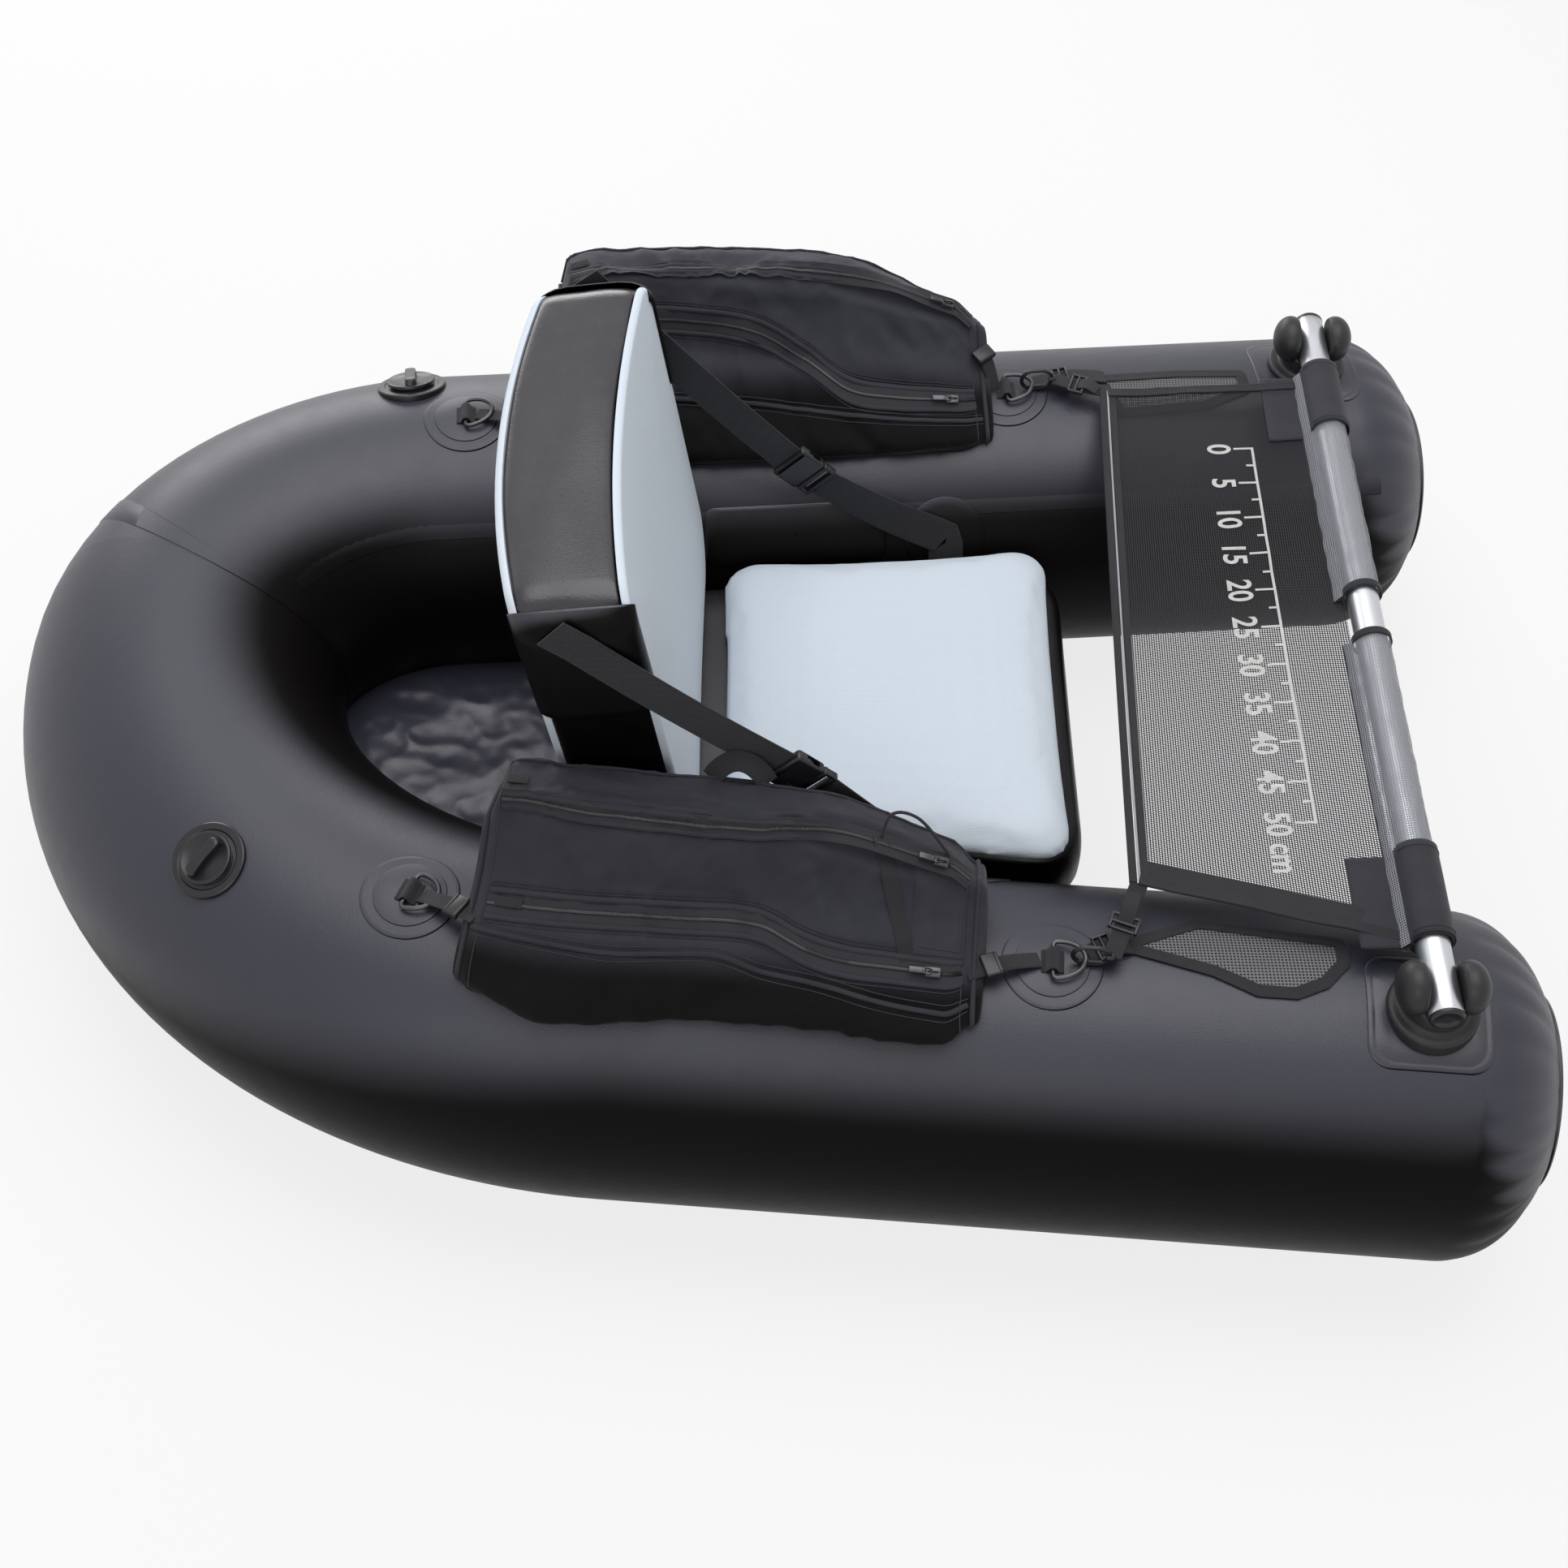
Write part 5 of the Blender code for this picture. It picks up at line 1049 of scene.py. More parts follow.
def backrest_panel(name, node, front):
    """A thin foam pad in light cloth, crowned, its edge rounded down to the slab."""
    start = BACK_FRONT + 0.0003 if front else BACK_FRONT - BACK_DEPTH - 0.0003
    sign = 1 if front else -1
    edge = PANEL_DEPTH
    layers = [(PANEL_INSET + 0.004, start), (PANEL_INSET + 0.0005, start)]
    for i in range(1, 9):
        turn = math.pi / 2 * i / 8
        layers.append((PANEL_INSET + 0.005 * (1 - math.cos(turn)), start + sign * edge * math.sin(turn)))
    for i in range(1, 16):
        share = i / 15
        swell = (PANEL_DEPTH * 0.95) * math.sin(share * math.pi / 2) ** 1.2
        layers.append((PANEL_INSET + 0.005 + 0.186 * share ** 1.3, start + sign * (edge + swell)))
    mesh = grid_mesh(name, slab_rows(layers, 0.0025), wrap=True, caps=True)
    thing = piece(name, mesh, "pad", "backrest", [node], 60)


def swollen(node, name, finish, body, inset, cap, voxel=0.006, hold_below=None):
    """A pad blown up by cloth simulation from a slightly smaller copy of its solid."""
    thing = helper(frame["nodes"][node].data.copy(), name)
    mesh = relaxed(thing, name, voxel, 6)
    thing = helper(mesh, name)
    for v in mesh.vertices:
        v.co -= v.normal * inset
    base = np.array([v.co for v in mesh.vertices])
    goal = simulated(thing, base, hold_below)
    step = goal - base
    far = np.linalg.norm(step, axis=1, keepdims=True)
    step *= np.minimum(1.0, cap / np.maximum(far, 1e-9))
    mesh.vertices.foreach_set("co", (base + step).ravel())
    mesh.update()
    bpy.data.objects.remove(thing)
    shown = piece(name, mesh, finish, body, [node], 180)
    fine = shown.modifiers.new("fine", "SUBSURF")
    fine.levels = 1
    fine.render_levels = 1
    return shown


CLOTH_SETTINGS = {"quality": 4, "mass": 0.3, "tension_stiffness": 25, "compression_stiffness": 25,
                  "bending_stiffness": 1.0, "use_pressure": True, "uniform_pressure_force": 4.0,
                  "vertex_group_mass": "held"}
CLOTH_FRAMES = 20


def simulated(thing, base, hold_below):
    """Vertex places after a short inflation under cloth."""
    held = thing.vertex_groups.new(name="held")
    if hold_below is not None:
        held.add([int(i) for i in np.nonzero(base[:, 2] < hold_below)[0]], 1.0, "REPLACE")
    cloth = thing.modifiers.new("cloth", "CLOTH")
    for key, value in CLOTH_SETTINGS.items():
        setattr(cloth.settings, key, value)
    cloth.settings.effector_weights.gravity = 0.0
    scene = bpy.context.scene
    for number in range(1, CLOTH_FRAMES + 1):
        scene.frame_set(number)
    shown = thing.evaluated_get(bpy.context.evaluated_depsgraph_get())
    goal = np.zeros(len(base) * 3)
    shown.data.vertices.foreach_get("co", goal)
    thing.modifiers.remove(cloth)
    scene.frame_set(1)
    return goal.reshape(-1, 3)


# Back straps

STRAP_WIDTH = 0.038
STRAP_THICKNESS = 0.0018
STRAP_TOP = (-0.14445, 0.22542, 0.60654)
STRAP_FOOT = (0.21702, 0.22584, 0.26379)
BUCKLE_PLACE = {"right": (0.058, 0.23502, 0.43205), "left": (0.065, 0.23502, 0.35205)}
SOCKET_LENGTH = 0.034
TONGUE_LENGTH = 0.018


def sided(point, side):
    x, y, z = point
    return Vector((x, SIDES[side] * y, z))


def buckle_frame(side):
    """Local X along the strap away from the backrest, local Z outwards."""
    head = (sided(STRAP_FOOT, side) - sided(STRAP_TOP, side)).normalized()
    out = squared(Vector((0, SIDES[side], 0)), head)
    return posed(head, out, sided(BUCKLE_PLACE[side], side))


def back_straps(side):
    pose = buckle_frame(side)
    top = sided(STRAP_TOP, side)
    end = pose @ Vector((-SOCKET_LENGTH + 0.004, 0, 0))
    out = Vector((0, SIDES[side], 0))
    way = (end - top).normalized()
    start = top - Vector((way.x, 0, way.z)).normalized() * STRAP_WIDTH * 0.8
    start.y = top.y
    points = [start, top - (top - start) * 0.4] + slung(top, end, -0.004, 24)
    mesh = sweep("back_strap_top_" + side, smooth_line(points, 3),
                 strap_section(STRAP_WIDTH, STRAP_THICKNESS), out)
    thing = piece("back_strap_top_" + side, mesh, "webbing", None,
                  ["back_strap_upper_" + side])
    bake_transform(thing)
    start = pose @ Vector((TONGUE_LENGTH - 0.003, 0, 0))
    foot = sided(STRAP_FOOT, side)
    length = locate(side, STRAP_FOOT_X)
    points = slung(start, foot, -0.005, 12)
    inward = -tube_normal(length, math.radians(STRAP_FOOT_ANGLE))
    ups = [out.lerp(inward, i / 12) for i in range(13)]
    for i in range(1, 6):
        angle = math.radians(STRAP_FOOT_ANGLE - 9 * i / 5)
        points.append(tube_point(length, angle, PATCH_RISE + STRAP_THICKNESS * 0.7))
        ups.append(-tube_normal(length, angle))
    mesh = sweep("back_strap_foot_" + side, points, strap_section(STRAP_WIDTH, STRAP_THICKNESS), ups)
    piece("back_strap_foot_" + side, mesh, "webbing", "hull",
          ["back_strap_lower_" + side])


def backrest_wrap(side):
    """The welded panel round the backrest's upper corner that its strap is sewn to."""
    middle = BACK_FRONT - BACK_DEPTH / 2
    laps = [(-0.020, 0.0550), (-0.014, 0.0545), (-0.009, 0.0525), (-0.0055, 0.0485), (-0.0030, 0.0440),
            (-0.0004, 0.0370), (0.0012, 0.0250)]
    lap_line = laps + [(0.0015, 0.0)] + [(outset, -z) for outset, z in reversed(laps)]
    bend_y = BACK_HEIGHT - BACK_CREASE - BACK_CORNER
    bend_x = BACK_HALF - BACK_CORNER
    stops = [(Vector((bend_x, bend_y - 0.100 * (1 - i / 12))), 0.0) for i in range(12)]
    stops += [(Vector((bend_x, bend_y)), math.radians(50) * i / 14) for i in range(15)]
    rows = []
    for hub, turn in stops:
        spoke = Vector((math.cos(turn), math.sin(turn)))
        row = []
        for outset, z in lap_line:
            p = hub + spoke * (BACK_CORNER + outset)
            row.append(bowed(SIDES[side] * p.x, p.y, middle + z))
        rows.append(row)
    mesh = grid_mesh("backrest_wrap_" + side, rows)
    thing = piece("backrest_wrap_" + side, mesh, "tape", "backrest",
                  ["backrest_anchor_" + side])
    thicken(thing, 0.0016)


# Bags

BAG_REAR_X = {"right": -0.250, "left": -0.205}
BAG_LENGTH = 0.465
BAG_BACK = 0.107
BAG_FRONT = -0.075
BAG_HEIGHT = {"right": 0.122, "left": 0.146}
BAG_FINISH = {"right": "bag", "left": "far_bag"}
BAG_LIFT = 0.0020
BAG_STATION_SHARES = ((0.0, 0.72, 0.86, 0.95), (0.03, 0.96, 0.98, 0.97), (0.10, 1.0, 1.0, 0.97),
                      (0.25, 0.98, 1.0, 0.98), (0.42, 0.95, 1.0, 0.98), (0.66, 0.92, 1.0, 0.90),
                      (0.93, 0.56, 0.98, 0.60), (1.0, 0.38, 0.86, 0.50))
BAG_RIDGE_SHARE = 0.73
BAG_FACE_SHARES = ((0.04, 0.06), (0.24, 0.26), (0.46, 0.46), (0.62, 0.74), (0.73, 0.97),
                   (0.82, 1.0), (0.97, 0.98), (1.0, 0.92), (1.0, 0.50), (1.0, 0.10))
BAG_HANG = {
    "right": ((0.0, 0.004), (0.17, 0.026), (0.40, 0.015), (0.60, 0.012), (0.94, 0.017), (1.0, 0.006)),
    "left": ((0.0, 0.002), (0.50, 0.010), (1.0, 0.004)),
}
RUN_SHARES = (0.4545, 0.1818)
RUN_DEPTH = 0.0040
BAG_COLUMNS = 120
BAG_FACE_STEPS = 11
BAG_UNDER_STEPS = 18


def eased(table, share):
    """Columns of a table of shares at a place between its rows, without overshoot."""
    rows = list(table)
    i = 0
    while i < len(rows) - 2 and rows[i + 1][0] < share:
        i += 1
    low, high = rows[i], rows[i + 1]
    part = min(max((share - low[0]) / (high[0] - low[0]), 0), 1)

    def slope(k, column):
        if k in (0, len(rows) - 1):
            return 0.0
        left = (rows[k][column] - rows[k - 1][column]) / (rows[k][0] - rows[k - 1][0])
        right = (rows[k + 1][column] - rows[k][column]) / (rows[k + 1][0] - rows[k][0])
        return 0.0 if left * right <= 0 else 2 * left * right / (left + right)

    span = high[0] - low[0]
    values = []
    for column in range(1, len(low)):
        a, b = low[column], high[column]
        ma, mb = slope(i, column) * span, slope(i + 1, column) * span
        t = part
        values.append(a * (2 * t ** 3 - 3 * t * t + 1) + ma * (t ** 3 - 2 * t * t + t)
                      + b * (3 * t * t - 2 * t ** 3) + mb * (t ** 3 - t * t))
    return values


class Bag:
    """A soft bag on an arm: a surface with places given as (share along, share over)."""

    def __init__(self, side, folds):
        self.side = side
        rows = []
        under = []
        for i in range(BAG_COLUMNS + 1):
            face, below = self.section(i / BAG_COLUMNS)
            rows.append(face)
            under.append(below)
        self.face = np.array([[tuple(p) for p in row] for row in rows])
        self.under = under
        self.normals = self.normal_grid()
        self.crumple(folds)
        for which in ("upper", "lower"):
            self.press_run(which)
        self.normals = self.normal_grid()

    def section(self, share):
        height_share, width_share, back_share = eased(BAG_STATION_SHARES, share)
        length = locate(self.side, BAG_REAR_X[self.side] + BAG_LENGTH * share)
        centre, way = along(length)
        out = outward_of(way) * SIDES[self.side]
        back = BAG_BACK * width_share
        front = BAG_FRONT * width_share

        def on_tube(offset):
            angle = math.asin(offset * SIDES[self.side] / (TUBE_RADIUS + BAG_LIFT))
            return tube_point(length, angle, BAG_LIFT)

        def above(across, rise):
            spot = Vector((centre.x, centre.y, 0)) + out * (front + (back - front) * across)
            behind = max(across - BAG_RIDGE_SHARE, 0) / (1 - BAG_RIDGE_SHARE)
            rise *= height_share * (1 - (1 - back_share) * behind)
            spot.z = TUBE_TOP + rise * BAG_HEIGHT[self.side]
            return spot

        line = [on_tube(front)]
        line += [above(across, rise) for across, rise in BAG_FACE_SHARES]
        line.append(on_tube(back))
        below = [on_tube(back + (front - back) * i / BAG_UNDER_STEPS)
                 for i in range(1, BAG_UNDER_STEPS)]
        return smooth_line(line, BAG_FACE_STEPS), below

    def normal_grid(self):
        long = np.gradient(self.face, axis=0)
        over = np.gradient(self.face, axis=1)
        normal = np.cross(over, long)
        normal /= np.maximum(np.linalg.norm(normal, axis=2, keepdims=True), 1e-9)
        return normal if normal[60, 20, 1] < 0 else -normal

    def crumple(self, folds):
        """Bulges between the seams, folds along chosen lines and small creases."""
        count, width = self.face.shape[:2]
        seed = 11.0 if self.side == "right" else 47.0
        for i in range(count):
            s = i / (count - 1)
            ends = min(1.0, s / 0.05, (1 - s) / 0.05)
            for j in range(width):
                r = j / (width - 1)
                foot = min(1.0, r / 0.05, (1 - r) / 0.05)
                keep = ends * foot
                place = Vector((s * 4.6, r * 4.2, seed))
                broad = noise.noise(place * 1.3)
                ridge = 1 - 2 * abs(noise.noise(Vector((s * 9, r * 7 + s * 4, seed + 3))))
                fine = 1 - 2 * abs(noise.noise(Vector((s * 26, r * 20 - s * 9, seed + 9))))
                push = 0.0045 * broad + 0.0032 * (ridge - 0.7) + 0.0011 * (fine - 0.6)
                for (s0, r0), (s1, r1), depth, wide in folds:
                    push += fold_push(s, r, s0, r0, s1, r1, depth, wide)
                hang = eased(BAG_HANG[self.side], s)[0] * math.exp(-((r - 0.070) / 0.055) ** 2)
                sag = Vector((0, -1.0, -0.35)) * hang * min(1.0, r / 0.02)
                push = self.calmed(s, r, push)
                self.face[i, j] += self.normals[i, j] * push * keep + np.array(sag)

    def calmed(self, s, r, push):
        """Lays the cloth level along the straight run of each zip's slider."""
        along_share = min(max((s - 0.62) / 0.05, 0), 1)
        for run in RUN_SHARES:
            calm = along_share * math.exp(-((r - run) / 0.028) ** 2)
            push = push * (1 - calm) - 0.0007 * calm
        return push

    def press_run(self, which):
        """Presses the cloth down along the straight run of a slider."""
        low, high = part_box("zip_slider_" + which + "_" + self.side)
        centre = (np.array(low) + np.array(high)) / 2
        back = -np.array(Vector(SLIDER_AXES[which, self.side]).normalized())
        gap = self.face - centre
        reach = gap @ back
        gap = gap - reach[..., None] * back
        height = np.sum(gap * self.normals, axis=2)
        aside = np.linalg.norm(gap - height[..., None] * self.normals, axis=2)
        inside = np.clip((reach + 0.030) / 0.012, 0, 1) * np.clip((0.140 - reach) / 0.012, 0, 1)
        inside *= np.clip((0.024 - aside) / 0.011, 0, 1) * (height < 0.012)
        press = np.maximum(height + RUN_DEPTH, 0) * inside
        self.face -= self.normals * press[..., None]

    def at(self, s, r):
        """Point and normal of the surface at a place."""
        count, width = self.face.shape[:2]
        i = min(max(s, 0), 1) * (count - 1)
        j = min(max(r, 0), 1) * (width - 1)
        i0, j0 = min(int(i), count - 2), min(int(j), width - 2)
        a, b = i - i0, j - j0
        out = []
        for grid in (self.face, self.normals):
            low = grid[i0, j0] * (1 - b) + grid[i0, j0 + 1] * b
            high = grid[i0 + 1, j0] * (1 - b) + grid[i0 + 1, j0 + 1] * b
            out.append(Vector(low * (1 - a) + high * a))
        return out[0], out[1].normalized()

    def line(self, route, lift=0.0, steps=10):
        """Points and normals along a route of places, over the surface."""
        places = smooth_line([Vector((s, r, 0)) for s, r in route], steps)
        spots = [self.at(p.x, p.y) for p in places]
        return [p + n * lift for p, n in spots], [n for p, n in spots]

    def mesh(self, name):
        count = self.face.shape[0]
        rows = []
        for i in range(count):
            rows.append([Vector(p) for p in self.face[i]] + self.under[i])
        rows = self.end_rows(rows[0], rows[4])[::-1] + rows
        rows += self.end_rows(rows[-1], rows[-5])
        return grid_mesh(name, rows, wrap=True, caps=True)

    def strand(self, route, section, lift, steps=14):
        """A section swept along a route on the cloth."""
        points, normals = self.line(route, lift, steps)
        return sweep("strand", points, section, normals)

    def end_rows(self, ring, inner):
        """Rows that close an end with a slightly puffed panel."""
        centre = sum(ring, Vector((0, 0, 0))) / len(ring)
        way = (centre - sum(inner, Vector((0, 0, 0))) / len(inner)).normalized()
        rows = []
        for shrink, puff in ((0.985, 0.003), (0.94, 0.0048), (0.84, 0.0060), (0.66, 0.0070),
                             (0.42, 0.0078), (0.20, 0.0082), (0.03, 0.0083)):
            rows.append([centre + (p - centre) * shrink + way * puff for p in ring])
        return rows


def fold_push(s, r, s0, r0, s1, r1, depth, wide):
    """Height of one soft fold along a line of places."""
    ax, ay = (s1 - s0), (r1 - r0)
    size = ax * ax + ay * ay
    t = min(max(((s - s0) * ax + (r - r0) * ay) / size, 0), 1)
    dx, dy = s - s0 - ax * t, r - r0 - ay * t
    away = math.hypot(dx, dy) / wide
    return depth * math.exp(-away * away) * (0.35 + 0.65 * math.sin(math.pi * t))


# Apron

APRON_REAR_X = 0.383
APRON_REAR_Z = TUBE_TOP + 0.0186
APRON_REAR_HALF = arm_y(APRON_REAR_X) - 0.0543
APRON_SHIFT = 0.030
APRON_SKEW = 0.013
APRON_FRONT = (BAR_X - 0.016974, ARM_HALF_SPACING - 0.035, BAR_Z - 0.010)
APRON_SAG = 0.012
SLEEVE_SPANS = {"right": (-0.375, -0.012), "left": (0.046, 0.375)}
SLEEVE_REACH = 0.0178
RULER_X = 0.546
RULER_YS = (0.272, -0.228)
DIGIT_HEIGHT = 0.024


def apron_point(u, v, lift=0.0):
    """A point of the apron: u from the rear lip to the bar, v from the right arm to the left."""
    rear = Vector((APRON_REAR_X + APRON_SKEW * v, APRON_SHIFT + APRON_REAR_HALF * v, APRON_REAR_Z))
    front = Vector((APRON_FRONT[0], APRON_FRONT[1] * v, APRON_FRONT[2]))
    spot = rear.lerp(front, u)
    slack = 0.2 + 0.8 * min(max(u, 0), 1)
    spot.z -= APRON_SAG * (1 - v * v) * math.sin(math.pi * slack)
    inside = max(0.0, math.sin(math.pi * min(max(u, 0), 1))) * (1 - v * v)
    wave = noise.noise(Vector((spot.x * 9, spot.y * 4, 2.0)))
    fine = 1 - 2 * abs(noise.noise(Vector((spot.x * 22 + spot.y * 9, spot.y * 16, 8.0))))
    spot.z += (0.0045 * wave + 0.0018 * (fine - 0.6)) * inside + lift
    return spot


def apron_place(x, y):
    """The apron's u and v under a point."""
    u, v = 0.5, 0.0
    for _ in range(8):
        rear_x = APRON_REAR_X + APRON_SKEW * v
        u = (x - rear_x) / (APRON_FRONT[0] - rear_x)
        v = (y - APRON_SHIFT * (1 - u)) / (APRON_REAR_HALF * (1 - u) + APRON_FRONT[1] * u)
    return u, v


def on_apron(name, mesh, finish, nodes=()):
    """A piece of the apron, on no body, its place baked into the mesh."""
    thing = piece(name, mesh, finish, None, nodes)
    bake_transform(thing)
    return thing


def apron_strip(name, route, width, thickness, lift, wave=0.0):
    """A strip along a route of places on the apron."""
    places = smooth_line([Vector((u, v, 0)) for u, v in route], 16)
    points = []
    ups = []
    for p in places:
        spot = apron_point(p.x, p.y, lift)
        roll = noise.noise(Vector((spot.x * 26, spot.y * 26, 5.0)))
        spot.z += wave * roll
        points.append(spot)
        ups.append(Vector((0.9 * wave / 0.004 * roll, 0.4 * wave / 0.004 * roll, 1)))
    return sweep(name, points, strap_section(width, thickness), ups)


def apron():
    rows = [[apron_point(i / 56, j / 48 - 1) for j in range(97)] for i in range(57)]
    mesh = grid_mesh("apron_net", rows)
    net = on_apron("apron_net", mesh, "net", ["apron_panel"])
    edges = [(0.0, -1.0), (0.0, -0.5), (0.0, 0.0), (0.0, 0.5), (0.0, 1.0)]
    lips = []
    for shift in (-0.022, 0.024):
        route = [(u + shift, v) for u, v in edges]
        lips.append(apron_strip("lip", route, 0.0075, 0.0036, 0.0002))
    for sign in (-1, 1):
        route = [(u, sign * (1.0 - 0.012)) for u in (0.0, 0.25, 0.5, 0.75, 1.0)]
        lips.append(apron_strip("fold", route, 0.011, 0.0030, 0.0014, 0.0016))
    route = [(u, -0.945) for u in (0.03, 0.3, 0.55, 0.8, 0.97)]
    lips.append(apron_strip("double", route, 0.018, 0.0009, 0.0012, 0.0008))
    binding = on_apron("apron_binding", joined("apron_binding", lips), "bind")
    line = smooth_line([apron_point(u + 0.001, v, 0.0014) for u, v in edges], 16)
    piping = on_apron("apron_piping", sweep("apron_piping", line, round_section(0.0011, 8)), "piping")
    marks = ruler()
    width = (net_line(0) + net_line(1)) / 2
    length = (apron_point(1, 0) - apron_point(0, 0)).length


def net_line(u):
    spots = [apron_point(u, j / 48 - 1) for j in range(97)]
    return sum((b - a).length for a, b in zip(spots, spots[1:]))


def ruler():
    """The scale printed on the net: a line, long ticks with their numbers and short ones between."""
    first, last = RULER_YS
    bm = bmesh.new()

    def quad(x0, x1, y0, y1):
        steps = max(1, round(abs(y1 - y0) / 0.01))
        for i in range(steps):
            a = y0 + (y1 - y0) * i / steps
            b = y0 + (y1 - y0) * (i + 1) / steps
            corners = [(x0, a), (x1, a), (x1, b), (x0, b)]
            bm.faces.new([bm.verts.new(apron_point(*apron_place(x, y), 0.0007)) for x, y in corners])

    thin = 0.0014
    quad(RULER_X - thin, RULER_X + thin, last - thin, first + thin)
    for i in range(21):
        y = first + (last - first) * i / 20
        reach = 0.009 if i % 2 else 0.020
        quad(RULER_X - reach, RULER_X - thin, y - thin, y + thin)
    for k in range(11):
        text = str(5 * k) + (" cm" if k == 10 else "")
        write_on_apron(bm, text, RULER_X - 0.0235 - DIGIT_HEIGHT, first + (last - first) * k / 10)
    bmesh.ops.recalc_face_normals(bm, faces=bm.faces)
    mesh = bpy.data.meshes.new("apron_ruler")
    bm.to_mesh(mesh)
    bm.free()
    mesh.uv_layers.new(name="metres")
    return on_apron("apron_ruler", mesh, "print")


def write_on_apron(bm, text, x, y):
    """Letters laid on the net, their tops towards the bar, read towards the right arm."""
    curve = bpy.data.curves.new("digits", "FONT")
    curve.body = text
    curve.size = DIGIT_HEIGHT / 0.69
    curve.align_x = "LEFT" if len(text) > 2 else "CENTER"
    curve.resolution_u = 6
    curve.offset = 0.0007
    thing = bpy.data.objects.new("digits", curve)
    bpy.context.scene.collection.objects.link(thing)
    mesh = evaluated(thing, "digits")
    shift = 0.014 if len(text) > 2 else 0.0
    spots = []
    for v in mesh.vertices:
        place = apron_place(x + v.co.y, y + shift - v.co.x * 0.86)
        spots.append(bm.verts.new(apron_point(*place, 0.0008)))
    for face in mesh.polygons:
        bm.faces.new([spots[i] for i in face.vertices])


def sleeve_line(y, reach, tail, low=-60):
    """A sleeve's section at y: from the tail on the panel over the bar and under it."""
    u, v = apron_place(APRON_FRONT[0] - tail, y)
    points = []
    for i in range(7):
        p = apron_point(u + (1 - u) * i / 6 * 0.92, v, 0.0008)
        points.append(Vector((p.x, y, p.z)))
    for i in range(25):
        turn = math.radians(148 + (low - 148) * i / 24)
        points.append(Vector((BAR_X + reach * math.cos(turn), y, BAR_Z + reach * math.sin(turn))))
    return points


def sleeve(side):
    """The net tube sewn round the bar, bound at its ends and along its rear seam."""
    y0, y1 = SLEEVE_SPANS[side]
    rows = []
    count = 90
    for i in range(count + 1):
        y = y0 + (y1 - y0) * i / count
        row = []
        for k in range(40):
            turn = math.tau * k / 40
            crinkle = noise.noise(Vector((y * 60, math.cos(turn) * 2, math.sin(turn) * 2)))
            reach = SLEEVE_REACH + 0.0011 * crinkle + 0.0004
            spot = Vector((math.cos(turn), 0, math.sin(turn))) * reach
            tail = max(0.0, math.cos(turn - math.radians(205))) ** 10
            spot += Vector((-0.010, 0, -0.0040)) * tail
            row.append(Vector((BAR_X + spot.x, y, BAR_Z + spot.z)))
        rows.append(row)
    mesh = grid_mesh("apron_sleeve_net_" + side, rows, wrap=True)
    piece("apron_sleeve_net_" + side, mesh, "fine_net", "apron_sleeves",
          ["apron_sleeve_" + side])
    bound = []
    for y in (y0 + 0.003, y1 - 0.003):
        line = [Vector((BAR_X, y, BAR_Z)) + Vector((math.cos(t), 0, math.sin(t))) * (SLEEVE_REACH + 0.0016)
                for t in (math.tau * k / 48 for k in range(48))]
        outs = [(p - Vector((BAR_X, y, BAR_Z))).normalized() for p in line]
        bound.append(sweep("end", line, strap_section(0.008, 0.0018), outs, loop=True))
    seam = []
    for i in range(61):
        y = y0 + (y1 - y0) * i / 60
        seam.append(Vector((BAR_X - 0.0235, y, APRON_FRONT[2] + 0.0016
                            + 0.0008 * noise.noise(Vector((y * 40, 0, 1))))))
    bound.append(sweep("seam", seam, strap_section(0.009, 0.0016), Vector((-0.5, 0, 1))))
    group("sleeve_binding_" + side, bound, "bind", "apron_sleeves")
    outer = (y0, y0 + 0.102) if side == "right" else (y1 - 0.094, y1)
    rows = []
    for i in range(25):
        y = outer[0] + (outer[1] - outer[0]) * i / 24
        row = sleeve_line(y, SLEEVE_REACH + 0.0030, 0.046)
        wrinkle = 0.0008 * noise.noise(Vector((y * 50, 3, 1)))
        rows.append([p + Vector((0, 0, wrinkle)) for p in row])
    mesh = grid_mesh("sleeve_patch_" + side, rows)
    thicken(piece("sleeve_patch_" + side, mesh, "sturdy", "apron_sleeves"), 0.0010, 1.0)
    stitches = []
    for share in (0.06, 0.94):
        y = outer[0] + (outer[1] - outer[0]) * share
        row = sleeve_line(y, SLEEVE_REACH + 0.0042, 0.044)
        stitches.append(sweep("stitch", smooth_line(row[1:26], 2), THREAD))
    group("sleeve_stitch_" + side, stitches, "thread",
          "apron_sleeves")


WING_SHARES = {
    "right": ((-0.225, 0.145), (0.28, 0.014), (0.52, -0.094), (0.727, -0.094), (0.887, -0.014),
              (1.0, 0.13), (1.0, 0.29), (0.205, 0.370)),
    "left": ((0.028, 0.087), (0.563, 0.101), (1.0, 0.072), (1.0, -0.087), (0.704, -0.203),
             (0.14, -0.232)),
}
WING_LENGTH = 0.1747


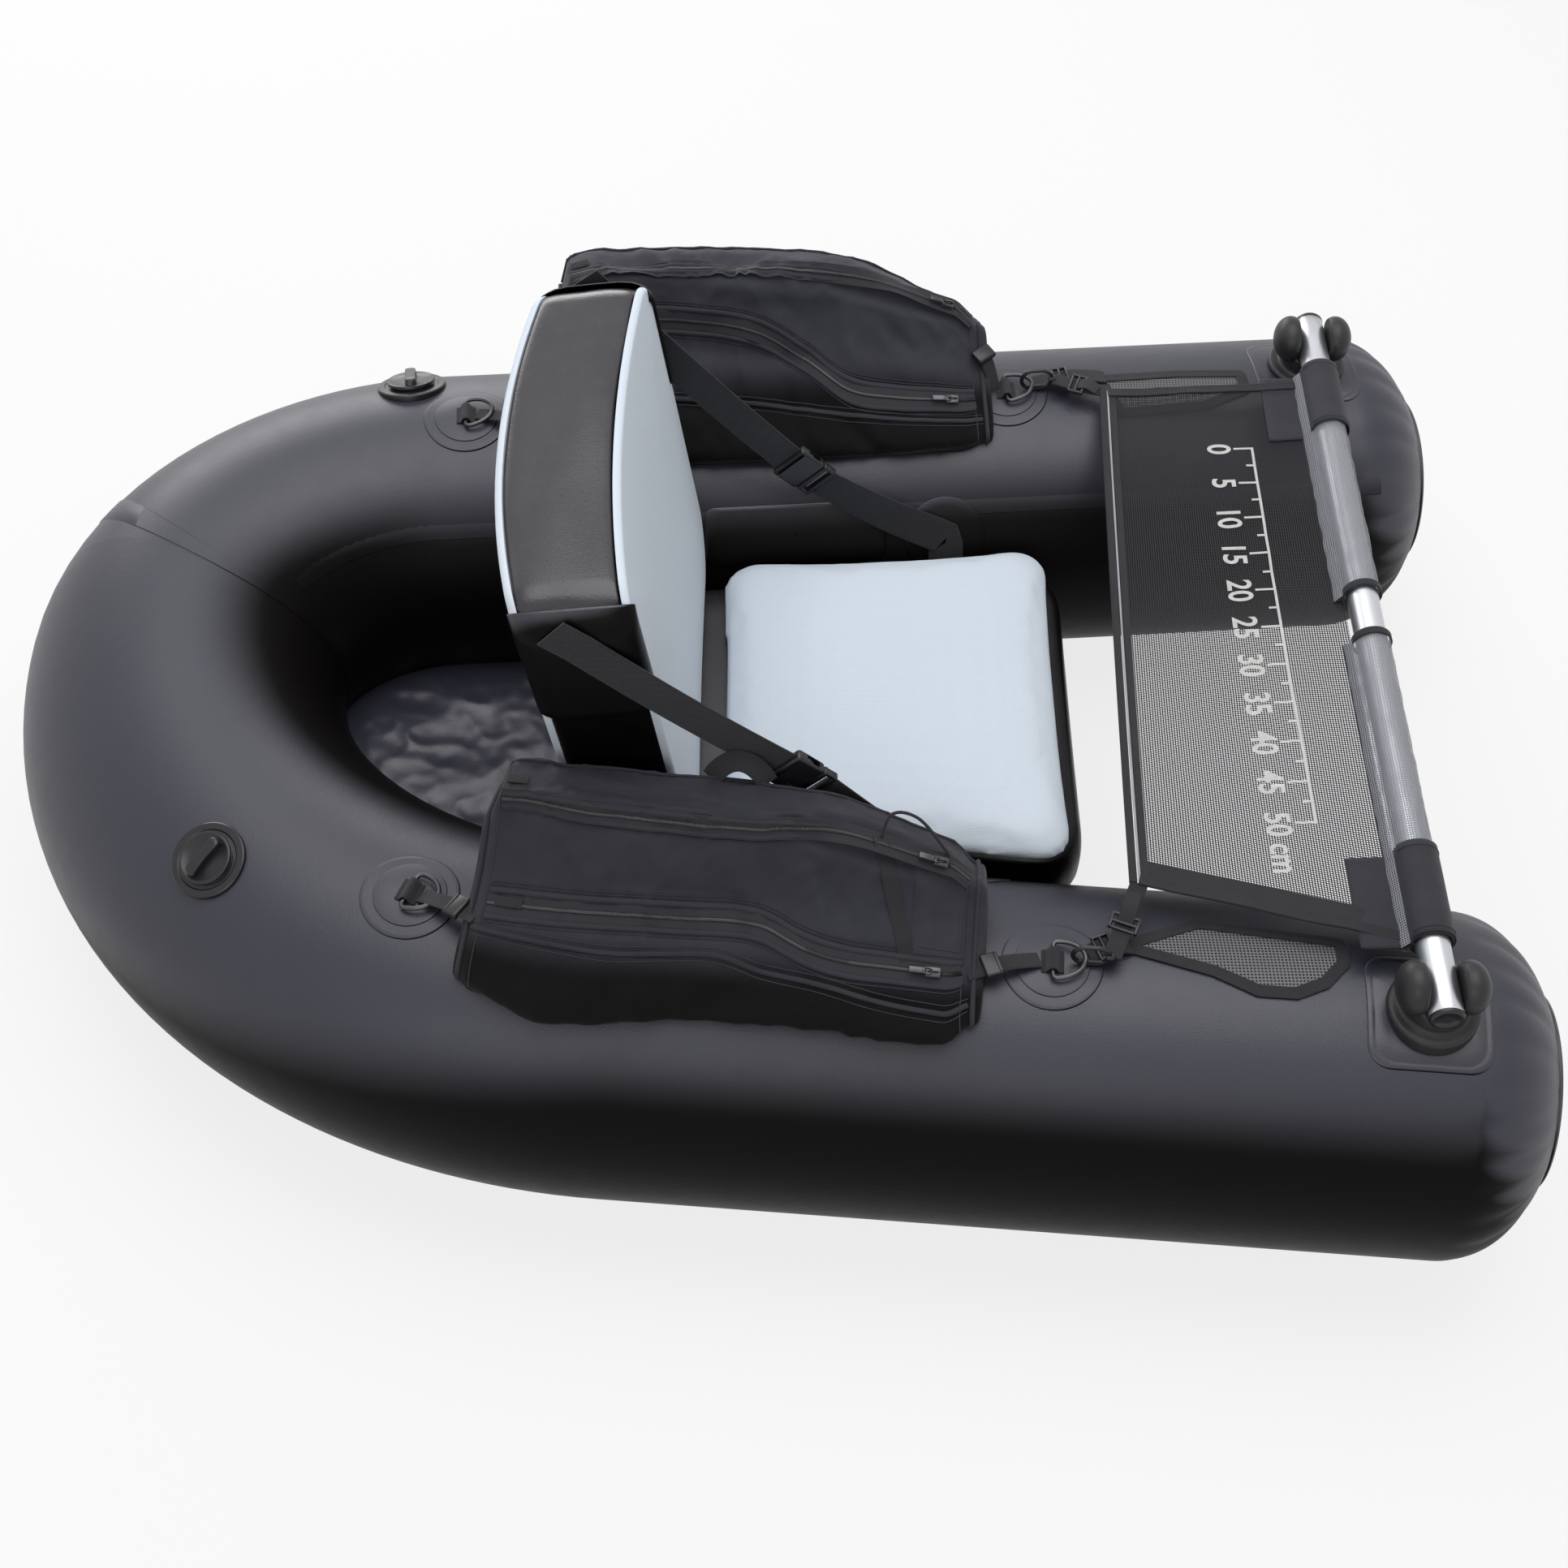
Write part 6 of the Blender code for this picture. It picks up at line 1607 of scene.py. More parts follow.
def wing(side):
    """The net gusset at the apron's side, its edge bound, lying on the tube."""
    shape = [Vector((u * WING_LENGTH, v * TUBE_RADIUS, 0)) for u, v in WING_SHARES[side]]
    outline = []
    for a, b in zip(shape, shape[1:] + shape[:1]):
        outline += [Vector(a.lerp(b, i / 12)[:2]) for i in range(12)]
    layers = [(i / 14 + 0.01, 0.0012) for i in range(14)] + [(0.99, 0.0012)]
    mesh = patch_mesh("apron_wing_net_" + side, side, APRON_REAR_X, 0, outline, layers)
    flat_places(mesh)
    piece("apron_wing_net_" + side, mesh, "wing_net", "hull", ["apron_wing_" + side])
    base = locate(side, APRON_REAR_X)
    points = []
    ups = []
    middle = sum(outline, Vector((0, 0))) / len(outline)
    for p in outline:
        q = middle.lerp(p, 0.955)
        angle = SIDES[side] * q.y / TUBE_RADIUS
        points.append(tube_point(base + SIDES[side] * q.x, angle, 0.0020))
        ups.append(tube_normal(base + SIDES[side] * q.x, angle))
    mesh = sweep("wing_binding_" + side, points, strap_section(0.012, 0.0014), ups, loop=True)
    piece("wing_binding_" + side, mesh, "bind", "hull")


# Crossbar and its mounts

MOUNT_Y = 0.425
BAR_RADIUS = 0.016
BAR_HALF = 0.457
PLUG_HEAD = 0.0040
MOUNT_TILT = 7.41


def bar_pose():
    pose = Matrix.Rotation(-math.pi / 2, 4, "X")
    pose.translation = (BAR_X, 0, BAR_Z)
    return pose


def crossbar():
    end = BAR_HALF - PLUG_HEAD - 0.0003
    inner = BAR_RADIUS - 0.0015
    profile = [(inner, -end), (BAR_RADIUS - 0.0004, -end), (BAR_RADIUS, -end + 0.0005)]
    profile += [(BAR_RADIUS, -end + 0.0005 + (2 * end - 0.001) * i / 24) for i in range(1, 25)]
    profile += [(BAR_RADIUS - 0.0004, end), (inner, end)]
    mesh = turned_mesh("crossbar_tube_skin", profile, bar_pose(), 72)
    piece("crossbar_tube_skin", mesh, "bar", "crossbar", ["crossbar_tube"], 50)
    for side, sign in SIDES.items():
        pose = bar_pose() @ Matrix.Rotation(0 if sign > 0 else math.pi, 4, "X")
        r = BAR_RADIUS
        profile = [(0, end - 0.006), (r - 0.0022, end - 0.006), (r - 0.0022, end + 0.0003),
                   (r + 0.0003, end + 0.0003), (r + 0.0003, BAR_HALF - 0.0018),
                   (r - 0.0003, BAR_HALF - 0.0008), (r - 0.0016, BAR_HALF - 0.0001),
                   (r * 0.70, BAR_HALF), (r * 0.66, BAR_HALF - 0.0006), (r * 0.30, BAR_HALF - 0.0008),
                   (0, BAR_HALF - 0.0008)]
        mesh = turned_mesh("bar_end_" + side, profile, pose, 64)
        piece("bar_end_" + side, mesh, "plastic", "crossbar", ["bar_plug_" + side], 50)


def saddle(side):
    """The rubber saddle: a turned foot, two ears and the channel that the bar drops into."""
    pose = Matrix.Translation((BAR_X, SIDES[side] * MOUNT_Y, BAR_Z))
    foot = TUBE_TOP - BAR_Z - 0.012
    profile = [(0, foot), (0.0425, foot), (0.0425, -0.0300), (0.0405, -0.0275), (0.0330, -0.0262),
               (0.0306, -0.0240), (0.0300, -0.0180), (0.0290, -0.0080), (0, -0.0040)]
    body = turned_mesh("bar_saddle_" + side, profile, pose, 80)
    ears = []
    for sign in (-1, 1):
        bm = bmesh.new()
        bmesh.ops.create_uvsphere(bm, u_segments=48, v_segments=28, radius=1.0)
        bmesh.ops.scale(bm, vec=Vector((0.018, 0.0255, 0.0245)), verts=bm.verts)
        bm.transform(pose @ Matrix.Translation((sign * 0.025, 0, 0.005)))
        ear = bpy.data.meshes.new("ear")
        bm.to_mesh(ear)
        bm.free()
        ears.append(ear)
    body = combined(body, ears, "UNION")
    bore = turned_mesh("bore", [(0.0166, -0.05), (0.0166, 0.05)],
                       pose @ Matrix.Rotation(math.pi / 2, 4, "X"), 64)
    slot = box_mesh("slot", (0.0332, 0.1, 0.05), pose, (0, 0, 0.025))
    length = locate(side, BAR_X)
    under = [[tube_point(length + shift, math.tau * i / 120, 0.0021) for i in range(120)]
             for shift in (-0.08, 0.08)]
    under = grid_mesh("under", under, wrap=True, caps=True)
    mesh = combined(body, [bore, slot, under])
    mesh = relaxed(helper(mesh, "saddle"), "bar_saddle_" + side, 0.0011, 5)
    piece("bar_saddle_" + side, mesh, "rubber", "hull", ["bar_mount_" + side], 180)
    rims = []
    for sign in (-1, 1):
        line = []
        for i in range(29):
            turn = math.radians(-38 + 256 * i / 28)
            line.append(pose @ Vector((sign * 0.0226, 0.0232 * math.cos(turn),
                                       0.005 + 0.0222 * math.sin(turn))))
        rims.append(sweep("rim", line, round_section(0.0009, 8)))
    group("saddle_rim_" + side, rims, "rubber", "hull")


def mount_pad(side):
    outline = outline_rectangle(0.0575, 0.0575, 0.022, 8, 10)
    layers = [(0.02, 0.0014), (0.25, 0.0014), (0.5, 0.0014), (0.7, 0.0014), (0.86, 0.0014),
              (0.885, 0.0010), (0.90, 0.0013), (0.97, 0.0013), (0.99, 0.0009), (1.0, 0.0002),
              (1.002, -0.0004)]
    mesh = patch_mesh("saddle_patch_" + side, side, BAR_X, MOUNT_TILT, outline, layers)
    piece("saddle_patch_" + side, mesh, "tape", "hull", ["bar_mount_pad_" + side])


# Valve parts

COLLAR_RISE = 0.0048
CAP_THICKNESS = 0.0045
GRIP_HEIGHT = 0.0065
CAP_RADIUS = 0.0268


def valve(side):
    pose = valve_frame(side)
    profile = [(0.0190, -0.030), (0.0235, -0.031), (0.0235, -0.0052), (0.0300, -0.0048),
               (0.0378, -0.0046), (0.0384, 0.0004), (0.0380, 0.0026), (0.0368, 0.0035),
               (0.0310, 0.0038), (0.0296, 0.0030), (0.0286, 0.0032), (0.0262, 0.0032),
               (0.0247, COLLAR_RISE - 0.0008), (0.0241, COLLAR_RISE), (0.0200, COLLAR_RISE),
               (0.0190, COLLAR_RISE - 0.001)]
    mesh = turned_mesh("valve_ring_" + side, profile, pose, 80, loop=True)
    piece("valve_ring_" + side, mesh, "plastic", "hull", ["valve_body_" + side], 30)
    low = COLLAR_RISE + 0.0004
    top = low + CAP_THICKNESS
    r = CAP_RADIUS
    profile = [(0, low - 0.008), (0.0166, low - 0.008), (0.0170, low - 0.0070), (0.0170, low),
               (r - 0.0012, low), (r, low + 0.0012), (r, top - 0.0014), (r - 0.0004, top - 0.0005),
               (r - 0.0014, top), (r - 0.0030, top), (r - 0.0042, top - 0.0007),
               (r * 0.4, top - 0.0009), (0, top - 0.0009)]
    cap = turned_mesh("cap", profile, pose, 96)
    rows = []
    for share, rise in ((1.04, -0.0014), (1.0, 0.0006), (0.985, 0.0040), (0.955, 0.0054),
                        (0.90, 0.0062), (0.78, GRIP_HEIGHT), (0.3, GRIP_HEIGHT)):
        row = []
        for i in range(64):
            turn = math.tau * i / 64
            v = math.copysign(abs(math.sin(turn)) ** 0.55, math.sin(turn))
            u = math.copysign(abs(math.cos(turn)) ** 0.8, math.cos(turn))
            waist = 0.58 + 0.42 * abs(v) ** 2.2
            half = 0.0125 / 2 * (share if share > 0.8 else share * 0.9)
            row.append(pose @ Vector((u * half * waist * 1.5, v * 0.0218 * share, top + rise)))
        rows.append(row)
    grip = grid_mesh("grip", rows, wrap=True, caps=True)
    group("valve_lid_" + side, [cap, grip], "plastic", "valve_cap_" + side,
          ["valve_cap_" + side], 35)
    disc = [(0, -0.0325), (0.0060, -0.0325), (0.0060, -0.0290), (0.0163, -0.0288), (0.0165, -0.0258),
            (0.0060, -0.0254), (0.0040, -0.0120), (0.0030, -0.0100), (0, -0.0098)]
    mesh = turned_mesh("valve_stem_" + side, disc, pose, 48)
    piece("valve_stem_" + side, mesh, "plastic", "valve_plunger_" + side,
          ["valve_plunger_" + side], 40)


# Cargo floor

FLOOR_Z = 0.099953
FLOOR_FRONT_X = -0.150


def floor_edge():
    """The floor's outline along the inside of the bow."""
    reach = math.sqrt(TUBE_RADIUS ** 2 - (TUBE_CENTRE - FLOOR_Z) ** 2)
    first = locate("right", FLOOR_FRONT_X)
    last = locate("left", FLOOR_FRONT_X)
    edge = []
    for i in range(61):
        centre, way = along(first + (last - first) * i / 60)
        edge.append(centre.to_2d() - outward_of(way).to_2d() * (reach - 0.0004))
    return edge


def cargo_floor():
    """Slack coated cloth, rumpled between its welds."""
    edge = floor_edge()
    spots = list(edge)
    spots += [edge[-1].lerp(edge[0], i / 40) for i in range(1, 40)]
    count = len(spots)
    rim = [(i, (i + 1) % count) for i in range(count)]
    low = Vector((min(p.x for p in edge), min(p.y for p in edge)))
    high = Vector((max(p.x for p in edge), max(p.y for p in edge)))
    step = 0.0042
    for i in range(int((high.x - low.x) / step)):
        for j in range(int((high.y - low.y) / step)):
            p = low + Vector(((i + 0.5 * (j % 2)) * step, j * step))
            if inside_outline(p, spots[:count]) and min((p - q).length for q in edge) > step * 0.6:
                spots.append(p)
    result = geometry.delaunay_2d_cdt(spots, rim, [], 1, 1e-6)
    verts = []
    for p in result[0]:
        away = min(1.0, min((p - q).length for q in edge) / 0.030)
        folds = 1 - 2 * abs(noise.noise(Vector((p.x * 11 + p.y * 5, p.y * 8 - p.x * 3, 1.0))))
        small = 1 - 2 * abs(noise.noise(Vector((p.x * 26, p.y * 30 + p.x * 8, 4.0))))
        tiny = noise.noise(Vector((p.x * 70, p.y * 70, 9.0)))
        rise = 0.0046 * (folds - 0.5) + 0.0018 * (small - 0.5) + 0.0006 * tiny
        verts.append((p.x, p.y, FLOOR_Z + rise * away))
    mesh = bpy.data.meshes.new("cargo_floor_cloth")
    mesh.from_pydata(verts, [], [list(f) for f in result[2]])
    mesh.uv_layers.new(name="metres")
    turn_up(mesh)
    thing = piece("cargo_floor_cloth", mesh, "wrinkled", "hull", ["cargo_floor"], 180)


def turn_up(mesh):
    bm = bmesh.new()
    bm.from_mesh(mesh)
    flip = [f for f in bm.faces if f.normal.z < 0]
    bmesh.ops.reverse_faces(bm, faces=flip)
    bm.to_mesh(mesh)
    bm.free()


def inside_outline(point, outline):
    hit = False
    for a, b in zip(outline, outline[1:] + outline[:1]):
        if (a.y > point.y) != (b.y > point.y):
            x = a.x + (b.x - a.x) * (point.y - a.y) / (b.y - a.y)
            hit = hit != (point.x < x)
    return hit


# Bag trimmings

ZIPS = {
    ("upper", "right"): ((0.035, 0.45), (0.26, 0.438), (0.51, 0.431), (0.62, 0.444), (0.70, 0.4545),
                         (0.80, 0.4545), (0.90, 0.4545), (0.935, 0.4545), (0.975, 0.458)),
    ("lower", "right"): ((0.035, 0.226), (0.20, 0.232), (0.43, 0.237), (0.56, 0.235), (0.66, 0.198),
                         (0.74, 0.183), (0.84, 0.1818), (0.935, 0.1818), (0.97, 0.186)),
    ("upper", "left"): ((0.035, 0.50), (0.25, 0.508), (0.45, 0.500), (0.60, 0.468), (0.70, 0.4545),
                        (0.80, 0.4545), (0.90, 0.4545), (0.935, 0.4545), (0.975, 0.456)),
    ("lower", "left"): ((0.035, 0.352), (0.28, 0.346), (0.45, 0.322), (0.57, 0.262), (0.67, 0.196),
                        (0.78, 0.1818), (0.88, 0.1818), (0.935, 0.1818), (0.97, 0.186)),
}
GUSSET = {
    "right": ((0.015, 0.178), (0.171, 0.172), (0.279, 0.166), (0.358, 0.170), (0.483, 0.176),
              (0.579, 0.155), (0.692, 0.142), (0.804, 0.126), (0.93, 0.118), (0.985, 0.12)),
    "left": ((0.015, 0.20), (0.20, 0.195), (0.40, 0.182), (0.60, 0.155), (0.80, 0.135), (0.985, 0.13)),
}
BAG_FOLDS = {
    "right": (((0.13, 0.60), (0.53, 0.545), 0.0045, 0.020), ((0.15, 0.56), (0.50, 0.51), -0.0035, 0.018),
              ((0.56, 0.53), (0.70, 0.52), 0.0045, 0.014), ((0.60, 0.50), (0.78, 0.51), -0.0030, 0.013),
              ((0.02, 0.165), (0.50, 0.165), -0.0050, 0.013), ((0.48, 0.165), (0.97, 0.11), -0.0050, 0.013),
              ((0.06, 0.10), (0.38, 0.12), 0.0060, 0.045), ((0.42, 0.07), (0.60, 0.15), -0.0070, 0.030),
              ((0.62, 0.09), (0.95, 0.06), 0.0060, 0.040), ((0.20, 0.05), (0.34, 0.15), -0.0035, 0.018),
              ((0.70, 0.03), (0.80, 0.12), -0.0035, 0.016), ((0.10, 0.33), (0.60, 0.34), 0.0030, 0.070),
              ((0.30, 0.29), (0.62, 0.27), -0.0020, 0.016), ((0.66, 0.36), (0.76, 0.24), -0.0035, 0.022),
              ((0.08, 0.78), (0.60, 0.76), 0.0030, 0.030), ((0.05, 0.42), (0.30, 0.40), -0.0016, 0.014)),
    "left": (((0.10, 0.60), (0.50, 0.60), 0.0035, 0.030), ((0.30, 0.43), (0.70, 0.39), 0.0040, 0.030),
             ((0.20, 0.30), (0.66, 0.25), -0.0040, 0.022), ((0.02, 0.19), (0.60, 0.16), -0.0050, 0.015),
             ((0.30, 0.10), (0.60, 0.09), 0.0070, 0.045), ((0.62, 0.17), (0.75, 0.05), -0.0060, 0.020),
             ((0.72, 0.10), (0.95, 0.08), 0.0060, 0.040), ((0.74, 0.36), (0.86, 0.26), -0.0040, 0.020),
             ((0.50, 0.24), (0.58, 0.06), -0.0040, 0.016), ((0.82, 0.42), (0.95, 0.30), 0.0035, 0.020)),
}
BAND = ((0.790, 0.500), (0.806, 0.420), (0.820, 0.350), (0.838, 0.281), (0.863, 0.200))
SLIDER_AXES = {
    ("upper", "right"): (0.94383, -0.08046, -0.32049),
    ("upper", "left"): (0.92485, 0.06175, -0.3753),
    ("lower", "right"): (0.99341, -0.07053, -0.09032),
    ("lower", "left"): (0.99092, 0.08027, -0.1079),
}


def shifted(route, over):
    return [(s, r + over) for s, r in route]


def on_bag(name, bag, route, section, lift, finish, steps=14):
    points, normals = bag.line(route, lift, steps)
    return piece(name, sweep(name, points, section, normals), finish, "hull")


def coil(name, bag, route, lift):
    """The zip's coil: a cord ridged at each tooth."""
    points, normals = bag.line(route, lift, 40)
    rows = []
    for i, (point, normal) in enumerate(zip(points, normals)):
        way = (points[min(i + 1, len(points) - 1)] - points[max(i - 1, 0)]).normalized()
        side = way.cross(normal)
        radius = 0.0021 if i % 2 else 0.0015
        rows.append([point + side * a * radius + normal * b * radius * 0.7
                     for a, b in round_section(1.0, 8)])
    return piece(name, grid_mesh(name, rows, wrap=True, caps=True), "coil", "hull")


def bag_zip(bag, which):
    side = bag.side
    route = ZIPS[which, side]
    tag = which + "_" + side
    on_bag("zip_tape_" + tag, bag, route, strap_section(0.021, 0.0009), 0.0006, "tape_cloth")
    coil("zip_coil_" + tag, bag, route, 0.0014)
    folds = [bag.strand(shifted(route, over), round_section(size, 8, 1.9), 0.0010)
             for over, size in ((0.024, 0.0016), (-0.024, 0.0014))]
    folds += [bag.strand(shifted(route, over), round_section(0.0006, 6), 0.0004)
              for over in (0.034, -0.034, 0.040)]
    group("zip_welt_" + tag, folds, "sturdy", "hull")


# Two plates, the wedge between them and the pull: lengths, place and bevel of each
SLIDER_BLOCKS = (((0.0135, 0.0088, 0.0011), (0, 0, -0.0014), 0.0005),
                 ((0.0135, 0.0088, 0.0011), (0, 0, 0.0011), 0.0005),
                 ((0.0060, 0.0030, 0.0032), (0.0030, 0, 0), 0.0004),
                 ((0.0150, 0.0056, 0.0013), (-0.0150, 0, 0.0030), 0.0005))


def slider(bag, which):
    """The zip's slider with its pull, free to run back along the straight of the coil."""
    tag = which + "_" + bag.side
    low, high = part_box("zip_slider_" + tag)
    head = Vector(SLIDER_AXES[which, bag.side]).normalized()
    normal = squared(bag.at(0.92, ZIPS[which, bag.side][-2][1])[1], head)
    pose = posed(head, normal, (Vector(low) + Vector(high)) / 2)
    parts = blocks(SLIDER_BLOCKS, pose)
    arch = [pose @ Vector((0.0045 * math.cos(t), 0, 0.0014 + 0.0028 * math.sin(t)))
            for t in (math.pi * i / 10 for i in range(11))]
    parts.append(sweep("arch", arch, round_section(0.0007, 8, 1.8), pose.to_3x3() @ Vector((0, 1, 0))))
    ring = [pose @ Vector((-0.001 - 0.0045 + 0.0045 * math.cos(t), 0.0030 * math.sin(t), 0.0034))
            for t in (math.tau * i / 20 for i in range(20))]
    parts.append(sweep("ring", ring, round_section(0.0006, 8), normal, loop=True))
    group("zip_runner_" + tag, parts, "steel", "slider_" + tag, ["zip_slider_" + tag], 35)


def bag_band(bag):
    on_bag("bag_band", bag, BAND, strap_section(0.015, 0.0013), 0.0010, "webbing")
    rows = []
    for i in range(25):
        s = 0.866 + (0.976 - 0.866) * i / 24
        row = []
        for j in range(31):
            r = 0.205 + (0.425 - 0.205) * j / 30
            edge = min(1.0, min(i, 24 - i) / 2.0, min(j, 30 - j) / 2.0)
            p, n = bag.at(s, r)
            row.append(p + n * (0.0002 + 0.0022 * math.sin(edge * math.pi / 2)))
        rows.append(row)
    piece("bag_pocket", grid_mesh("bag_pocket", rows), "sturdy", "hull", angle=70)
    threads = []
    for inset in (0.012, 0.024):
        s0, s1, r0, r1 = 0.866 + inset * 0.6, 0.976 - inset * 0.6, 0.205 + inset, 0.425 - inset
        corners = ((s0, r0), (s0, r1), (s1, r1), (s1, r0), (s0, r0))
        for route in zip(corners, corners[1:]):
            threads.append(bag.strand(route, THREAD, 0.0026, 20))
    group("pocket_stitch", threads, "thread", "hull")


def bag_seams(bag):
    """Piping round both ends, the seam above the gusset and rows of stitches."""
    side = bag.side
    cords = [bag.strand([(s, r) for r in (0.02, 0.2, 0.4, 0.5, 0.62, 0.8, 0.97)],
                        round_section(0.0024), 0.0008, 24) for s in (0.006, 0.994)]
    cords.append(bag.strand(GUSSET[side], round_section(0.0018, 8, 1.5), 0.0006))
    ridge = [(0.01, 0.655), (0.25, 0.655), (0.5, 0.655), (0.75, 0.655), (0.99, 0.64)]
    cords.append(bag.strand(ridge, round_section(0.0017, 8), 0.0004))
    group("bag_piping_" + side, cords, "tape_cloth", "hull")
    threads = [bag.strand([(s, r) for r in (0.05, 0.2, 0.4, 0.62)], THREAD, 0.0003, 24)
               for s in (0.030, 0.970)]
    threads += [bag.strand(shifted(GUSSET[side], over), THREAD, 0.0003) for over in (0.012, -0.012)]
    group("bag_stitch_" + side, threads, "thread", "hull")


def bag_loops(bag):
    """The near bag's grab handle and zip cord, and small tags on both bags."""
    side = bag.side
    if side == "right":
        start, end = bag.at(0.455, 0.70)[0], bag.at(0.565, 0.69)[0]
        line = []
        for i in range(21):
            share = i / 20
            spot = start.lerp(end, share)
            spot.z += 0.024 * math.sin(math.pi * share) ** 0.7
            spot.y += 0.004 * math.sin(math.pi * share)
            line.append(spot)
        mesh = sweep("bag_handle_right", line, strap_section(0.020, 0.0018), Vector((0, -0.5, 1)))
        piece("bag_handle_right", mesh, "webbing", "hull")
        a, b = bag.at(0.80, 0.52)[0], bag.at(0.945, 0.50)[0]
        line = smooth_line([a, a.lerp(b, 0.15) + Vector((0, 0.012, 0.034)),
                            a.lerp(b, 0.5) + Vector((0, 0.016, 0.034)),
                            a.lerp(b, 0.85) + Vector((0, 0.006, 0.014)), b], 10)
        piece("zip_cord_right", sweep("zip_cord_right", line, round_section(0.0016, 8)), "webbing",
              "hull")
    for s, r, wide in ((0.055, 0.56, 0.020), (0.075, 0.232, 0.030)):
        p, n = bag.at(s, r)
        ahead = (bag.at(s + 0.03, r)[0] - p).normalized()
        mesh = box_mesh("bag_tag", (wide, 0.009, 0.0012), posed(ahead, n, p + n * 0.0022), bevel=0.0005)
        piece("bag_tag_%s_%d" % (side, round(r * 100)), mesh, "webbing", "hull")


# Straps from the bags to the rings

TIES = {("rear", "right"): (0.012, 0.20, 0.004), ("front", "right"): (0.988, 0.19, 0.006),
        ("rear", "left"): (0.012, 0.14, 0.004), ("front", "left"): (0.988, 0.33, 0.016)}

# Shell and bar of the small buckle: lengths, place and bevel
TIE_BLOCKS = (((0.017, 0.024, 0.0072), (0, 0, 0), 0.0018),
              ((0.0030, 0.022, 0.0090), (0.006, 0, 0), 0.0010))


def bag_tie(bag, end):
    """Webbing from the bag's end to the tab of its ring, with a small buckle."""
    side = bag.side
    s, r, arch = TIES[end, side]
    p = bag.at(s, r)[0]
    pose = tube_frame(side, RING_XS[end])
    sign = 1 if end == "rear" else -1
    goal = pose @ Vector((sign * 0.0125, 0, 0.0046))
    line = slung(p - (goal - p).normalized() * 0.004, goal, arch, 12)
    tag = end + "_" + side
    piece("bag_tie_" + tag, sweep("bag_tie_" + tag, line, strap_section(0.016, 0.0018), UP), "webbing",
          "hull")
    head = (line[5] - line[3]).normalized()
    out = squared(UP, head)
    group("tie_buckle_" + tag, blocks(TIE_BLOCKS, posed(head, out, line[4] + out * 0.0012)), "plastic",
          "hull")


# Buckles of the back straps

BUCKLE_WIDTH = 0.047
BUCKLE_THICKNESS = 0.012
# Windows, mouth, strap slot and sunk panel of the socket: lengths, place and bevel
SOCKET_CUTS = (((0.016, 0.009, 0.0064), (-0.015, -0.0225, 0), 0.0012),
               ((0.016, 0.009, 0.0064), (-0.015, 0.0225, 0), 0.0012),
               ((0.026, 0.039, 0.0068), (-0.010, 0, 0), 0.0010),
               ((0.0034, 0.040, 0.03), (-0.0295, 0, 0), 0.0008),
               ((0.013, 0.024, 0.0012), (-0.012, 0, BUCKLE_THICKNESS / 2), 0.0004))
# Base, back bar, spine and two sides of the tongue
TONGUE_BLOCKS = (((0.0060, 0.045, 0.0094), (0.0034, 0, 0), 0.0022),
                 ((0.0050, 0.045, 0.0090), (0.0155, 0, 0), 0.0022),
                 ((0.0220, 0.0070, 0.0050), (-0.010, 0, 0), 0.0012),
                 ((0.014, 0.0042, 0.0080), (0.0095, -0.0202, 0), 0.0014),
                 ((0.014, 0.0042, 0.0080), (0.0095, 0.0202, 0), 0.0014))
ARM_LINE = ((0.001, 0.0150), (-0.008, 0.0170), (-0.015, 0.0200), (-0.020, 0.0205), (-0.0215, 0.0150))


def buckle(side):
    """A side-release buckle: the socket, and the tongue with its two springy arms."""
    pose = buckle_frame(side)
    shell = box_mesh("shell", (SOCKET_LENGTH, BUCKLE_WIDTH, BUCKLE_THICKNESS), pose,
                     (-SOCKET_LENGTH / 2, 0, 0), 0.0034, 4)
    shell = combined(shell, blocks(SOCKET_CUTS, pose))
    piece("buckle_socket_" + side, shell, "plastic", "hull", ["buckle_female_" + side], 35)
    parts = blocks(TONGUE_BLOCKS, pose)
    for sign in (-1, 1):
        line = smooth_line([pose @ Vector((x, sign * y, 0)) for x, y in ARM_LINE], 6)
        parts.append(sweep("arm", line, round_section(0.0016, 10, 1.0, 1.7),
                           pose.to_3x3() @ Vector((0, 0, 1))))
    group("buckle_tongue_" + side, parts, "plastic", "hull", ["buckle_male_" + side], 35)


# Hooks of the apron

HOOK_MIDDLE = Vector((0.034, 0, 0.018))
HOOK_STRAIGHT = 0.004
HOOK_RADIUS = 0.013
HOOK_WIRE = 0.0022
# Two sides and three bars: lengths, place and bevel
LOCK_BLOCKS = (((0.018, 0.0032, 0.0050), (0, -0.0125, 0), 0.0013),
               ((0.018, 0.0032, 0.0050), (0, 0.0125, 0), 0.0013),
               ((0.0030, 0.026, 0.0034), (-0.0075, 0, 0), 0.0012),
               ((0.0030, 0.026, 0.0034), (-0.0005, 0, 0.0008), 0.0012),
               ((0.0030, 0.026, 0.0034), (0.0075, 0, 0.0014), 0.0012))


def ladder_lock(name, pose):
    """A moulded frame with bars that the webbing threads round."""
    group(name, blocks(LOCK_BLOCKS, pose), "plastic", "hull")


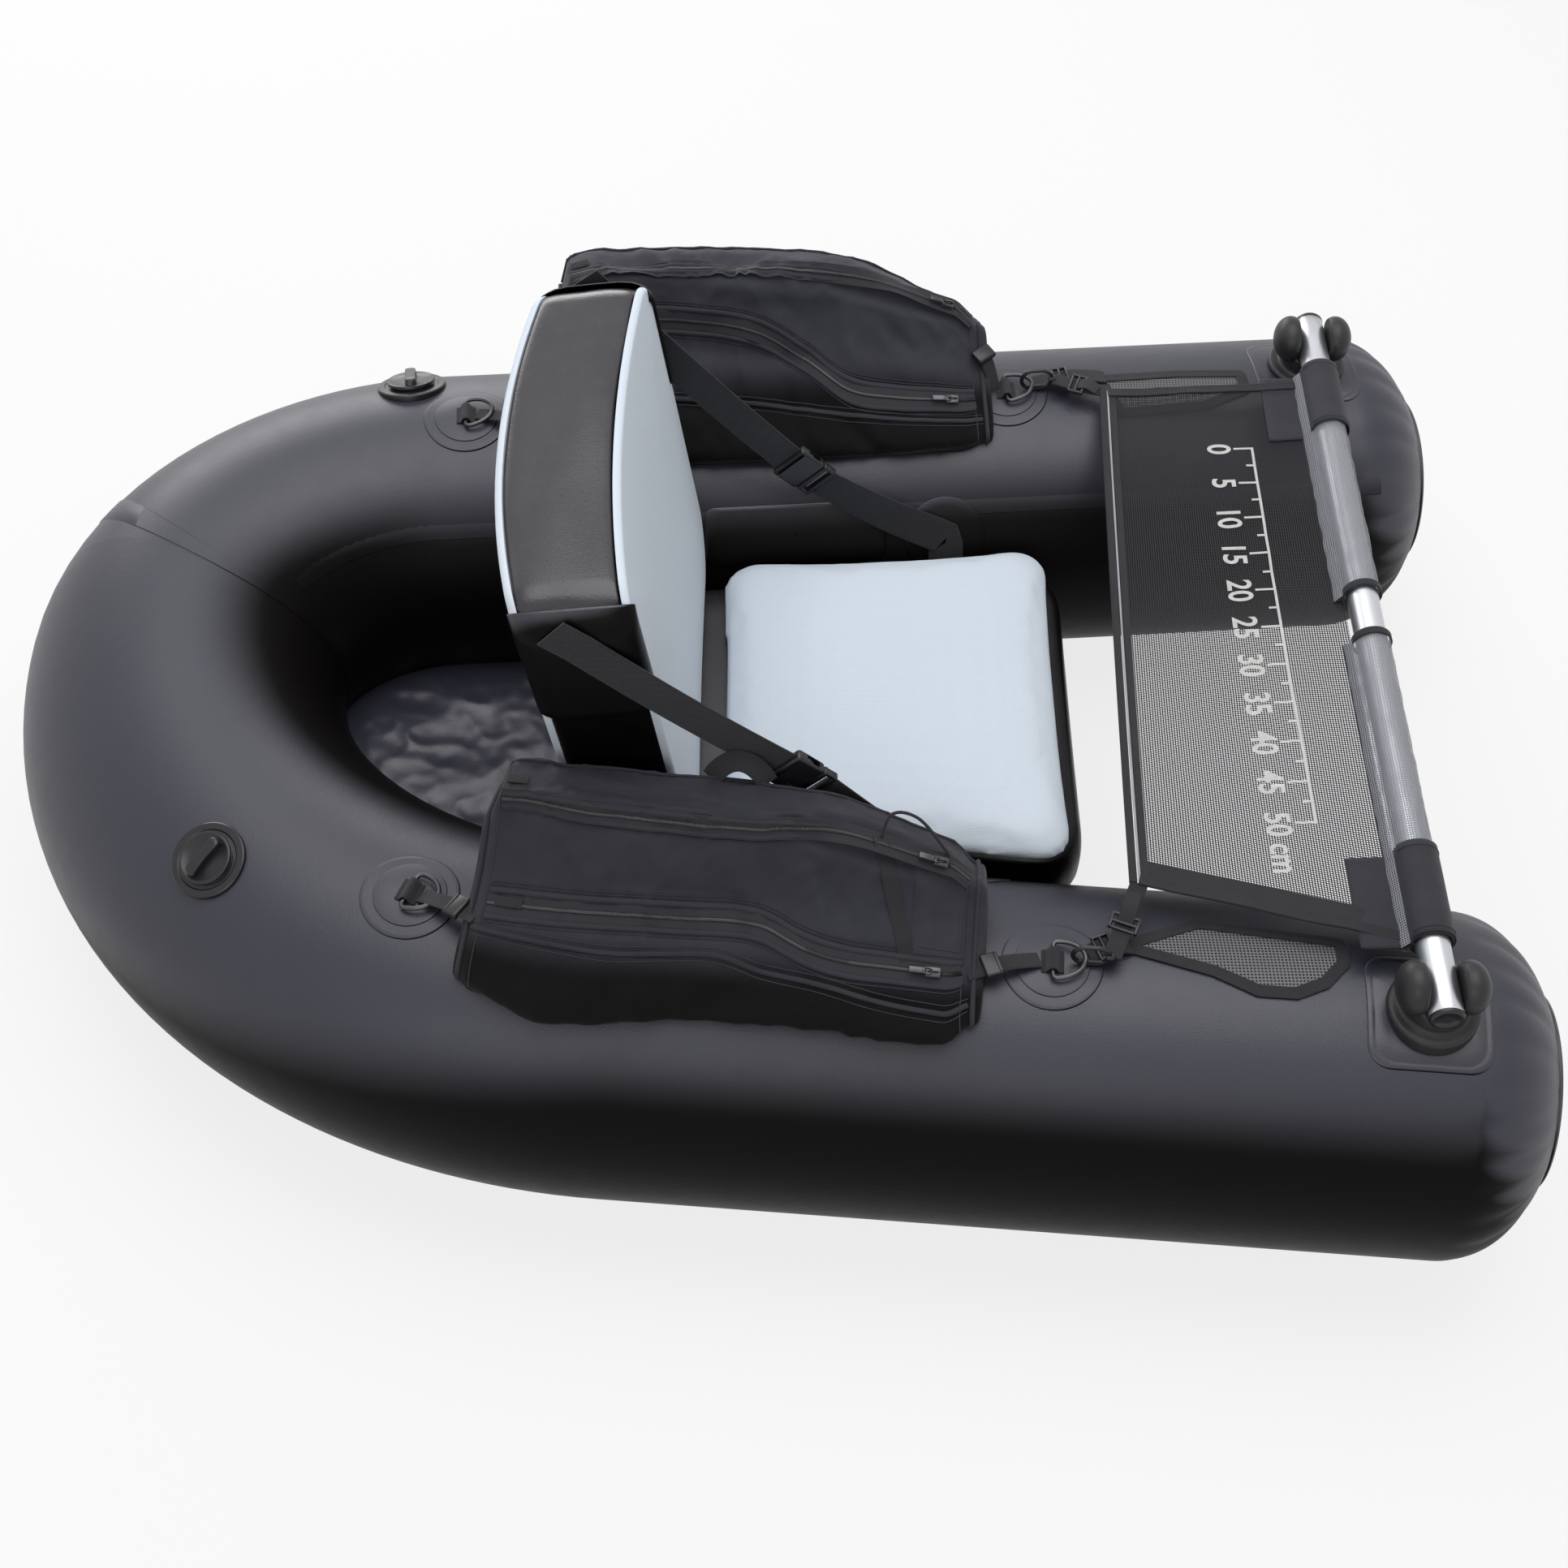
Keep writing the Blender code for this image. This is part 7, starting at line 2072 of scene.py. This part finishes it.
def apron_hook(side):
    """A snap hook through the front ring, its strap and the ladder lock to the apron's corner."""
    pose = tube_frame(side, RING_XS["front"])
    line = []
    for i in range(48):
        turn = math.tau * i / 48
        spoke = Vector((math.cos(turn), 0, math.sin(turn))) * HOOK_RADIUS
        hub = HOOK_MIDDLE + Vector((math.copysign(HOOK_STRAIGHT, spoke.x), 0, 0))
        line.append(pose @ (hub + spoke))
    across = pose.to_3x3() @ Vector((0, 1, 0))
    parts = [sweep("wire", line, round_section(HOOK_WIRE, 12), across, loop=True)]
    gate = [pose @ (HOOK_MIDDLE + Vector((x, 0, z)))
            for x, z in ((-0.011, -0.0102), (0.0, -0.0106), (0.011, -0.0102))]
    parts.append(sweep("gate", gate, round_section(0.0019, 10, 1.5), across))
    barrel = pose @ Matrix.Translation(HOOK_MIDDLE + Vector((HOOK_STRAIGHT + HOOK_RADIUS + 0.0006, 0, 0)))
    barrel = barrel @ Matrix.Rotation(math.pi / 2, 4, "Y")
    parts.append(turned_mesh("barrel", [(0, -0.004), (0.0034, -0.004), (0.0040, -0.0030), (0.0040, 0.0024),
                                        (0.0032, 0.0034), (0, 0.0034)], barrel, 24))
    group("snap_hook_" + side, parts, "plastic", "hull", ["apron_hook_" + side])
    start = pose @ (HOOK_MIDDLE + Vector((HOOK_STRAIGHT + HOOK_RADIUS + 0.002, 0, 0)))
    end = Vector((APRON_REAR_X + APRON_SKEW * SIDES[side],
                  APRON_SHIFT + APRON_REAR_HALF * SIDES[side], APRON_REAR_Z))
    line = slung(start, end, -0.002, 16)
    strap = sweep("strap", line, strap_section(0.017, 0.0018), UP)
    tail = [line[7] + Vector((0, 0, 0.0026)), line[10] + Vector((0, 0, 0.0060)),
            line[13] + Vector((0, -0.004 * SIDES[side], 0.0040))]
    tail = sweep("tail", smooth_line(tail, 5), strap_section(0.015, 0.0014), UP)
    group("hook_strap_" + side, [strap, tail], "webbing", "hull")
    head = (end - start).normalized()
    ladder_lock("ladder_lock_" + side, posed(head, squared(UP, head), start.lerp(end, 0.45)))


def wing_strap(side):
    """The wide strap from beside the ring to the wing's corner, with a tri-glide."""
    sign = SIDES[side]
    angle_at = WING_SHARES[side][0][1]
    points = []
    ups = []
    steps = 16
    first_x = RING_XS["front"] + 0.033
    last_x = APRON_REAR_X + WING_LENGTH * WING_SHARES[side][0][0] + 0.012
    for i in range(steps + 1):
        share = i / steps
        length = locate(side, first_x + (last_x - first_x) * share)
        angle = sign * (0.06 + (angle_at - 0.06) * share)
        lift = 0.0030 + 0.006 * math.sin(math.pi * share)
        points.append(tube_point(length, angle, lift))
        ups.append(tube_normal(length, angle))
    mesh = sweep("wing_strap_" + side, points, strap_section(0.021, 0.0018), ups)
    piece("wing_strap_" + side, mesh, "webbing", "hull")
    head = (points[8] - points[4]).normalized()
    out = squared(ups[6], head)
    ladder_lock("wing_glide_" + side, posed(head, out, points[6] + out * 0.0010))


# Stage, camera and lights

FLOOR_GLOW = 0.80
SKY_FILL = 0.34

def studio():
    floor_z = min(cad_low.z, TUBE_CENTRE - TUBE_RADIUS) - 0.0004
    bm = bmesh.new()
    bmesh.ops.create_grid(bm, x_segments=1, y_segments=1, size=30.0)
    mesh = bpy.data.meshes.new("studio_floor")
    bm.to_mesh(mesh)
    bm.free()
    floor = helper(mesh, "studio_floor")
    floor.location.z = floor_z
    material = bpy.data.materials.new("pale_floor")
    material.use_nodes = True
    nodes = Nodes(material.node_tree)
    shader = nodes.tree.nodes["Principled BSDF"]
    nodes.put(shader, "Base Color", (0.80, 0.80, 0.80, 1))
    nodes.put(shader, "Roughness", 0.9)
    nodes.put(shader, "Specular IOR Level", 0.0)
    glow = nodes.add("ShaderNodeEmission", {"Strength": 1.0})
    share = nodes.maths("MULTIPLY", nodes.seen(), FLOOR_GLOW)
    mix = nodes.add("ShaderNodeMixShader", {0: share, 1: shader.outputs[0], 2: glow.outputs[0]})
    nodes.put(nodes.tree.nodes["Material Output"], "Surface", mix.outputs[0])
    mesh.materials.append(material)


def world():
    """White where the camera looks, dimmer as a light."""
    sky = bpy.data.worlds.new("studio")
    bpy.context.scene.world = sky
    sky.use_nodes = True
    nodes = Nodes(sky.node_tree)
    back = nodes.tree.nodes["Background"]
    nodes.put(back, "Color", (1, 1, 1, 1))
    nodes.put(back, "Strength", nodes.spread(nodes.seen(), SKY_FILL, 1.0))


def lamp(name, place, goal, size, power, colour=(1, 1, 1)):
    data = bpy.data.lights.new(name, "AREA")
    data.shape = "RECTANGLE"
    data.size, data.size_y = size
    data.energy = power
    data.color = colour
    thing = bpy.data.objects.new(name, data)
    bpy.context.scene.collection.objects.link(thing)
    thing.location = place
    thing.rotation_euler = (Vector(goal) - Vector(place)).to_track_quat("-Z", "Y").to_euler()


def camera():
    data = bpy.data.cameras.new("camera")
    data.lens = CAMERA_LENS
    data.sensor_width = CAMERA_SENSOR
    thing = bpy.data.objects.new("camera", data)
    bpy.context.scene.collection.objects.link(thing)
    right = Vector(CAMERA_RIGHT).normalized()
    up = squared(Vector(CAMERA_UP), right)
    pose = Matrix((right, up, right.cross(up))).transposed().to_4x4()
    pose.translation = Vector(CAMERA_PLACE)
    thing.matrix_world = pose
    bpy.context.scene.camera = thing
    bpy.context.scene.view_settings.view_transform = "Standard"


camera()
studio()
world()
lamp("overhead", (0.1, 0.5, 3.2), (0.0, 0.0, 0.2), (3.4, 2.6), 76)
lamp("front", (-0.6, -3.0, 2.4), (0.0, 0.0, 0.3), (2.4, 1.6), 20)
lamp("rear", (-1.35, 3.3, 1.10), (-0.4, 0.3, 0.3), (2.6, 1.3), 45)

for side in SIDES:
    chamber_skin(side)
    tip_disc(side)
    small_patches(side)
    for end in RING_XS:
        ring_patch(end, side)
        d_ring(end, side)
seam_tape()
inner_weld("left")
backrest_core()
backrest_panel("backrest_front_pad", "backrest_front_panel", True)
backrest_panel("backrest_rear_pad", "backrest_rear_panel", False)
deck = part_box("seat_cover")[0].z
cover = swollen("seat_cover", "seat_pad", "pad", "hull", 0.004, 0.007, 0.006, deck + 0.002)
base = swollen("seat_cushion", "seat_base", "seat_base", "hull", 0.002, 0.004, 0.008)
bags = {}
for side in SIDES:
    back_straps(side)
    backrest_wrap(side)
    bags[side] = Bag(side, BAG_FOLDS[side])
    piece("side_bag_shell_" + side, bags[side].mesh("side_bag_shell_" + side), BAG_FINISH[side], "hull",
          ["side_bag_" + side], 60)
    sleeve(side)
    wing(side)
    saddle(side)
    mount_pad(side)
    valve(side)
    buckle(side)
    apron_hook(side)
    wing_strap(side)
    bag_seams(bags[side])
    bag_loops(bags[side])
    for which in ("upper", "lower"):
        bag_zip(bags[side], which)
        slider(bags[side], which)
    for end in RING_XS:
        bag_tie(bags[side], end)
bag_band(bags["right"])
crossbar()
apron()
cargo_floor()
